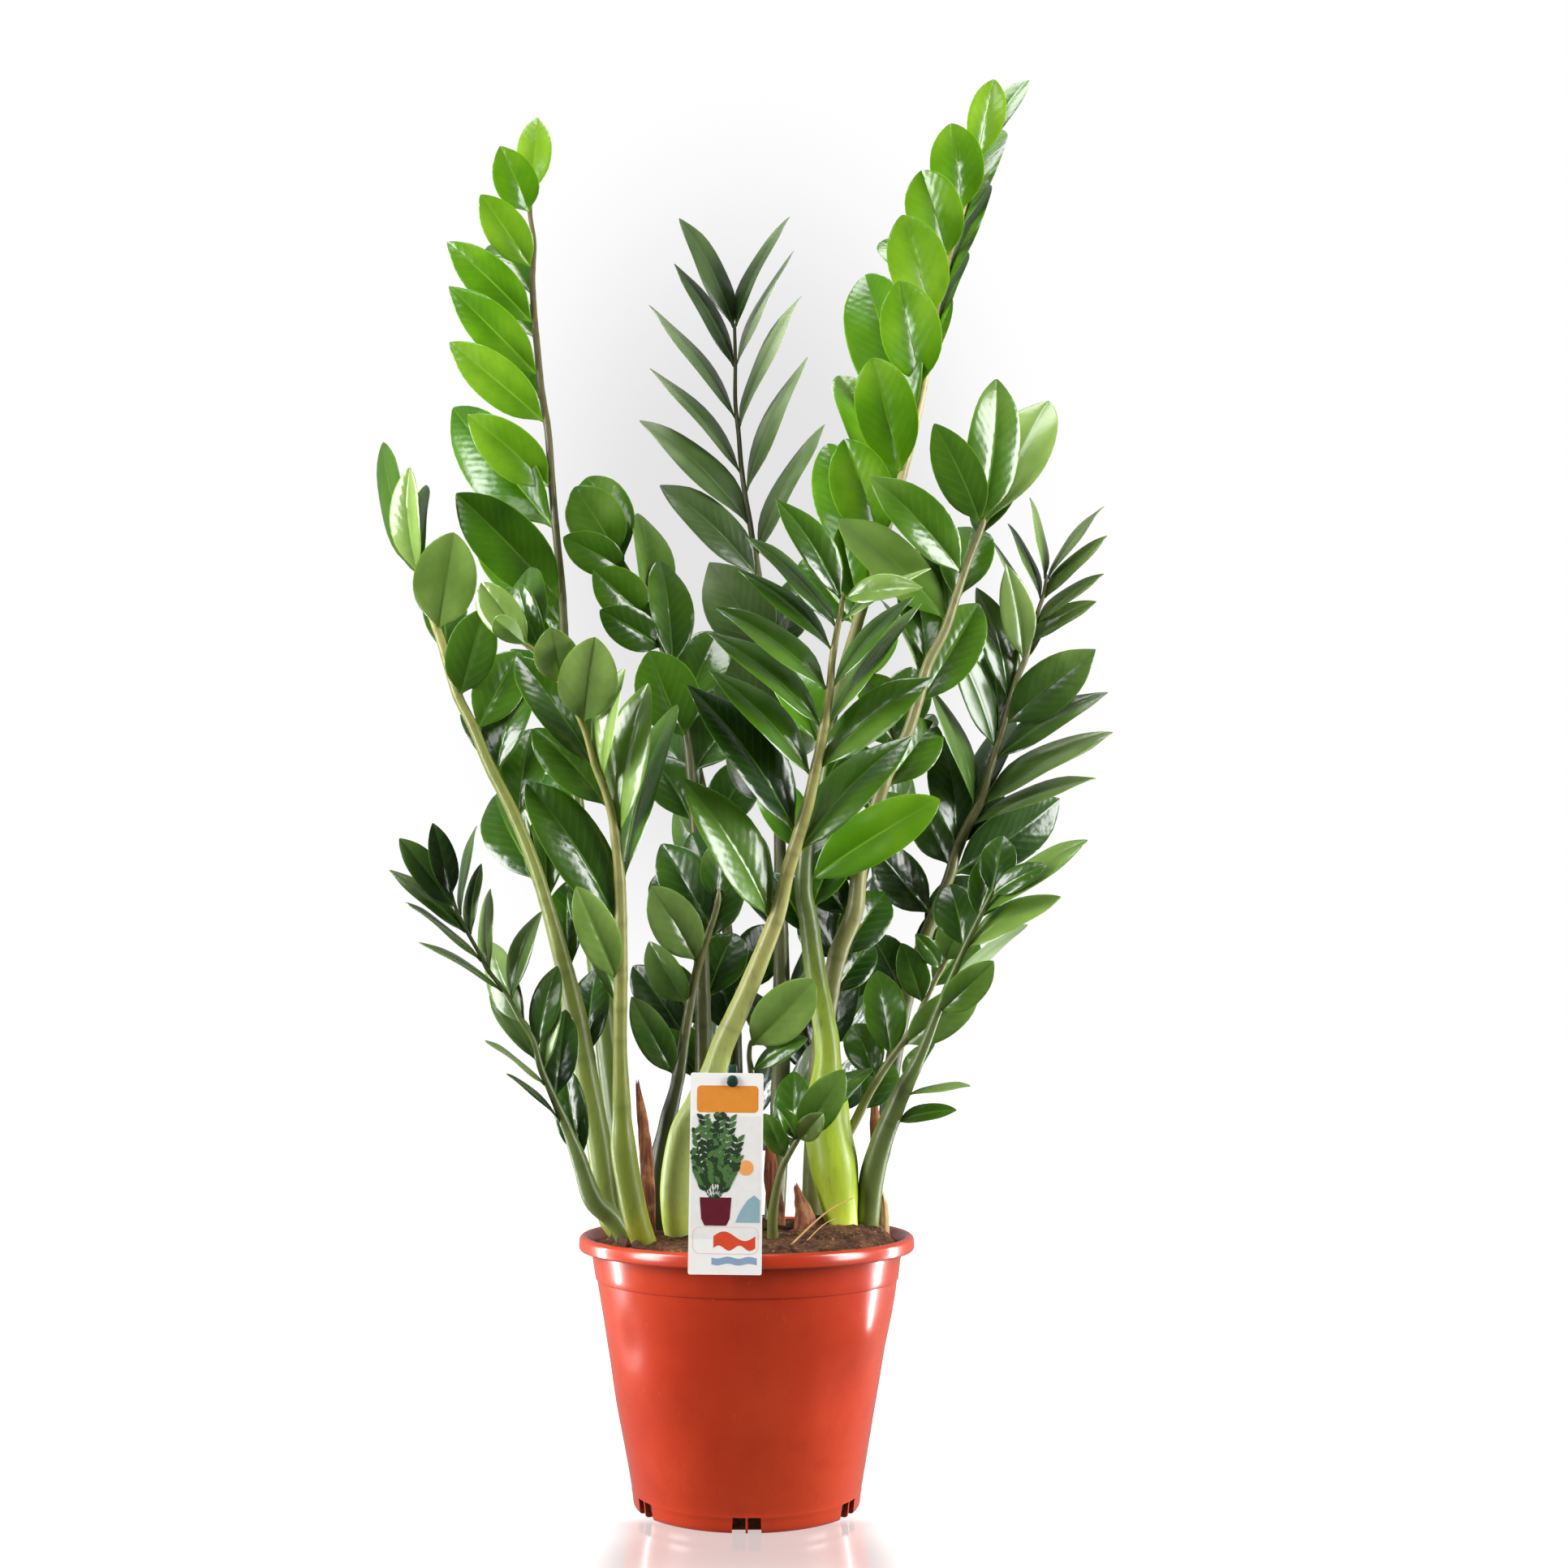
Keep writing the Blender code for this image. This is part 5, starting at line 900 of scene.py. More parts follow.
def leaf_material(name, dark, middle, light, under, vein, margin, gloss=0.24, tip=0.15):
    """Waxy leaflet: colour from dark to light, partly the blade's own and partly painted shade and light, sunken pale
    midrib, faint side veins, thin pale margin, partly its own paler edge and partly a painted edge highlight.
    """
    n = Net(name)
    a = n.attr("lc")
    tone_and_shade, t, ax = n.split(a.outputs["Color"])
    up = a.outputs["Alpha"]
    v = n.attr("lv")
    along, across, rnd = n.split(v.outputs["Color"])
    obj = n.coords()
    big = n.noise(obj, 17.0, 2.0)
    open_ = v.outputs["Alpha"]     # 1 where the blade is open to the front, 0 edge-on
    fine = n.math("ADD", n.math("MULTIPLY", n.math("SUBTRACT", n.noise(obj, 110.0, 3.0, 0.6), 0.5), open_), 0.5)
    # dark to light per blade: partly the blade's own colour and partly painted shade and light
    tn = n.math("ADD", tone_and_shade, n.math("MULTIPLY", n.math("SUBTRACT", big, 0.5), 0.70))
    tn = n.math("ADD", tn, n.math("MULTIPLY", n.math("SUBTRACT", t, 0.45), tip), clamp=True)
    col = n.mix(n.math("MULTIPLY", tn, 2.0, clamp=True), dark, middle)
    col = n.mix(n.math("SUBTRACT", n.math("MULTIPLY", tn, 2.0), 1.0, clamp=True), col, light)
    # side veins: stripes that run up and out from the midrib
    off = n.math("ABSOLUTE", n.math("SUBTRACT", across, 0.5))
    ph = n.math("SUBTRACT", along, n.math("MULTIPLY", off, 1.25))
    ph = n.math("ADD", ph, n.math("MULTIPLY", n.math("SUBTRACT", fine, 0.5), 0.03))
    wave = n.math("MULTIPLY", n.math("SINE", n.math("MULTIPLY", ph, 70.0)), open_)
    wv = n.step(wave, 0.35, 1.0)
    body = n.math("MULTIPLY", n.step(off, 0.008, 0.03), n.step(ax, 0.95, 0.55))
    vn = n.math("MULTIPLY", wv, body)
    col = n.mix(n.math("MULTIPLY", vn, 0.10), col, n.mix(0.5, col, light))
    # mottling, darker towards the midrib
    col = n.mix(n.math("MULTIPLY", n.step(fine, 0.35, 0.75), 0.25), col, n.mix(0.45, col, dark))
    col = n.mix(n.math("MULTIPLY", n.step(off, 0.12, 0.02), 0.22), col, dark)
    # the foot of the blade is paler
    col = n.mix(n.step(t, 0.12, 0.0, 0.0, 0.45), col, vein)
    # midrib
    rib = n.math("MULTIPLY", n.step(off, 0.0105, 0.0035), n.step(t, 0.95, 0.35, 0.10, 0.60))
    top = n.mix(rib, col, vein)
    # margin: a thin pale edge, partly the blade's own paler edge and partly a painted edge highlight
    top = n.mix(n.math("MULTIPLY", n.math("MULTIPLY", n.step(ax, 0.955, 0.985), 0.40), open_), top, margin)
    low = n.mix(0.55, n.mix(0.35, col, under), under)
    low = n.mix(n.math("MULTIPLY", n.step(off, 0.020, 0.006), 0.5), low, vein)
    n.color(n.mix(up, low, top))
    r = n.math("ADD", n.math("MULTIPLY", big, 0.16), gloss - 0.06)
    r = n.math("ADD", r, n.math("MULTIPLY", fine, 0.06))
    n.rough(n.mixf(up, 0.48, r))
    n.bsdf.inputs["Specular IOR Level"].default_value = 0.60
    swell = n.noise(obj, 42.0, 2.0)
    ripple = n.noise(n.scale(obj, (1.0, 1.0, 1.0)), 120.0, 2.0)
    h = n.math("ADD", n.math("MULTIPLY", swell, 1.5), n.math("MULTIPLY", ripple, 0.42))
    h = n.math("ADD", h, n.math("MULTIPLY", wave, 0.05))
    h = n.math("MULTIPLY", h, open_)
    n.bump(h, 0.0009, 0.75)
    return n.m


LEAF = {
    "lime": leaf_material("leaf_lime", srgb(30, 74, 1), srgb(84, 138, 5), srgb(150, 194, 46), srgb(118, 158, 46), srgb(136, 186, 48), srgb(158, 212, 56), 0.20, 0.10),
    "mid": leaf_material("leaf_mid", srgb(14, 46, 3), srgb(70, 112, 20), srgb(146, 178, 88), srgb(104, 140, 54), srgb(104, 150, 46), srgb(128, 180, 54), 0.17, 0.15),
    "dark": leaf_material("leaf_dark", srgb(12, 38, 5), srgb(54, 88, 22), srgb(126, 154, 80), srgb(84, 112, 54), srgb(86, 124, 48), srgb(108, 152, 58), 0.18, 0.40),
    "grey": leaf_material("leaf_grey", srgb(22, 44, 11), srgb(82, 108, 54), srgb(176, 196, 148), srgb(104, 130, 80), srgb(106, 134, 70), srgb(146, 178, 108), 0.28, 0.55),
}


def stalk_material(name, foot, low, mid, high, ring):
    """Stalk: colours change from the foot to the tip, with dark flecks and rings."""
    n = Net(name)
    a = n.attr("sk")
    f, z, rnd = n.split(a.outputs["Color"])
    mark = a.outputs["Alpha"]
    obj = n.coords()
    streak = n.noise(n.scale(obj, (1.0, 1.0, 0.16)), 420.0, 4.0, 0.65)
    blot = n.noise(n.scale(obj, (1.0, 1.0, 0.45)), 95.0, 3.0, 0.6)
    zz = n.math("ADD", z, n.math("MULTIPLY", n.math("SUBTRACT", blot, 0.5), 0.10))
    c = n.mix(n.step(zz, 0.00, 0.045), foot, low)
    c = n.mix(n.step(zz, 0.06, 0.26), c, mid)
    c = n.mix(n.step(zz, 0.34, 0.62), c, high)
    c = n.mix(n.math("MULTIPLY", n.step(streak, 0.52, 0.74), 0.26), c, ring)
    c = n.mix(n.math("MULTIPLY", n.step(blot, 0.60, 0.74), 0.22), c, ring)
    c = n.mix(n.math("MULTIPLY", mark, 0.62), c, ring)
    n.color(c)
    n.rough(n.math("ADD", n.math("MULTIPLY", blot, 0.2), 0.26))
    n.bump(streak, 0.0003, 0.5)
    return n.m


STALK = {
    "front": stalk_material("stalk_front", srgb(136, 140, 40), srgb(108, 122, 42), srgb(152, 150, 84), srgb(118, 152, 58), srgb(56, 66, 26)),
    "centre": stalk_material("stalk_centre", srgb(176, 190, 84), srgb(164, 180, 98), srgb(160, 156, 90), srgb(118, 108, 66), srgb(62, 58, 22)),
    "pale": stalk_material("stalk_pale", srgb(134, 150, 66), srgb(116, 130, 56), srgb(120, 128, 56), srgb(190, 180, 106), srgb(66, 72, 30)),
    # brown: the foot and lower stalk are darker as painted shade, where it stands behind the other stalks
    "brown": stalk_material("stalk_brown_painted_shade", srgb(78, 92, 34), srgb(74, 90, 32), srgb(96, 112, 48), srgb(104, 96, 60), srgb(46, 42, 22)),
    "lime": stalk_material("stalk_lime", srgb(190, 208, 62), srgb(170, 194, 54), srgb(84, 100, 44), srgb(190, 178, 126), srgb(66, 76, 32)),
    "olive": stalk_material("stalk_olive", srgb(96, 104, 54), srgb(92, 98, 54), srgb(92, 94, 56), srgb(88, 90, 54), srgb(40, 42, 20)),
    "dusk": stalk_material("stalk_dusk", srgb(40, 44, 20), srgb(44, 50, 22), srgb(104, 104, 58), srgb(158, 152, 102), srgb(30, 34, 16)),
    "blue": stalk_material("stalk_blue", srgb(108, 124, 62), srgb(96, 112, 58), srgb(92, 108, 58), srgb(82, 92, 52), srgb(44, 56, 28)),
    "khaki": stalk_material("stalk_khaki", srgb(104, 108, 58), srgb(112, 116, 66), srgb(134, 132, 82), srgb(116, 112, 68), srgb(56, 54, 26)),
}

# frond: (leaf palette, stalk palette, tone, rings on the stalk at these heights on the drawing)
SHAPE = {  # frond: (how rounded the tips are, width factor, fold)
    "frond_front_left": (0.55, 1.08, 0.36), "frond_front_centre": (0.0, 1.06, 0.36), "frond_left": (0.60, 1.10, 0.40),
    "frond_left_tall": (0.22, 1.04, 0.36), "frond_left_rear": (0.60, 1.15, 0.34), "frond_left_low": (0.20, 1.0, 0.34),
    "frond_rear_centre": (0.05, 1.05, 0.30), "frond_right_tall": (0.70, 1.04, 0.42), "frond_right_mid": (0.35, 1.12, 0.38),
    "frond_right_narrow": (0.05, 1.05, 0.34), "frond_right_low_thin": (0.5, 1.1, 0.3), "frond_right_low": (0.35, 1.12, 0.34),
    "frond_short": (0.4, 1.12, 0.32), "frond_seedling": (0.45, 1.1, 0.30), "frond_thin": (0.6, 1.05, 0.22),
    "frond_rear_left": (0.35, 1.1, 0.32), "frond_rear_right": (0.35, 1.1, 0.32),
}
LOOK = {
    "frond_front_left": ("mid", "front", 0.45, (1283, 1365, 1193, 1044, 943)),
    "frond_front_centre": ("mid", "centre", 0.35, (1265, 1077, 1015, 919)),
    "frond_left": ("mid", "pale", 0.42, (1257, 1180, 995, 896)),
    "frond_left_tall": ("lime", "brown", 0.28, (1223,)),
    "frond_left_rear": ("mid", "olive", 0.35, ()),
    "frond_left_low": ("dark", "blue", 0.35, (1389, 1348)),
    "frond_rear_centre": ("grey", "olive", 0.42, ()),
    "frond_right_tall": ("lime", "lime", 0.62, (1139,)),
    "frond_right_mid": ("mid", "khaki", 0.40, (1123,)),
    "frond_right_narrow": ("dark", "dusk", 0.50, ()),
    "frond_right_low_thin": ("mid", "khaki", 0.35, ()),
    "frond_right_low": ("mid", "blue", 0.40, (1345,)),
    "frond_short": ("dark", "dusk", 0.50, ()),
    "frond_seedling": ("mid", "olive", 0.30, ()),
    "frond_thin": ("mid", "olive", 0.40, ()),
    "frond_rear_left": ("dark", "dusk", 0.30, ()),
    "frond_rear_right": ("dark", "dusk", 0.25, ()),
}


def stalk_mesh(name, spec, st, leaves, mat):
    sides = 14
    stations = []
    s = 0.0
    while s < st.length:
        stations.append(s)
        s += 0.0035
    stations.append(st.length)
    joints = sorted(lf.s for lf in leaves)
    rings = []
    for h in LOOK[name][3]:
        g = min(st.g, key=lambda q: abs(q[1] - h))
        rings.append(st.nearest(g[0], h))
    verts, sk, faces = [], [], []
    ref = Vector((0, 1, 0))
    z0 = soil_height(0.08)
    for k, s in enumerate(stations):
        c, r, t = st.point(s), st.radius(s), st.tangent(s)
        x = (ref - t * ref.dot(t)).normalized()
        y = t.cross(x)
        ref = x
        swell, mark = 0.0, 0.0
        for j in joints:
            e = math.exp(-((s - j) / 0.0034) ** 2)
            swell = max(swell, 0.05 * e)
            mark = max(mark, 0.45 * math.exp(-((s - j + 0.002) / 0.0018) ** 2))
        for j in rings:
            e = math.exp(-((s - j) / 0.0022) ** 2)
            swell = max(swell, 0.025 * e)
            mark = max(mark, 0.42 * e)
        tip = 1.0
        if st.length - s < 0.006:
            tip = max(math.sqrt(max(1 - (1 - (st.length - s) / 0.006) ** 2, 0.0)), 0.10)
        for i in range(sides):
            a = 2 * math.pi * i / sides
            u = 0.030 * noise.noise(Vector((math.cos(a) * 1.3, math.sin(a) * 1.3, s * 26 + len(name))))
            rr = r * (1 + swell + u) * tip
            p = c + (x * math.cos(a) + y * math.sin(a)) * rr
            verts.append(p)
            sk.append((s / st.length, max(p.z - z0, 0.0), hash01(i, k), mark))
    n = len(stations)
    for k in range(n - 1):
        for i in range(sides):
            j = (i + 1) % sides
            faces.append((k * sides + i, k * sides + j, (k + 1) * sides + j, (k + 1) * sides + i))
    faces.append(tuple(range(sides - 1, -1, -1)))
    faces.append(tuple((n - 1) * sides + i for i in range(sides)))
    return make_mesh(name + ".stalk", verts, faces, [mat], attrs={"sk": sk})


# paler (+) or deeper (-) than the layout's tones, per frond: partly the frond's own colour and partly painted light and
# shade
COLOUR_AND_SHADE_LIFT = {"frond_left_rear": 0.07, "frond_right_low_thin": 0.12, "frond_seedling": 0.08, "frond_right_low": 0.08, "frond_front_left": 0.05,
        "frond_rear_right": -0.08, "frond_left_low": 0.05, "frond_right_narrow": 0.03, "frond_short": -0.03}
print("settling")
placed, stuck = settle(fixed_blocks())
count = 0
for spec, st, leaves in placed:
    name = spec["name"]
    pal, spal, tone0, _r = LOOK[name]
    slot = {"lime": "leaf_lime", "dark": "leaf_dark"}.get(pal, "leaf_mid")
    ob = stalk_mesh(name, spec, st, leaves, STALK[spal])
    piece(ob, slot, name)
    verts, faces, lc, lv = [], [], [], []
    for i, lf in enumerate(leaves):
        rnd = hash01(len(name), i, lf.row[1] * 0.01)
        # each blade's colour step is partly its own colour and partly painted shade and light
        tone_and_shade = (int(lf.row[6][0]) + 0.8 * (rnd - 0.5)) / 9.0 + COLOUR_AND_SHADE_LIFT.get(name, 0.0)
        if name == "frond_right_tall" and lf.row[5] > 30 and lf.row[1] < 740:
            tone_and_shade += 0.30      # the young lime leaves behind the tall stalk
        if name == "frond_rear_centre" and lf.row[4] > 70:
            tone_and_shade -= 0.16
        v, f, c, w = leaflet_arrays(lf, min(max(tone_and_shade, 0.0), 1.0), rnd, *SHAPE[name])
        b = len(verts)
        verts += v
        faces += [tuple(q + b for q in g) for g in f]
        lc += c
        lv += w
        count += 1
    ob = make_mesh(name + ".leaflets", verts, faces, [LEAF[pal]], sharp=55, attrs={"lc": lc, "lv": lv})
    try:
        ob.cycles.shadow_terminator_geometry_offset = 0.0
    except AttributeError:
        pass
    piece(ob, slot, name)
print("leaflets", count)

# ---------------------------------------------------------------------- pot --
def dent(ang, z):
    """Soft moulding and handling dents of the thin wall, in metres, ang from -Y towards +X."""
    d = 0.0
    for a0, z0, wa, wz, h in ((0.86, 0.125, 0.20, 0.018, 0.0030), (0.70, 0.088, 0.22, 0.022, -0.0016),
                              (-0.90, 0.118, 0.16, 0.020, -0.0020), (-0.62, 0.095, 0.24, 0.022, 0.0014),
                              (1.35, 0.140, 0.25, 0.020, 0.0012), (-1.35, 0.075, 0.30, 0.030, 0.0010),
                              (2.35, 0.100, 0.35, 0.030, -0.0018), (3.05, 0.130, 0.30, 0.025, 0.0014),
                              (-2.30, 0.110, 0.30, 0.030, -0.0014)):
        da = math.remainder(ang - a0, 2 * math.pi)
        d += h * math.exp(-(da / wa) ** 2 - ((z - z0) / wz) ** 2)
    d += 0.00035 * noise.noise(Vector((math.cos(ang) * 2.2, math.sin(ang) * 2.2, z * 38)))
    return d


def pot_material():
    n = Net("pot_plastic")
    obj = n.coords()
    cloud = n.noise(obj, 9.0, 3.0)
    fine = n.noise(obj, 60.0, 4.0, 0.6)
    scuff = n.noise(n.scale(obj, (1.0, 1.0, 0.22)), 190.0, 5.0, 0.7)
    col = n.mix(n.step(cloud, 0.3, 0.7), srgb(180, 50, 20), srgb(198, 64, 30))
    col = n.mix(n.math("MULTIPLY", n.step(fine, 0.45, 0.7), 0.25), col, srgb(168, 44, 18))
    col = n.mix(n.math("MULTIPLY", n.step(scuff, 0.66, 0.80), 0.30), col, srgb(214, 112, 82))
    n.color(col)
    r = n.math("ADD", n.math("MULTIPLY", cloud, 0.10), 0.20)
    r = n.math("ADD", r, n.math("MULTIPLY", n.step(scuff, 0.6, 0.8), 0.12))
    n.rough(r)
    n.bsdf.inputs["Specular IOR Level"].default_value = 0.6
    n.bsdf.inputs["Coat Weight"].default_value = 0.25
    n.bsdf.inputs["Coat Roughness"].default_value = 0.12
    n.bump(n.math("ADD", n.math("MULTIPLY", fine, 0.5), n.math("MULTIPLY", scuff, 0.25)), 0.00025, 0.45)
    return n.m


def fine_pot():
    zt = POT_HEIGHT - LIP_HEIGHT
    zs = POT_HEIGHT - STEP_DROP
    prof = [(BASE_RADIUS - 0.0020, 0.0), (BASE_RADIUS - 0.0006, 0.0003), (BASE_RADIUS, 0.0012)]
    z = 0.003
    while z < 0.0098:
        prof.append((wall_radius(z) + 0.0001, z))
        z += 0.002
    prof += [(BASE_RADIUS + 0.0016, 0.0100), (BASE_RADIUS + 0.0016, 0.0112), (wall_radius(0.0125), 0.0125)]
    z = 0.016
    while z < zs - 0.002:
        prof.append((wall_radius(z), z))
        z += 0.0035
    prof += [(wall_radius(zs - 0.0012), zs - 0.0012), (wall_radius(zs - 0.0004), zs - 0.0004), (wall_radius(zs) - 0.0001, zs + 0.0002), (wall_radius(zs + 0.001), zs + 0.001)]
    z = zs + 0.004
    while z < zt - 0.002:
        prof.append((wall_radius(z), z))
        z += 0.0035
    prof += [(WALL_TOP_RADIUS - 0.0002, zt - 0.0006), (WALL_TOP_RADIUS + 0.0010, zt + 0.0002), (RIM_RADIUS - 0.0026, zt + 0.0004), (RIM_RADIUS - 0.0009, zt + 0.0008), (RIM_RADIUS - 0.0001, zt + 0.0018),
             (RIM_RADIUS, zt + 0.0034), (RIM_RADIUS - 0.0001, POT_HEIGHT - 0.0030), (RIM_RADIUS - 0.0007, POT_HEIGHT - 0.0015), (RIM_RADIUS - 0.0019, POT_HEIGHT - 0.0004), (RIM_RADIUS - 0.0034, POT_HEIGHT),
             (RIM_RADIUS - 0.0048, POT_HEIGHT - 0.0002), (RIM_RADIUS - 0.0062, POT_HEIGHT - 0.0011), (RIM_RADIUS - 0.0076, POT_HEIGHT - 0.0030)]
    outer_n = len(prof)
    prof += [(WALL_TOP_RADIUS - WALL + 0.0006, POT_HEIGHT - 0.0070), (WALL_TOP_RADIUS - WALL, zt - 0.001)]
    for z in (zs, 0.125, 0.094, 0.062, 0.030, 0.012):
        prof.append((wall_radius(z) - WALL, z))
    prof += [(wall_radius(FLOOR) - WALL - 0.0008, FLOOR + 0.0008), (wall_radius(FLOOR) - WALL - 0.003, FLOOR)]
    n = 160
    bm = bmesh.new()
    rings = []
    for r, z in prof:
        ring = []
        for i in range(n):
            a = 2 * math.pi * (i + 0.5) / n
            ang = math.atan2(math.cos(a), -math.sin(a))     # from -Y towards +X
            w = min(max((z - 0.012) / 0.03, 0.0), 1.0) * min(max((POT_HEIGHT - 0.016 - z) / 0.02, 0.0), 1.0)
            rr = r + dent(ang, z) * w
            ring.append(bm.verts.new((rr * math.cos(a), rr * math.sin(a), z)))
        rings.append(ring)
    for a, b in zip(rings, rings[1:]):
        for i in range(n):
            j = (i + 1) % n
            bm.faces.new((a[i], a[j], b[j], b[i]))
    # underside with a shallow moulded ring, and the inside floor
    prev, z0 = rings[0], 0.0
    for r, z in ((0.066, 0.0), (0.0645, 0.0008), (0.058, 0.0008), (0.0565, 0.0), (0.020, 0.0)):
        ring = [bm.verts.new((r * math.cos(2 * math.pi * (i + 0.5) / n), r * math.sin(2 * math.pi * (i + 0.5) / n), z)) for i in range(n)]
        for i in range(n):
            j = (i + 1) % n
            bm.faces.new((prev[j], prev[i], ring[i], ring[j]))
        prev = ring
    lo = bm.verts.new((0, 0, 0))
    hi = bm.verts.new((0, 0, FLOOR))
    for i in range(n):
        j = (i + 1) % n
        bm.faces.new((prev[j], prev[i], lo))
        bm.faces.new((rings[-1][i], rings[-1][j], hi))
    bm.normal_update()
    me = bpy.data.meshes.new("pot.shell")
    bm.to_mesh(me)
    bm.free()
    me.materials.append(pot_material())
    me.shade_smooth()
    ob = bpy.data.objects.new("pot.shell", me)
    COLL.objects.link(ob)
    cm = bmesh.new()
    for k in range(NOTCH_COUNT):
        ang = -math.pi / 2 + 2 * math.pi * k / NOTCH_COUNT
        half = (NOTCH_WIDTH - NOTCH_RIB) / 2
        for sgn in (-1, 1):
            cx, cy, cz = BASE_RADIUS - NOTCH_INWARD / 2 + 0.004, sgn * (NOTCH_RIB / 2 + half / 2), NOTCH_HEIGHT / 2 - 0.002
            sx, sy, sz = NOTCH_INWARD + 0.008, half, NOTCH_HEIGHT + 0.004
            c, s = math.cos(ang), math.sin(ang)
            vs = []
            for dx in (-0.5, 0.5):
                for dy in (-0.5, 0.5):
                    for dz in (-0.5, 0.5):
                        taper = 1.0 - (0.0015 / half if dz > 0 and dy * sgn > 0 else 0.0)
                        x, y, z = cx + dx * sx, cy + dy * sy * taper, cz + dz * sz
                        vs.append(cm.verts.new((x * c - y * s, x * s + y * c, z)))
            for q in ((0, 1, 3, 2), (4, 6, 7, 5), (0, 4, 5, 1), (2, 3, 7, 6), (0, 2, 6, 4), (1, 5, 7, 3)):
                cm.faces.new([vs[i] for i in q])
    cme = bpy.data.meshes.new("notches")
    cm.to_mesh(cme)
    cm.free()
    cutter = bpy.data.objects.new("notches", cme)
    COLL.objects.link(cutter)
    m = ob.modifiers.new("cut", "BOOLEAN")
    m.operation = "DIFFERENCE"
    m.solver = "EXACT"
    m.object = cutter
    deps = bpy.context.evaluated_depsgraph_get()
    new = bpy.data.meshes.new_from_object(ob.evaluated_get(deps))
    ob.modifiers.clear()
    ob.data = new
    new.name = "pot.shell"
    bpy.data.objects.remove(cutter)
    new.shade_smooth()
    new.set_sharp_from_angle(angle=math.radians(35))
    return piece(ob, "pot", "pot")


fine_pot()


# --------------------------------------------------------------------- soil --
def soil_material():
    n = Net("soil_peat")
    obj = n.coords()
    a = n.noise(obj, 55.0, 5.0, 0.7)
    b = n.noise(obj, 260.0, 4.0, 0.7)
    c = n.noise(n.scale(obj, (1.0, 0.3, 1.0)), 330.0, 3.0, 0.6)
    col = n.mix(n.step(a, 0.35, 0.7), srgb(50, 31, 22), srgb(104, 70, 48))
    col = n.mix(n.math("MULTIPLY", n.step(b, 0.45, 0.75), 0.7), col, srgb(140, 98, 66))
    col = n.mix(n.math("MULTIPLY", n.step(c, 0.60, 0.72), 0.6), col, srgb(176, 134, 92))
    col = n.mix(n.math("MULTIPLY", n.step(b, 0.40, 0.28), 0.8), col, srgb(26, 16, 12))
    n.color(col)
    n.rough(0.95)
    n.bsdf.inputs["Specular IOR Level"].default_value = 0.2
    n.bump(n.math("ADD", a, b), 0.002, 0.9)
    return n.m


def relief(x, y):
    v = Vector((x, y, 0.0))
    h = 0.0016 * noise.noise(v * 55) + 0.0013 * noise.noise(v * 130 + Vector((3, 1, 7))) + 0.0010 * noise.noise(v * 300 + Vector((9, 2, 5)))
    r = math.hypot(x, y)
    edge = min(max((0.1085 - r) / 0.012, 0.0), 1.0)
    h += edge * (0.0035 + 0.0085 * math.exp(-((x - 0.072) ** 2 + (y + 0.012) ** 2) / 0.0016))
    return h


def fine_soil():
    n, rings = 150, 46
    rmax = WALL_TOP_RADIUS - WALL - 0.0007
    verts, faces = [], []
    verts.append(Vector((0, 0, soil_height(0) + relief(0, 0))))
    for k in range(1, rings + 1):
        r = rmax * (k / rings) ** 0.85
        for i in range(n):
            a = 2 * math.pi * (i + 0.5 * (k % 2)) / n
            x, y = r * math.cos(a), r * math.sin(a)
            verts.append(Vector((x, y, soil_height(r) + relief(x, y) - (0.002 if k == rings else 0.0))))
    for i in range(n):
        faces.append((0, 1 + i, 1 + (i + 1) % n))
    for k in range(rings - 1):
        a0, b0 = 1 + k * n, 1 + (k + 1) * n
        for i in range(n):
            j = (i + 1) % n
            if k % 2 == 0:
                faces.append((a0 + i, b0 + i, a0 + j))
                faces.append((a0 + j, b0 + i, b0 + j))
            else:
                faces.append((a0 + i, b0 + i, b0 + j))
                faces.append((a0 + i, b0 + j, a0 + j))
    # sides and bottom
    last = 1 + (rings - 1) * n
    prev = last
    for z, r in ((0.125, wall_radius(0.125) - WALL - 0.0008), (0.062, wall_radius(0.062) - WALL - 0.0008), (FLOOR + 0.0006, wall_radius(FLOOR) - WALL - 0.0012)):
        b0 = len(verts)
        for i in range(n):
            a = 2 * math.pi * (i + 0.5 * (rings % 2)) / n
            verts.append(Vector((r * math.cos(a), r * math.sin(a), z)))
        for i in range(n):
            j = (i + 1) % n
            faces.append((prev + i, b0 + i, b0 + j, prev + j))
        prev = b0
    faces.append(tuple(prev + i for i in range(n - 1, -1, -1)))
    mat = soil_material()
    ob = make_mesh("soil.body", verts, faces, [mat], sharp=None)
    piece(ob, "soil", "soil")
    return mat


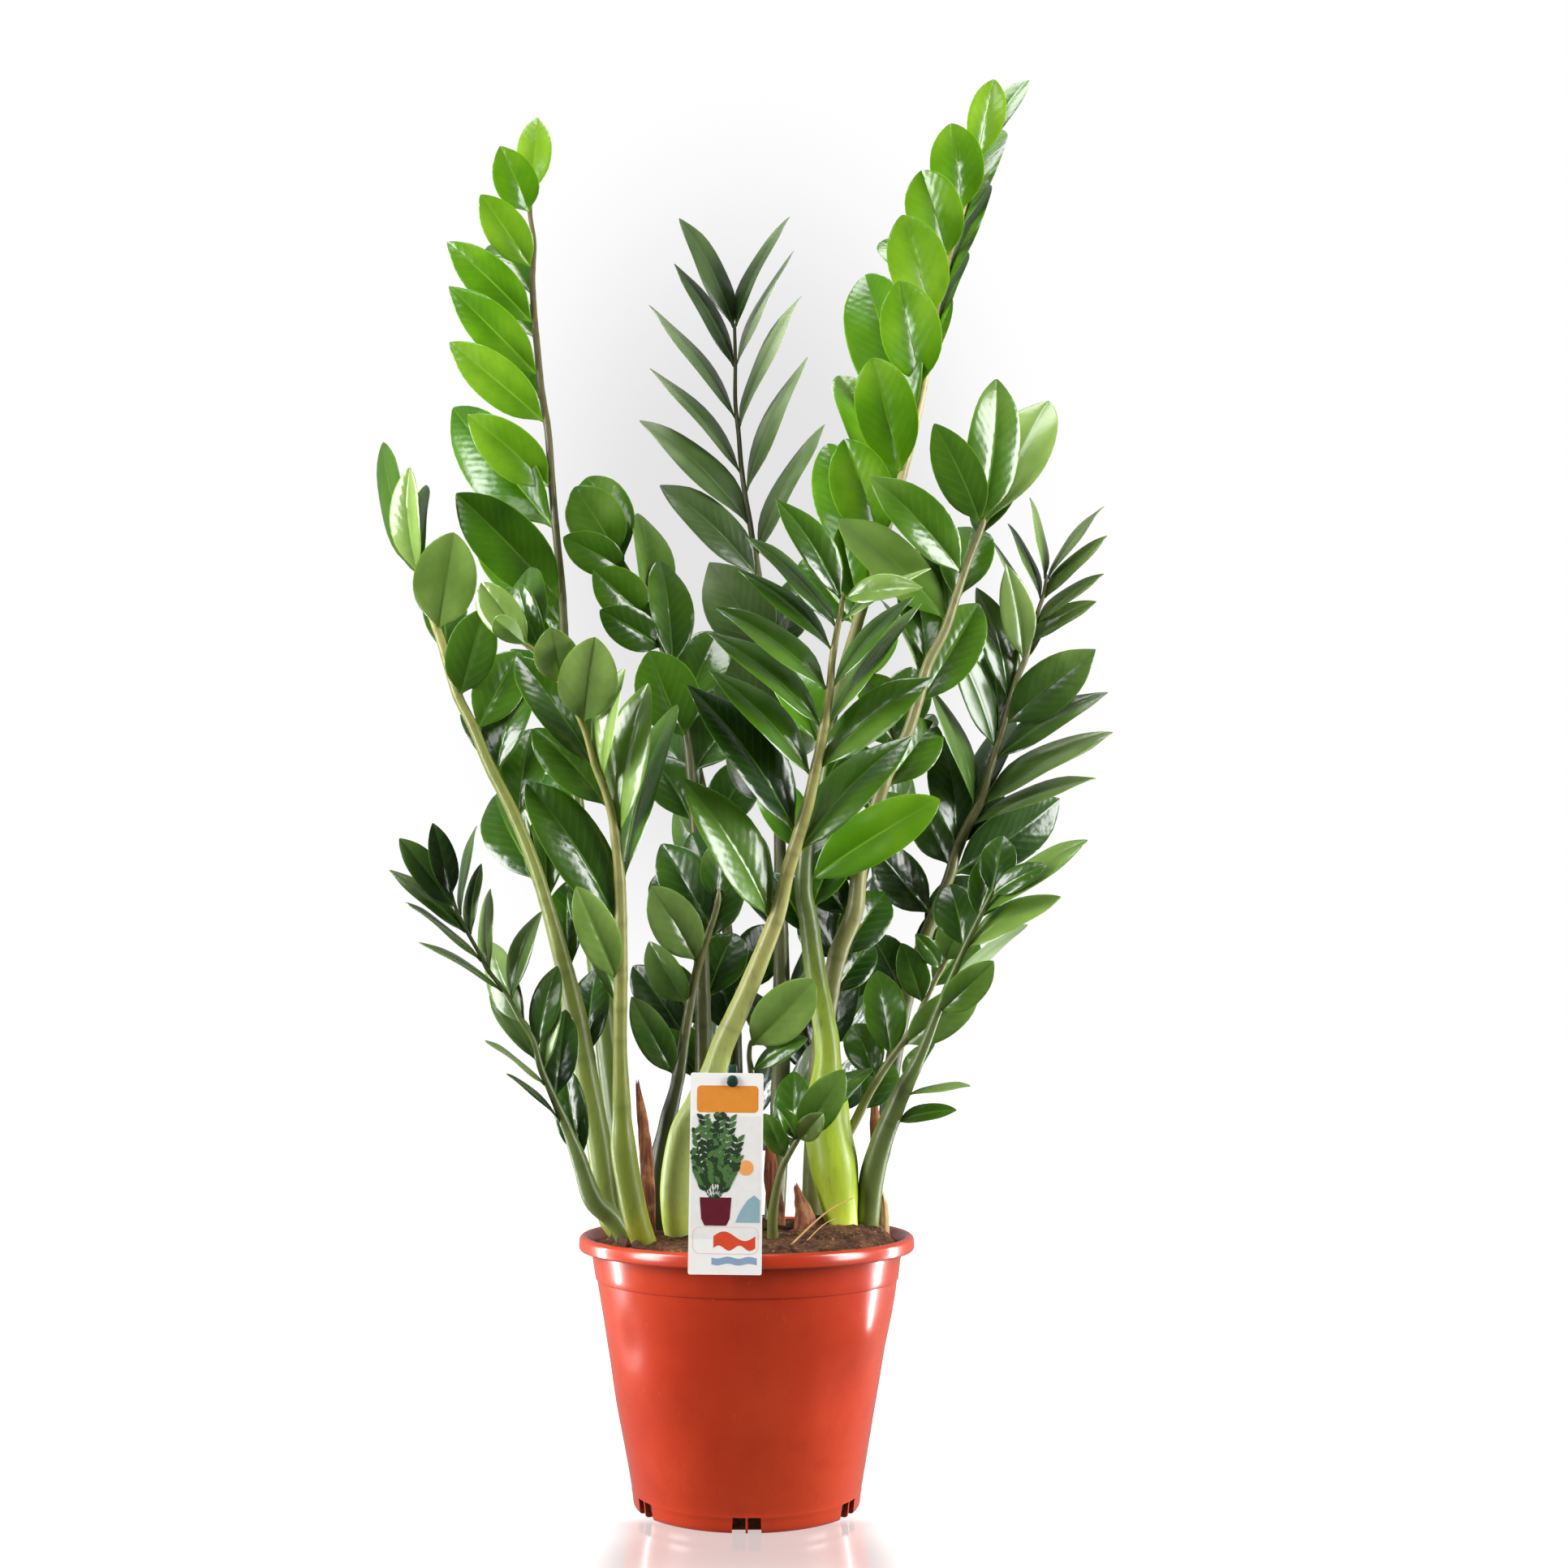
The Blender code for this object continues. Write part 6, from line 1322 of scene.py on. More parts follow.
def grain(bm_v, bm_f, mi, c, size, key, kind):
    """A small angular grain, or a short fibre, appended to the lists."""
    b = len(bm_v)
    if kind == 3:
        # fibre: a thin bent strip with three sides
        a = 2 * math.pi * hash01(key, 1)
        d = Vector((math.cos(a), math.sin(a), 0.25 * (hash01(key, 2) - 0.3))).normalized()
        up = Vector((0, 0, 1))
        s = d.cross(up).normalized()
        L, r = size * 5.0, size * 0.16
        seg = 5
        for k in range(seg + 1):
            t = k / seg - 0.5
            p = c + d * (L * t) + s * (L * 0.16 * math.sin(t * 5 + key)) + up * (0.0006 + L * 0.12 * (0.25 - t * t))
            rr = r * (1.0 if 0 < k < seg else 0.4)
            for q in range(3):
                w = 2 * math.pi * q / 3
                bm_v.append(p + s * math.cos(w) * rr + up * math.sin(w) * rr)
            if k:
                for q in range(3):
                    q2 = (q + 1) % 3
                    bm_f.append((b + 3 * (k - 1) + q, b + 3 * (k - 1) + q2, b + 3 * k + q2, b + 3 * k + q))
                    mi.append(kind)
        bm_f.append((b + 2, b + 1, b))
        bm_f.append((b + 3 * seg, b + 3 * seg + 1, b + 3 * seg + 2))
        mi += [kind, kind]
        return
    phi = (1 + 5 ** 0.5) / 2
    ico = [(-1, phi, 0), (1, phi, 0), (-1, -phi, 0), (1, -phi, 0), (0, -1, phi), (0, 1, phi), (0, -1, -phi), (0, 1, -phi), (phi, 0, -1), (phi, 0, 1), (-phi, 0, -1), (-phi, 0, 1)]
    tri = [(0, 11, 5), (0, 5, 1), (0, 1, 7), (0, 7, 10), (0, 10, 11), (1, 5, 9), (5, 11, 4), (11, 10, 2), (10, 7, 6), (7, 1, 8),
           (3, 9, 4), (3, 4, 2), (3, 2, 6), (3, 6, 8), (3, 8, 9), (4, 9, 5), (2, 4, 11), (6, 2, 10), (8, 6, 7), (9, 8, 1)]
    q = Quaternion(Vector((hash01(key, 1) - 0.5, hash01(key, 2) - 0.5, hash01(key, 3) - 0.5)).normalized(), 6.28 * hash01(key, 4))
    sx, sy, sz = (0.6 + 0.8 * hash01(key, 5 + i) for i in range(3))
    for i, v in enumerate(ico):
        w = Vector(v) * (0.526 * size * (0.8 + 0.4 * hash01(key, i + 11)))
        bm_v.append(c + q @ Vector((w.x * sx, w.y * sy, w.z * sz * 0.8)))
    for t in tri:
        bm_f.append(tuple(b + i for i in t))
        mi.append(kind)


def soil_litter():
    """Loose peat crumbs, pale grains and short fibres on the soil, as one piece."""
    v, f, mi = [], [], []
    feet = []
    for spec, st, leaves in placed:
        s = 0.0
        while st.point(s).z < soil_height(0.05) and s < st.length:
            s += 0.002
        feet.append((st.point(s), st.radius(s)))
    made = 0
    k = 0
    while made < 900 and k < 4000:
        k += 1
        r = 0.1075 * math.sqrt(hash01(k, 1))
        a = 2 * math.pi * hash01(k, 2)
        x, y = r * math.cos(a), r * math.sin(a)
        if any(math.hypot(x - p.x, y - p.y) < q + 0.002 for p, q in feet):
            continue
        made += 1
        u = hash01(k, 3)
        kind = 0 if u < 0.55 else 1 if u < 0.80 else 2 if u < 0.87 else 3
        size = (0.0030, 0.0024, 0.0017, 0.0022)[kind] * (0.5 + hash01(k, 4))
        grain(v, f, mi, Vector((x, y, soil_height(r) + relief(x, y) + size * 0.18)), size, k, kind)
    # one long straw that lies from the front edge up and to the right
    def straw(p0, p1, r, sag):
        b = len(v)
        seg = 10
        d = (p1 - p0).normalized()
        s = d.cross(Vector((0, 0, 1))).normalized()
        up = s.cross(d)
        for q in range(seg + 1):
            t = q / seg
            p = p0.lerp(p1, t) + up * (sag * 4 * t * (1 - t)) + s * (0.0012 * math.sin(t * 6))
            for w in range(5):
                g = 2 * math.pi * w / 5
                v.append(p + s * math.cos(g) * r * (1 - 0.5 * t) + up * math.sin(g) * r * (1 - 0.5 * t))
            if q:
                for w in range(5):
                    w2 = (w + 1) % 5
                    f.append((b + 5 * (q - 1) + w, b + 5 * (q - 1) + w2, b + 5 * q + w2, b + 5 * q + w))
                    mi.append(4)
        f.append(tuple(b + w for w in (4, 3, 2, 1, 0)))
        f.append(tuple(b + 5 * seg + w for w in range(5)))
        mi.extend([4, 4])
    straw(at(968, 1541, -0.075), at(1052, 1476, -0.040), 0.0008, 0.004)
    straw(at(985, 1538, -0.070), at(1035, 1500, -0.045), 0.0005, 0.003)
    mats = []
    for nm, c0, c1 in (("peat_dark", srgb(44, 28, 20), srgb(84, 56, 40)), ("peat_brown", srgb(104, 70, 46), srgb(150, 108, 74)),
                       ("grain_pale", srgb(206, 178, 146), srgb(238, 220, 196)), ("fibre", srgb(118, 82, 52), srgb(180, 140, 98)), ("straw", srgb(150, 112, 66), srgb(206, 170, 112))):
        n = Net(nm)
        n.color(n.mix(n.noise(n.coords(), 240.0, 3.0), c0, c1))
        n.rough(0.9)
        n.bsdf.inputs["Specular IOR Level"].default_value = 0.25
        n.bump(n.noise(n.coords(), 900.0, 2.0), 0.0004, 0.6)
        mats.append(n.m)
    ob = make_mesh("soil.litter", v, f, mats, smooth=False, mat_index=mi)
    piece(ob, "soil", "soil")


fine_soil()
soil_litter()

# ------------------------------------------------------------ dry sheaths ---
def sheath_material():
    n = Net("sheath_paper")
    obj = n.coords()
    streak = n.noise(n.scale(obj, (1.0, 1.0, 0.08)), 600.0, 4.0, 0.6)
    blot = n.noise(obj, 60.0, 3.0)
    col = n.mix(n.step(streak, 0.35, 0.7), srgb(86, 38, 20), srgb(160, 88, 48))
    col = n.mix(n.math("MULTIPLY", n.step(blot, 0.5, 0.7), 0.6), col, srgb(196, 140, 88))
    n.color(col)
    n.rough(0.7)
    n.bump(streak, 0.0006, 0.8)
    return n.m


def pale_sheath_material():
    n = Net("sheath_pale")
    obj = n.coords()
    streak = n.noise(n.scale(obj, (1.0, 1.0, 0.1)), 500.0, 4.0, 0.6)
    n.color(n.mix(streak, srgb(150, 108, 62), srgb(226, 200, 150)))
    n.rough(0.75)
    n.bump(streak, 0.0006, 0.8)
    return n.m


def fine_sheath(nm, path, depth, widths, mat):
    line = sheath_line(path, depth, widths)
    pts = _catmull([p for p, w in line], 6)
    ws = []
    for i in range(len(line) - 1):
        for k in range(6):
            ws.append(line[i][1] + (line[i + 1][1] - line[i][1]) * k / 6)
    ws.append(line[-1][1])
    cols = 9
    verts, faces = [], []
    n = len(pts)
    for side in (0, 1):
        for k, (p, w) in enumerate(zip(pts, ws)):
            t = k / (n - 1)
            edge = 1.0 + 0.16 * noise.noise(Vector((t * 9, len(nm), 0)))
            for j in range(cols):
                x = 2 * j / (cols - 1) - 1
                cup = 0.0013 * x * x + 0.0005 * noise.noise(Vector((x * 2.2, t * 7, len(nm))))
                th = 0.00035 if side == 0 else -0.00005
                verts.append(p + Vector((x * w * edge, 0.0004 + cup + (0.0005 if side else 0.0), 0.002 * math.sin(x * 7 + t * 3) * t)))
    o = n * cols
    for k in range(n - 1):
        for j in range(cols - 1):
            a, b, c, d = k * cols + j, k * cols + j + 1, (k + 1) * cols + j + 1, (k + 1) * cols + j
            faces.append((a, b, c, d))
            faces.append((o + a, o + d, o + c, o + b))
        for j, rev in ((0, False), (cols - 1, True)):
            a, d = k * cols + j, (k + 1) * cols + j
            q = (a, d, o + d, o + a)
            faces.append(tuple(reversed(q)) if rev else q)
    for k, rev in ((0, True), (n - 1, False)):
        for j in range(cols - 1):
            a, b = k * cols + j, k * cols + j + 1
            q = (a, b, o + b, o + a)
            faces.append(tuple(reversed(q)) if rev else q)
    ob = make_mesh(nm + ".paper", verts, faces, [mat])
    piece(ob, "sheath", nm)


_brown, _pale = sheath_material(), pale_sheath_material()
for nm, path, depth, widths, rgb in SHEATHS:
    fine_sheath(nm, path, depth, widths, _pale if nm == "sheath_tuft" else _brown)

# ------------------------------------------------------------ card and stake --
def plain(name, c0, c1, rough, scale=200.0, bump=0.0001, spec=0.5):
    n = Net(name)
    f = n.noise(n.coords(), scale, 3.0)
    n.color(n.mix(f, c0, c1))
    n.rough(rough)
    n.bsdf.inputs["Specular IOR Level"].default_value = spec
    n.bump(f, bump, 0.5)
    return n.m


def card_point(x, y, lift):
    return card_mid + card_right * x + card_up * y + card_out * (CARD_THICK / 2 + lift)


def rounded_rect(x0, y0, x1, y1, r, seg=6):
    pts = []
    for cx, cy, a0 in ((x1 - r, y1 - r, 0), (x0 + r, y1 - r, 90), (x0 + r, y0 + r, 180), (x1 - r, y0 + r, 270)):
        for k in range(seg + 1):
            a = math.radians(a0 + 90 * k / seg)
            pts.append((cx + r * math.cos(a), cy + r * math.sin(a)))
    return pts


def slab_from(verts, faces, mi, outline, z0, z1, m):
    """A thin plate with that outline, standing from lift z0 to z1 on the card."""
    b, n = len(verts), len(outline)
    for z in (z1, z0):
        for x, y in outline:
            verts.append(card_point(x, y, z))
    faces.append(tuple(b + i for i in range(n)))
    faces.append(tuple(b + n + i for i in range(n - 1, -1, -1)))
    mi += [m, m]
    for i in range(n):
        j = (i + 1) % n
        faces.append((b + i, b + n + i, b + n + j, b + j))
        mi.append(m)


def fine_card():
    hw, hh = CARD_WIDTH / 2, CARD_HEIGHT / 2
    # the card's plate with its hole
    hx = (card_hole - card_mid).dot(card_right)
    hy = (card_hole - card_mid).dot(card_up)
    outline = rounded_rect(-hw, -hh, hw, hh, 0.0014, 5)
    bm = bmesh.new()
    front = [bm.verts.new(card_point(x, y, 0.0)) for x, y in outline]
    f = bm.faces.new(front)
    ext = bmesh.ops.extrude_face_region(bm, geom=[f])
    bmesh.ops.translate(bm, verts=[g for g in ext["geom"] if isinstance(g, bmesh.types.BMVert)], vec=-card_out * CARD_THICK)
    bmesh.ops.recalc_face_normals(bm, faces=bm.faces[:])
    me = bpy.data.meshes.new("label_card.plate")
    bm.to_mesh(me)
    bm.free()
    me.materials.append(plain("card_white", srgb(236, 233, 228), srgb(246, 244, 240), 0.30, 90.0, 0.00004))
    ob = bpy.data.objects.new("label_card.plate", me)
    COLL.objects.link(ob)
    cb = bmesh.new()
    n = 28
    rings = []
    for z in (-0.004, 0.004):
        rings.append([cb.verts.new(card_hole + card_right * math.cos(2 * math.pi * i / n) * CARD_HOLE + card_up * math.sin(2 * math.pi * i / n) * CARD_HOLE + card_out * z) for i in range(n)])
    for i in range(n):
        j = (i + 1) % n
        cb.faces.new((rings[0][i], rings[0][j], rings[1][j], rings[1][i]))
    cb.faces.new(list(reversed(rings[0])))
    cb.faces.new(rings[1])
    bmesh.ops.recalc_face_normals(cb, faces=cb.faces[:])
    cme = bpy.data.meshes.new("hole")
    cb.to_mesh(cme)
    cb.free()
    cutter = bpy.data.objects.new("hole", cme)
    COLL.objects.link(cutter)
    m = ob.modifiers.new("cut", "BOOLEAN")
    m.solver = "EXACT"
    m.object = cutter
    deps = bpy.context.evaluated_depsgraph_get()
    new = bpy.data.meshes.new_from_object(ob.evaluated_get(deps))
    ob.modifiers.clear()
    ob.data = new
    bpy.data.objects.remove(cutter)
    piece(ob, "card", "label_card")

    # the print, as thin films: band, plant in a pot, wave, frame
    U = CARD_WIDTH / 88.0          # one unit of the card's own grid, 88 across
    V = CARD_HEIGHT / 237.0
    gx = lambda x: -hw + x * U
    gy = lambda y: hh - y * V
    verts, faces, mi = [], [], []
    lo, hi = 0.00001, 0.00008
    slab_from(verts, faces, mi, rounded_rect(gx(8), gy(47), gx(82), gy(15), 5 * U), lo, hi, 0)
    # soft grey panel behind the plant
    slab_from(verts, faces, mi, rounded_rect(gx(2.5), gy(196), gx(85.5), gy(51), 1.0 * U), lo, hi * 0.5, 5)
    # maroon pot
    slab_from(verts, faces, mi, [(gx(13), gy(147)), (gx(15), gy(172)), (gx(19), gy(180)), (gx(45), gy(180)), (gx(49), gy(172)), (gx(51), gy(147))], lo + hi, 2 * hi, 2)
    # stems and leaflets of the pictured plant
    def leaf2(x0, y0, x1, y1, w, m, z):
        dx, dy = x1 - x0, y1 - y0
        L = math.hypot(dx, dy)
        px, py = -dy / L, dx / L
        pts = []
        for t, k in ((0, 0.1), (0.25, 0.8), (0.5, 1.0), (0.78, 0.6), (1.0, 0.0), (0.78, -0.6), (0.5, -1.0), (0.25, -0.8), (0.0, -0.1)):
            pts.append((gx(x0 + dx * t + px * w * k), gy(y0 + dy * t + py * w * k)))
        pts.reverse()
        slab_from(verts, faces, mi, pts, z, z + hi * 0.7, m)
    kk = 0
    for bx, by, tx, ty, nl in ((26, 149, 3, 98, 8), (27, 149, 6, 72, 9), (29, 149, 17, 55, 11), (31, 149, 27, 64, 11), (32, 149, 36, 49, 12), (33, 149, 48, 58, 11), (34, 149, 57, 82, 9), (35, 149, 56, 106, 7)):
        steps = nl
        for q in range(8):
            pass
        cxm, cym = (bx + tx) / 2 + (tx - bx) * 0.12, (by + ty) / 2 + 4
        prevp = None
        for q in range(13):
            t = q / 12
            x = bx * (1 - t) ** 2 + 2 * cxm * t * (1 - t) + tx * t * t
            y = by * (1 - t) ** 2 + 2 * cym * t * (1 - t) + ty * t * t
            if prevp:
                leaf2(prevp[0], prevp[1], x, y, 0.9, 3, lo + hi * 1.2)
            prevp = (x, y)
        for q in range(steps):
            t = 0.22 + 0.78 * q / (steps - 1)
            x = bx * (1 - t) ** 2 + 2 * cxm * t * (1 - t) + tx * t * t
            y = by * (1 - t) ** 2 + 2 * cym * t * (1 - t) + ty * t * t
            for sgn in (-1, 1):
                kk += 1
                dxx = sgn * (6.5 + 2 * hash01(kk, 1)) + (tx - bx) * 0.08
                leaf2(x, y, min(max(x + dxx, 3.2), 84.0), max(y - 10.0 + 3 * hash01(kk, 2), 48.6), 2.9, 3 if hash01(kk, 3) < 0.6 else 4, lo + hi * (1.5 + 0.8 * hash01(kk, 5)))
    # a plain sun disc and hills in place of the pictured figure
    def disc(cx, cy, r, m, z):
        slab_from(verts, faces, mi, [(gx(cx + r * math.cos(2 * math.pi * q / 28)), gy(cy - r * math.sin(2 * math.pi * q / 28))) for q in range(28)], z, z + hi, m)
    disc(68, 112, 9, 6, lo + hi)
    slab_from(verts, faces, mi, [(gx(56), gy(176)), (gx(85), gy(176)), (gx(85), gy(150)), (gx(78), gy(144)), (gx(70), gy(150)), (gx(62), gy(162))], lo + hi, 2 * hi, 7)
    # pale outlined panel low on the card, and a red wave in it
    def ring2(x0, y0, x1, y1, r, w, m):
        outer = rounded_rect(gx(x0), gy(y1), gx(x1), gy(y0), r * U)
        inner = rounded_rect(gx(x0 + w), gy(y1 - w), gx(x1 - w), gy(y0 + w), (r - w) * U)
        n2 = len(outer)
        for i in range(n2):
            j = (i + 1) % n2
            slab_from(verts, faces, mi, [outer[i], outer[j], inner[j], inner[i]], lo, hi, m)
    ring2(5, 181, 84, 213, 9, 0.8, 8)
    slab_from(verts, faces, mi, [(gx(30 + 50 * q / 14), gy(206 - 3.2 * math.sin(q * 0.9))) for q in range(15)] + [(gx(80 - 50 * q / 14), gy(192 - 5.5 * math.sin((14 - q) * 0.45))) for q in range(15)], lo, hi, 9)
    slab_from(verts, faces, mi, [(gx(28 + 54 * q / 12), gy(225 + 1.2 * math.sin(q * 1.1))) for q in range(13)] + [(gx(82 - 54 * q / 12), gy(217 + 1.2 * math.sin((12 - q) * 1.1))) for q in range(13)], lo, hi, 10)
    mats = [plain("print_orange", srgb(216, 132, 44), srgb(226, 146, 58), 0.32), plain("print_line", srgb(214, 190, 176), srgb(224, 204, 192), 0.35),
            plain("print_maroon", srgb(84, 20, 34), srgb(104, 30, 44), 0.35), plain("print_green_dark", srgb(30, 50, 28), srgb(44, 68, 36), 0.35),
            plain("print_green", srgb(62, 96, 50), srgb(84, 120, 66), 0.35), plain("print_grey", srgb(222, 220, 216), srgb(236, 234, 230), 0.35),
            plain("print_sun", srgb(232, 150, 80), srgb(240, 170, 100), 0.35), plain("print_hill", srgb(128, 158, 170), srgb(150, 180, 190), 0.35),
            plain("print_frame", srgb(226, 190, 176), srgb(234, 204, 190), 0.35), plain("print_red", srgb(206, 60, 34), srgb(220, 84, 50), 0.35),
            plain("print_blue", srgb(120, 150, 176), srgb(150, 174, 196), 0.35)]
    ob = make_mesh("label_card.print", verts, faces, mats, smooth=False, mat_index=mi)
    piece(ob, "card", "label_card")


def fine_stake():
    """Flat tapering bar with rounded edges, a shoulder and the headed peg."""
    verts, faces = [], []
    top = card_hole - card_out * 0.0052
    foot = Vector((card_hole.x + 0.0005, -0.0985, 0.158))
    line = [foot, foot.lerp(top, 0.5) + Vector((0, -0.001, 0)), top - card_up * 0.006, top + card_up * 0.0105]
    f = (0.45, 1.0, 1.0, 0.8)
    pts = _catmull(line, 8)
    fw = []
    for i in range(3):
        for k in range(8):
            fw.append(f[i] + (f[i + 1] - f[i]) * k / 8)
    fw.append(f[-1])
    sec = []
    for k in range(16):
        a = 2 * math.pi * k / 16
        ca, sa = math.cos(a), math.sin(a)
        sec.append((math.copysign(abs(ca) ** 0.35, ca), math.copysign(abs(sa) ** 0.35, sa)))
    n = len(pts)
    for k, (p, w) in enumerate(zip(pts, fw)):
        e = 0.75 if k in (0, n - 1) else 1.0
        for x, y in sec:
            verts.append(p + card_right * (STAKE_WIDTH / 2 * w * x * e) + card_out * (STAKE_THICK / 2 * y * e))
        if k:
            for i in range(16):
                j = (i + 1) % 16
                faces.append(((k - 1) * 16 + i, (k - 1) * 16 + j, k * 16 + j, k * 16 + i))
    faces.append(tuple(range(15, -1, -1)))
    faces.append(tuple((n - 1) * 16 + i for i in range(16)))
    # peg: shaft and domed head
    b = len(verts)
    h = 0.0052 + CARD_THICK / 2 + 0.0004
    prof = [(0.0, PEG_RADIUS), (h - 0.0006, PEG_RADIUS), (h, PEG_RADIUS + 0.0004), (h + 0.0002, 0.0038), (h + 0.0008, 0.0039), (h + 0.0013, 0.0032), (h + 0.0016, 0.0018), (h + 0.0017, 0.0003)]
    m = 20
    for k, (z, r) in enumerate(prof):
        for i in range(m):
            a = 2 * math.pi * i / m
            verts.append(top + card_out * z + (card_right * math.cos(a) + card_up * math.sin(a)) * r)
        if k:
            for i in range(m):
                j = (i + 1) % m
                faces.append((b + (k - 1) * m + i, b + (k - 1) * m + j, b + k * m + j, b + k * m + i))
    faces.append(tuple(b + i for i in range(m - 1, -1, -1)))
    faces.append(tuple(b + (len(prof) - 1) * m + i for i in range(m)))
    ob = make_mesh("label_stake.bar", verts, faces, [plain("stake_green", srgb(12, 44, 34), srgb(22, 62, 48), 0.35, 160.0)], sharp=35)
    bm = bmesh.new()
    bm.from_mesh(ob.data)
    bmesh.ops.recalc_face_normals(bm, faces=bm.faces[:])
    bm.to_mesh(ob.data)
    bm.free()
    piece(ob, "stake", "label_stake")


fine_card()
fine_stake()

# ------------------------------------------------------------------- tubers --
def tuber_material():
    n = Net("tuber_skin")
    obj = n.coords()
    a = n.noise(obj, 40.0, 4.0)
    b = n.noise(n.scale(obj, (1, 1, 4)), 120.0, 3.0)
    n.color(n.mix(n.step(b, 0.5, 0.7), n.mix(a, srgb(140, 104, 66), srgb(184, 148, 100)), srgb(96, 66, 40)))
    n.rough(0.8)
    n.bump(b, 0.0008, 0.8)
    return n.m


_tub = tuber_material()
for nm in ("tuber_left", "tuber_right", "tuber_rear"):
    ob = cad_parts[nm]
    ob.data.materials.clear()
    ob.data.materials.append(_tub)

# ---------------------------------------------------- floor, light, camera ---
def stage_set():
    n = 96
    bm = bmesh.new()
    bmesh.ops.create_circle(bm, cap_ends=True, cap_tris=False, segments=n, radius=9.0)
    me = bpy.data.meshes.new("floor")
    bm.to_mesh(me)
    bm.free()
    m = Net("floor_white")
    m.rough(0.10)
    m.bsdf.inputs["Specular IOR Level"].default_value = 0.8
    sep = m.node("ShaderNodeSeparateXYZ")
    m.link(m.coords(), sep.inputs[0])
    rr = m.math("SQRT", m.math("ADD", m.math("MULTIPLY", sep.outputs[0], sep.outputs[0]), m.math("MULTIPLY", sep.outputs[1], sep.outputs[1])))
    # a painted reflection: a faint mirrored pot painted on the floor in front of its foot, fading forwards and sideways
    side = m.math("ABSOLUTE", sep.outputs[0])
    front = m.math("SUBTRACT", -0.060, sep.outputs[1])
    wide = m.math("SUBTRACT", side, m.math("MULTIPLY", front, 0.16))
    painted_reflection = m.math("MULTIPLY", m.step(wide, 0.125, 0.055), m.step(front, 0.34, 0.05))
    painted_reflection = m.math("MULTIPLY", painted_reflection, m.step(front, -0.03, 0.0))
    # the painted reflection is only there from the front, so it fades as the view turns
    eye = m.node("ShaderNodeNewGeometry")
    towards = m.node("ShaderNodeSeparateXYZ")
    m.link(eye.outputs["Incoming"], towards.inputs[0])
    painted_reflection = m.math("MULTIPLY", painted_reflection, m.step(m.math("MULTIPLY", towards.outputs[1], -1.0), 0.75, 0.93))
    # the painted reflection darkens the floor's colour and tints its emission pink
    m.color(m.mix(painted_reflection, (0.86, 0.86, 0.86, 1.0), (0.03, 0.03, 0.03, 1.0)))
    m.link(m.mix(painted_reflection, (1.0, 1.0, 1.0, 1.0), (1.0, 0.84, 0.81, 1.0)), m.bsdf.inputs["Emission Color"])
    # the emission is weaker near the pot's foot: painted shade round the foot
    glow_with_painted_shade = m.step(rr, 0.11, 0.50, 0.45, 1.0)
    m.link(m.mixf(painted_reflection, glow_with_painted_shade, 0.62), m.bsdf.inputs["Emission Strength"])
    me.materials.append(m.m)
    ob = bpy.data.objects.new("floor", me)
    COLL.objects.link(ob)
    ob.visible_diffuse = False
    ob.visible_glossy = False


def area(name, loc, target, size_x, size_y, power, colour=(1, 1, 1), hide=True):
    d = bpy.data.lights.new(name, "AREA")
    d.shape = "RECTANGLE"
    d.size, d.size_y = size_x, size_y
    d.energy = power
    d.color = colour
    o = bpy.data.objects.new(name, d)
    o.location = loc
    v = Vector(target) - Vector(loc)
    o.rotation_euler = v.to_track_quat("-Z", "Y").to_euler()
    COLL.objects.link(o)
    o.visible_camera = not hide
    return o


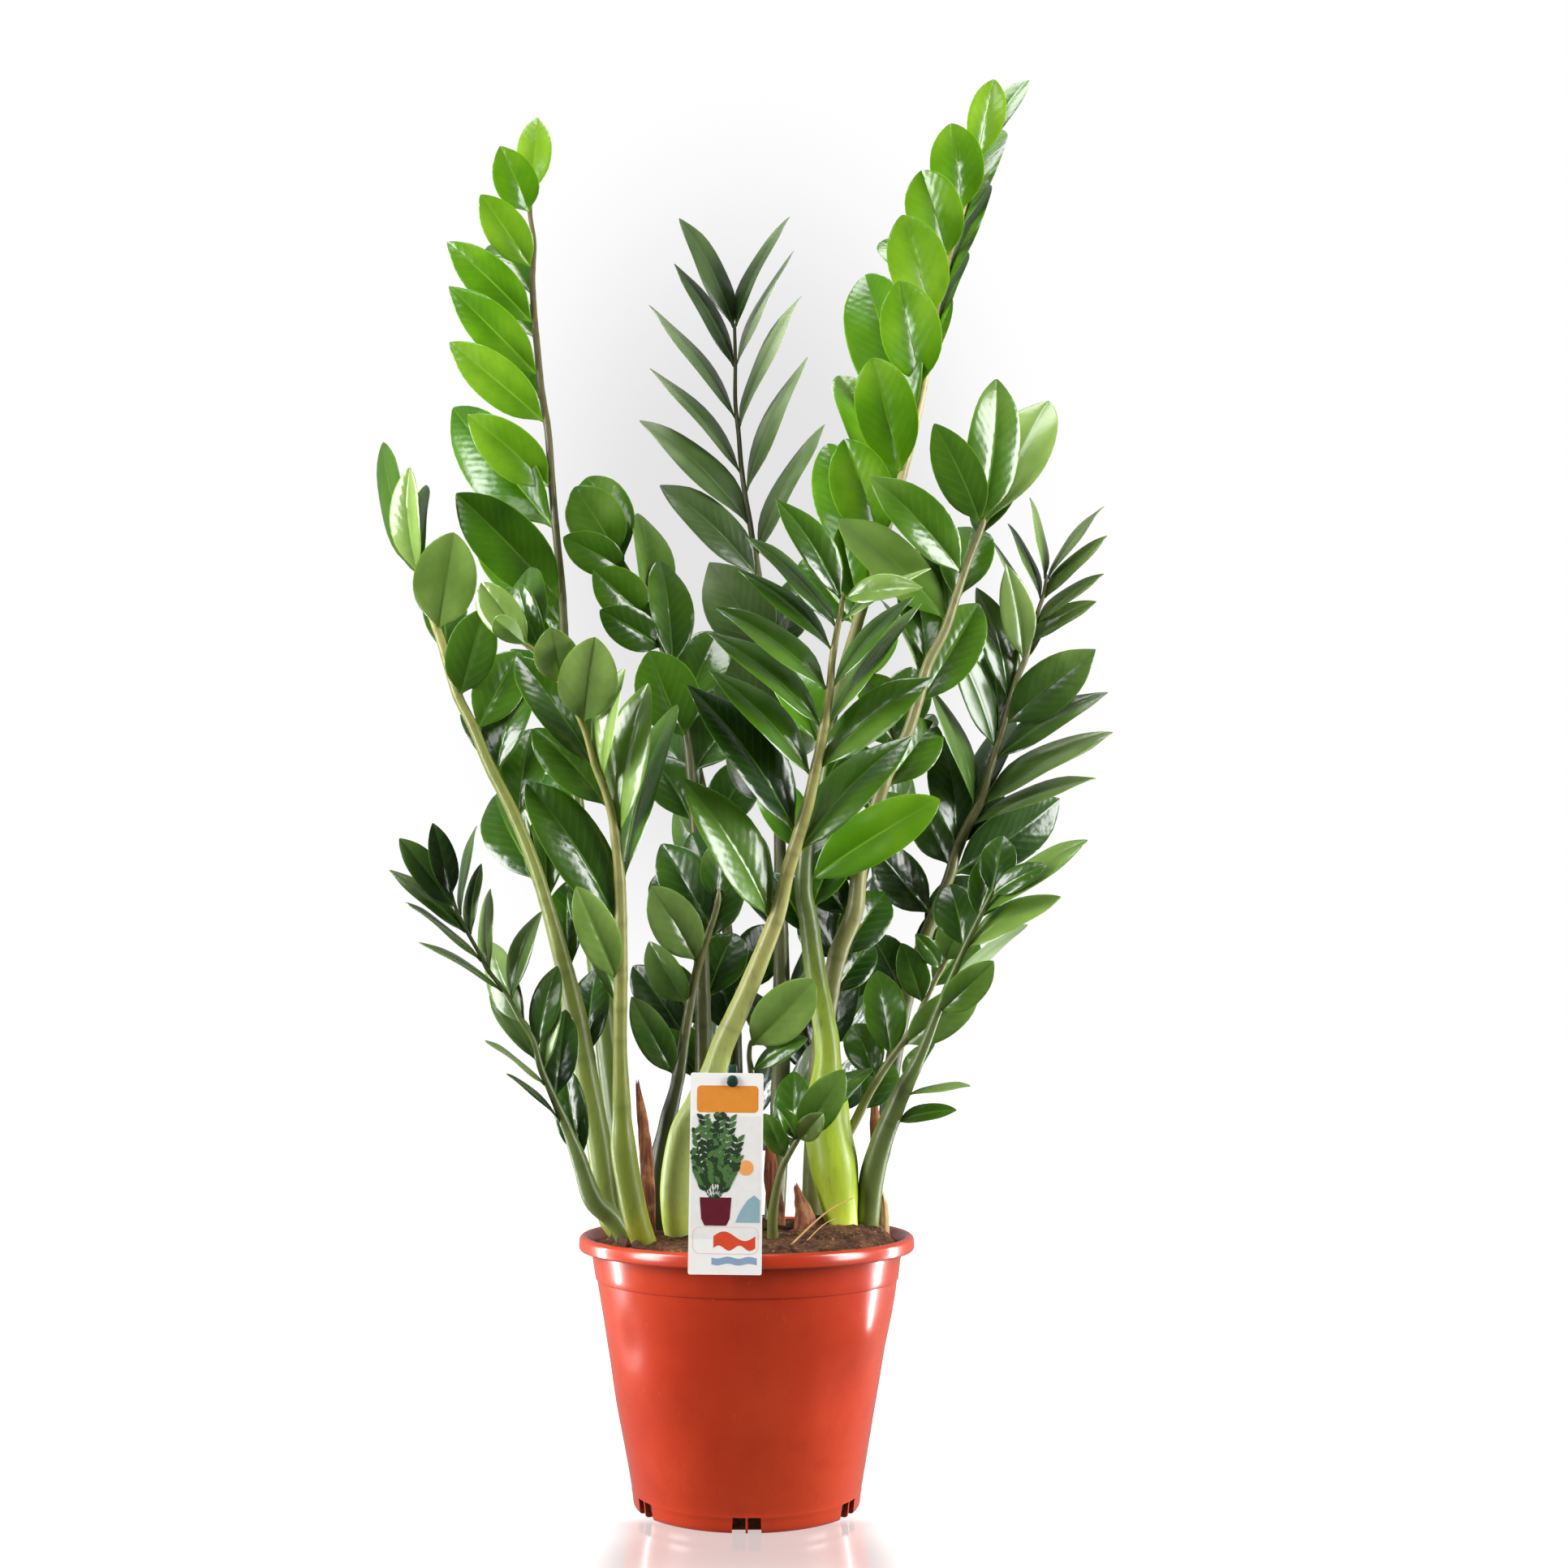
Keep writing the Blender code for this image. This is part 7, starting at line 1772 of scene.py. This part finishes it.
def lighting():
    w = bpy.data.worlds.new("studio")
    w.use_nodes = True
    SCENE.world = w
    t = w.node_tree
    bg = t.nodes["Background"]
    tc = t.nodes.new("ShaderNodeTexCoord")
    sep = t.nodes.new("ShaderNodeSeparateXYZ")
    t.links.new(tc.outputs["Generated"], sep.inputs[0])
    mr = t.nodes.new("ShaderNodeMapRange")
    mr.interpolation_type = "SMOOTHSTEP"
    t.links.new(sep.outputs["Y"], mr.inputs[0])
    mr.inputs[1].default_value = -0.6
    mr.inputs[2].default_value = 0.5
    mr.inputs[3].default_value = 0.10
    mr.inputs[4].default_value = 0.34
    # the backdrop is white and a little greyer behind the plant: a painted shade halo round the plant
    def op(kind, a, b):
        m = t.nodes.new("ShaderNodeMath")
        m.operation = kind
        for k, v in enumerate((a, b)):
            if isinstance(v, float):
                m.inputs[k].default_value = v
            else:
                t.links.new(v, m.inputs[k])
        return m.outputs[0]
    mid = (at(925, 700, 0.0) - Vector(STATION))
    edge = (at(1310, 700, 0.0) - Vector(STATION))
    high = (at(925, 120, 0.0) - Vector(STATION))
    fwd = op("MAXIMUM", sep.outputs["Y"], 0.05)
    px = op("DIVIDE", op("SUBTRACT", op("DIVIDE", sep.outputs["X"], fwd), mid.x / mid.y), edge.x / edge.y - mid.x / mid.y)
    pz = op("DIVIDE", op("SUBTRACT", op("DIVIDE", sep.outputs["Z"], fwd), mid.z / mid.y), high.z / high.y - mid.z / mid.y)
    rad = op("SQRT", op("ADD", op("MULTIPLY", px, px), op("MULTIPLY", pz, pz)), 0.0)
    back = t.nodes.new("ShaderNodeMapRange")
    back.interpolation_type = "SMOOTHSTEP"
    t.links.new(rad, back.inputs[0])
    back.inputs[1].default_value = 0.30
    back.inputs[2].default_value = 1.06
    back.inputs[3].default_value = 0.78
    back.inputs[4].default_value = 1.0
    lp = t.nodes.new("ShaderNodeLightPath")
    mx = t.nodes.new("ShaderNodeMix")
    mx.data_type = "FLOAT"
    t.links.new(lp.outputs["Is Camera Ray"], mx.inputs[0])
    t.links.new(mr.outputs[0], mx.inputs[2])
    t.links.new(back.outputs[0], mx.inputs[3])
    t.links.new(mx.outputs[0], bg.inputs["Strength"])
    bg.inputs["Color"].default_value = (1, 1, 1, 1)
    area("key", (-0.9, -2.2, 2.0), (0.0, 0.0, 0.5), 0.8, 0.8, 11)
    area("side_left", (-1.45, -0.60, 0.80), (0.0, 0.0, 0.55), 0.6, 1.4, 46)
    area("side_right", (1.45, -0.50, 0.80), (0.0, 0.0, 0.55), 0.6, 1.4, 44)
    area("top", (0.0, 0.2, 2.5), (0.0, 0.0, 0.5), 1.0, 1.0, 22)
    area("strip_left", (-0.46, 0.10, 0.16), (0.0, 0.0, 0.14), 0.035, 0.30, 1.5)
    area("strip_right", (0.46, 0.12, 0.16), (0.0, 0.0, 0.14), 0.032, 0.30, 1.6)


def camera():
    c = bpy.data.cameras.new("camera")
    c.sensor_width = 36.0
    c.sensor_fit = "HORIZONTAL"
    c.lens = GRID_PER_RAY * 36.0 / 1932.0
    c.shift_x = (966.0 - GRID_G0) / 1932.0
    c.clip_start = 0.05
    c.clip_end = 60.0
    o = bpy.data.objects.new("camera", c)
    o.location = STATION
    o.rotation_euler = (math.pi / 2 + STATION_TILT, 0.0, 0.0)
    COLL.objects.link(o)
    SCENE.camera = o


stage_set()
lighting()
camera()

bpy.context.view_layer.update()
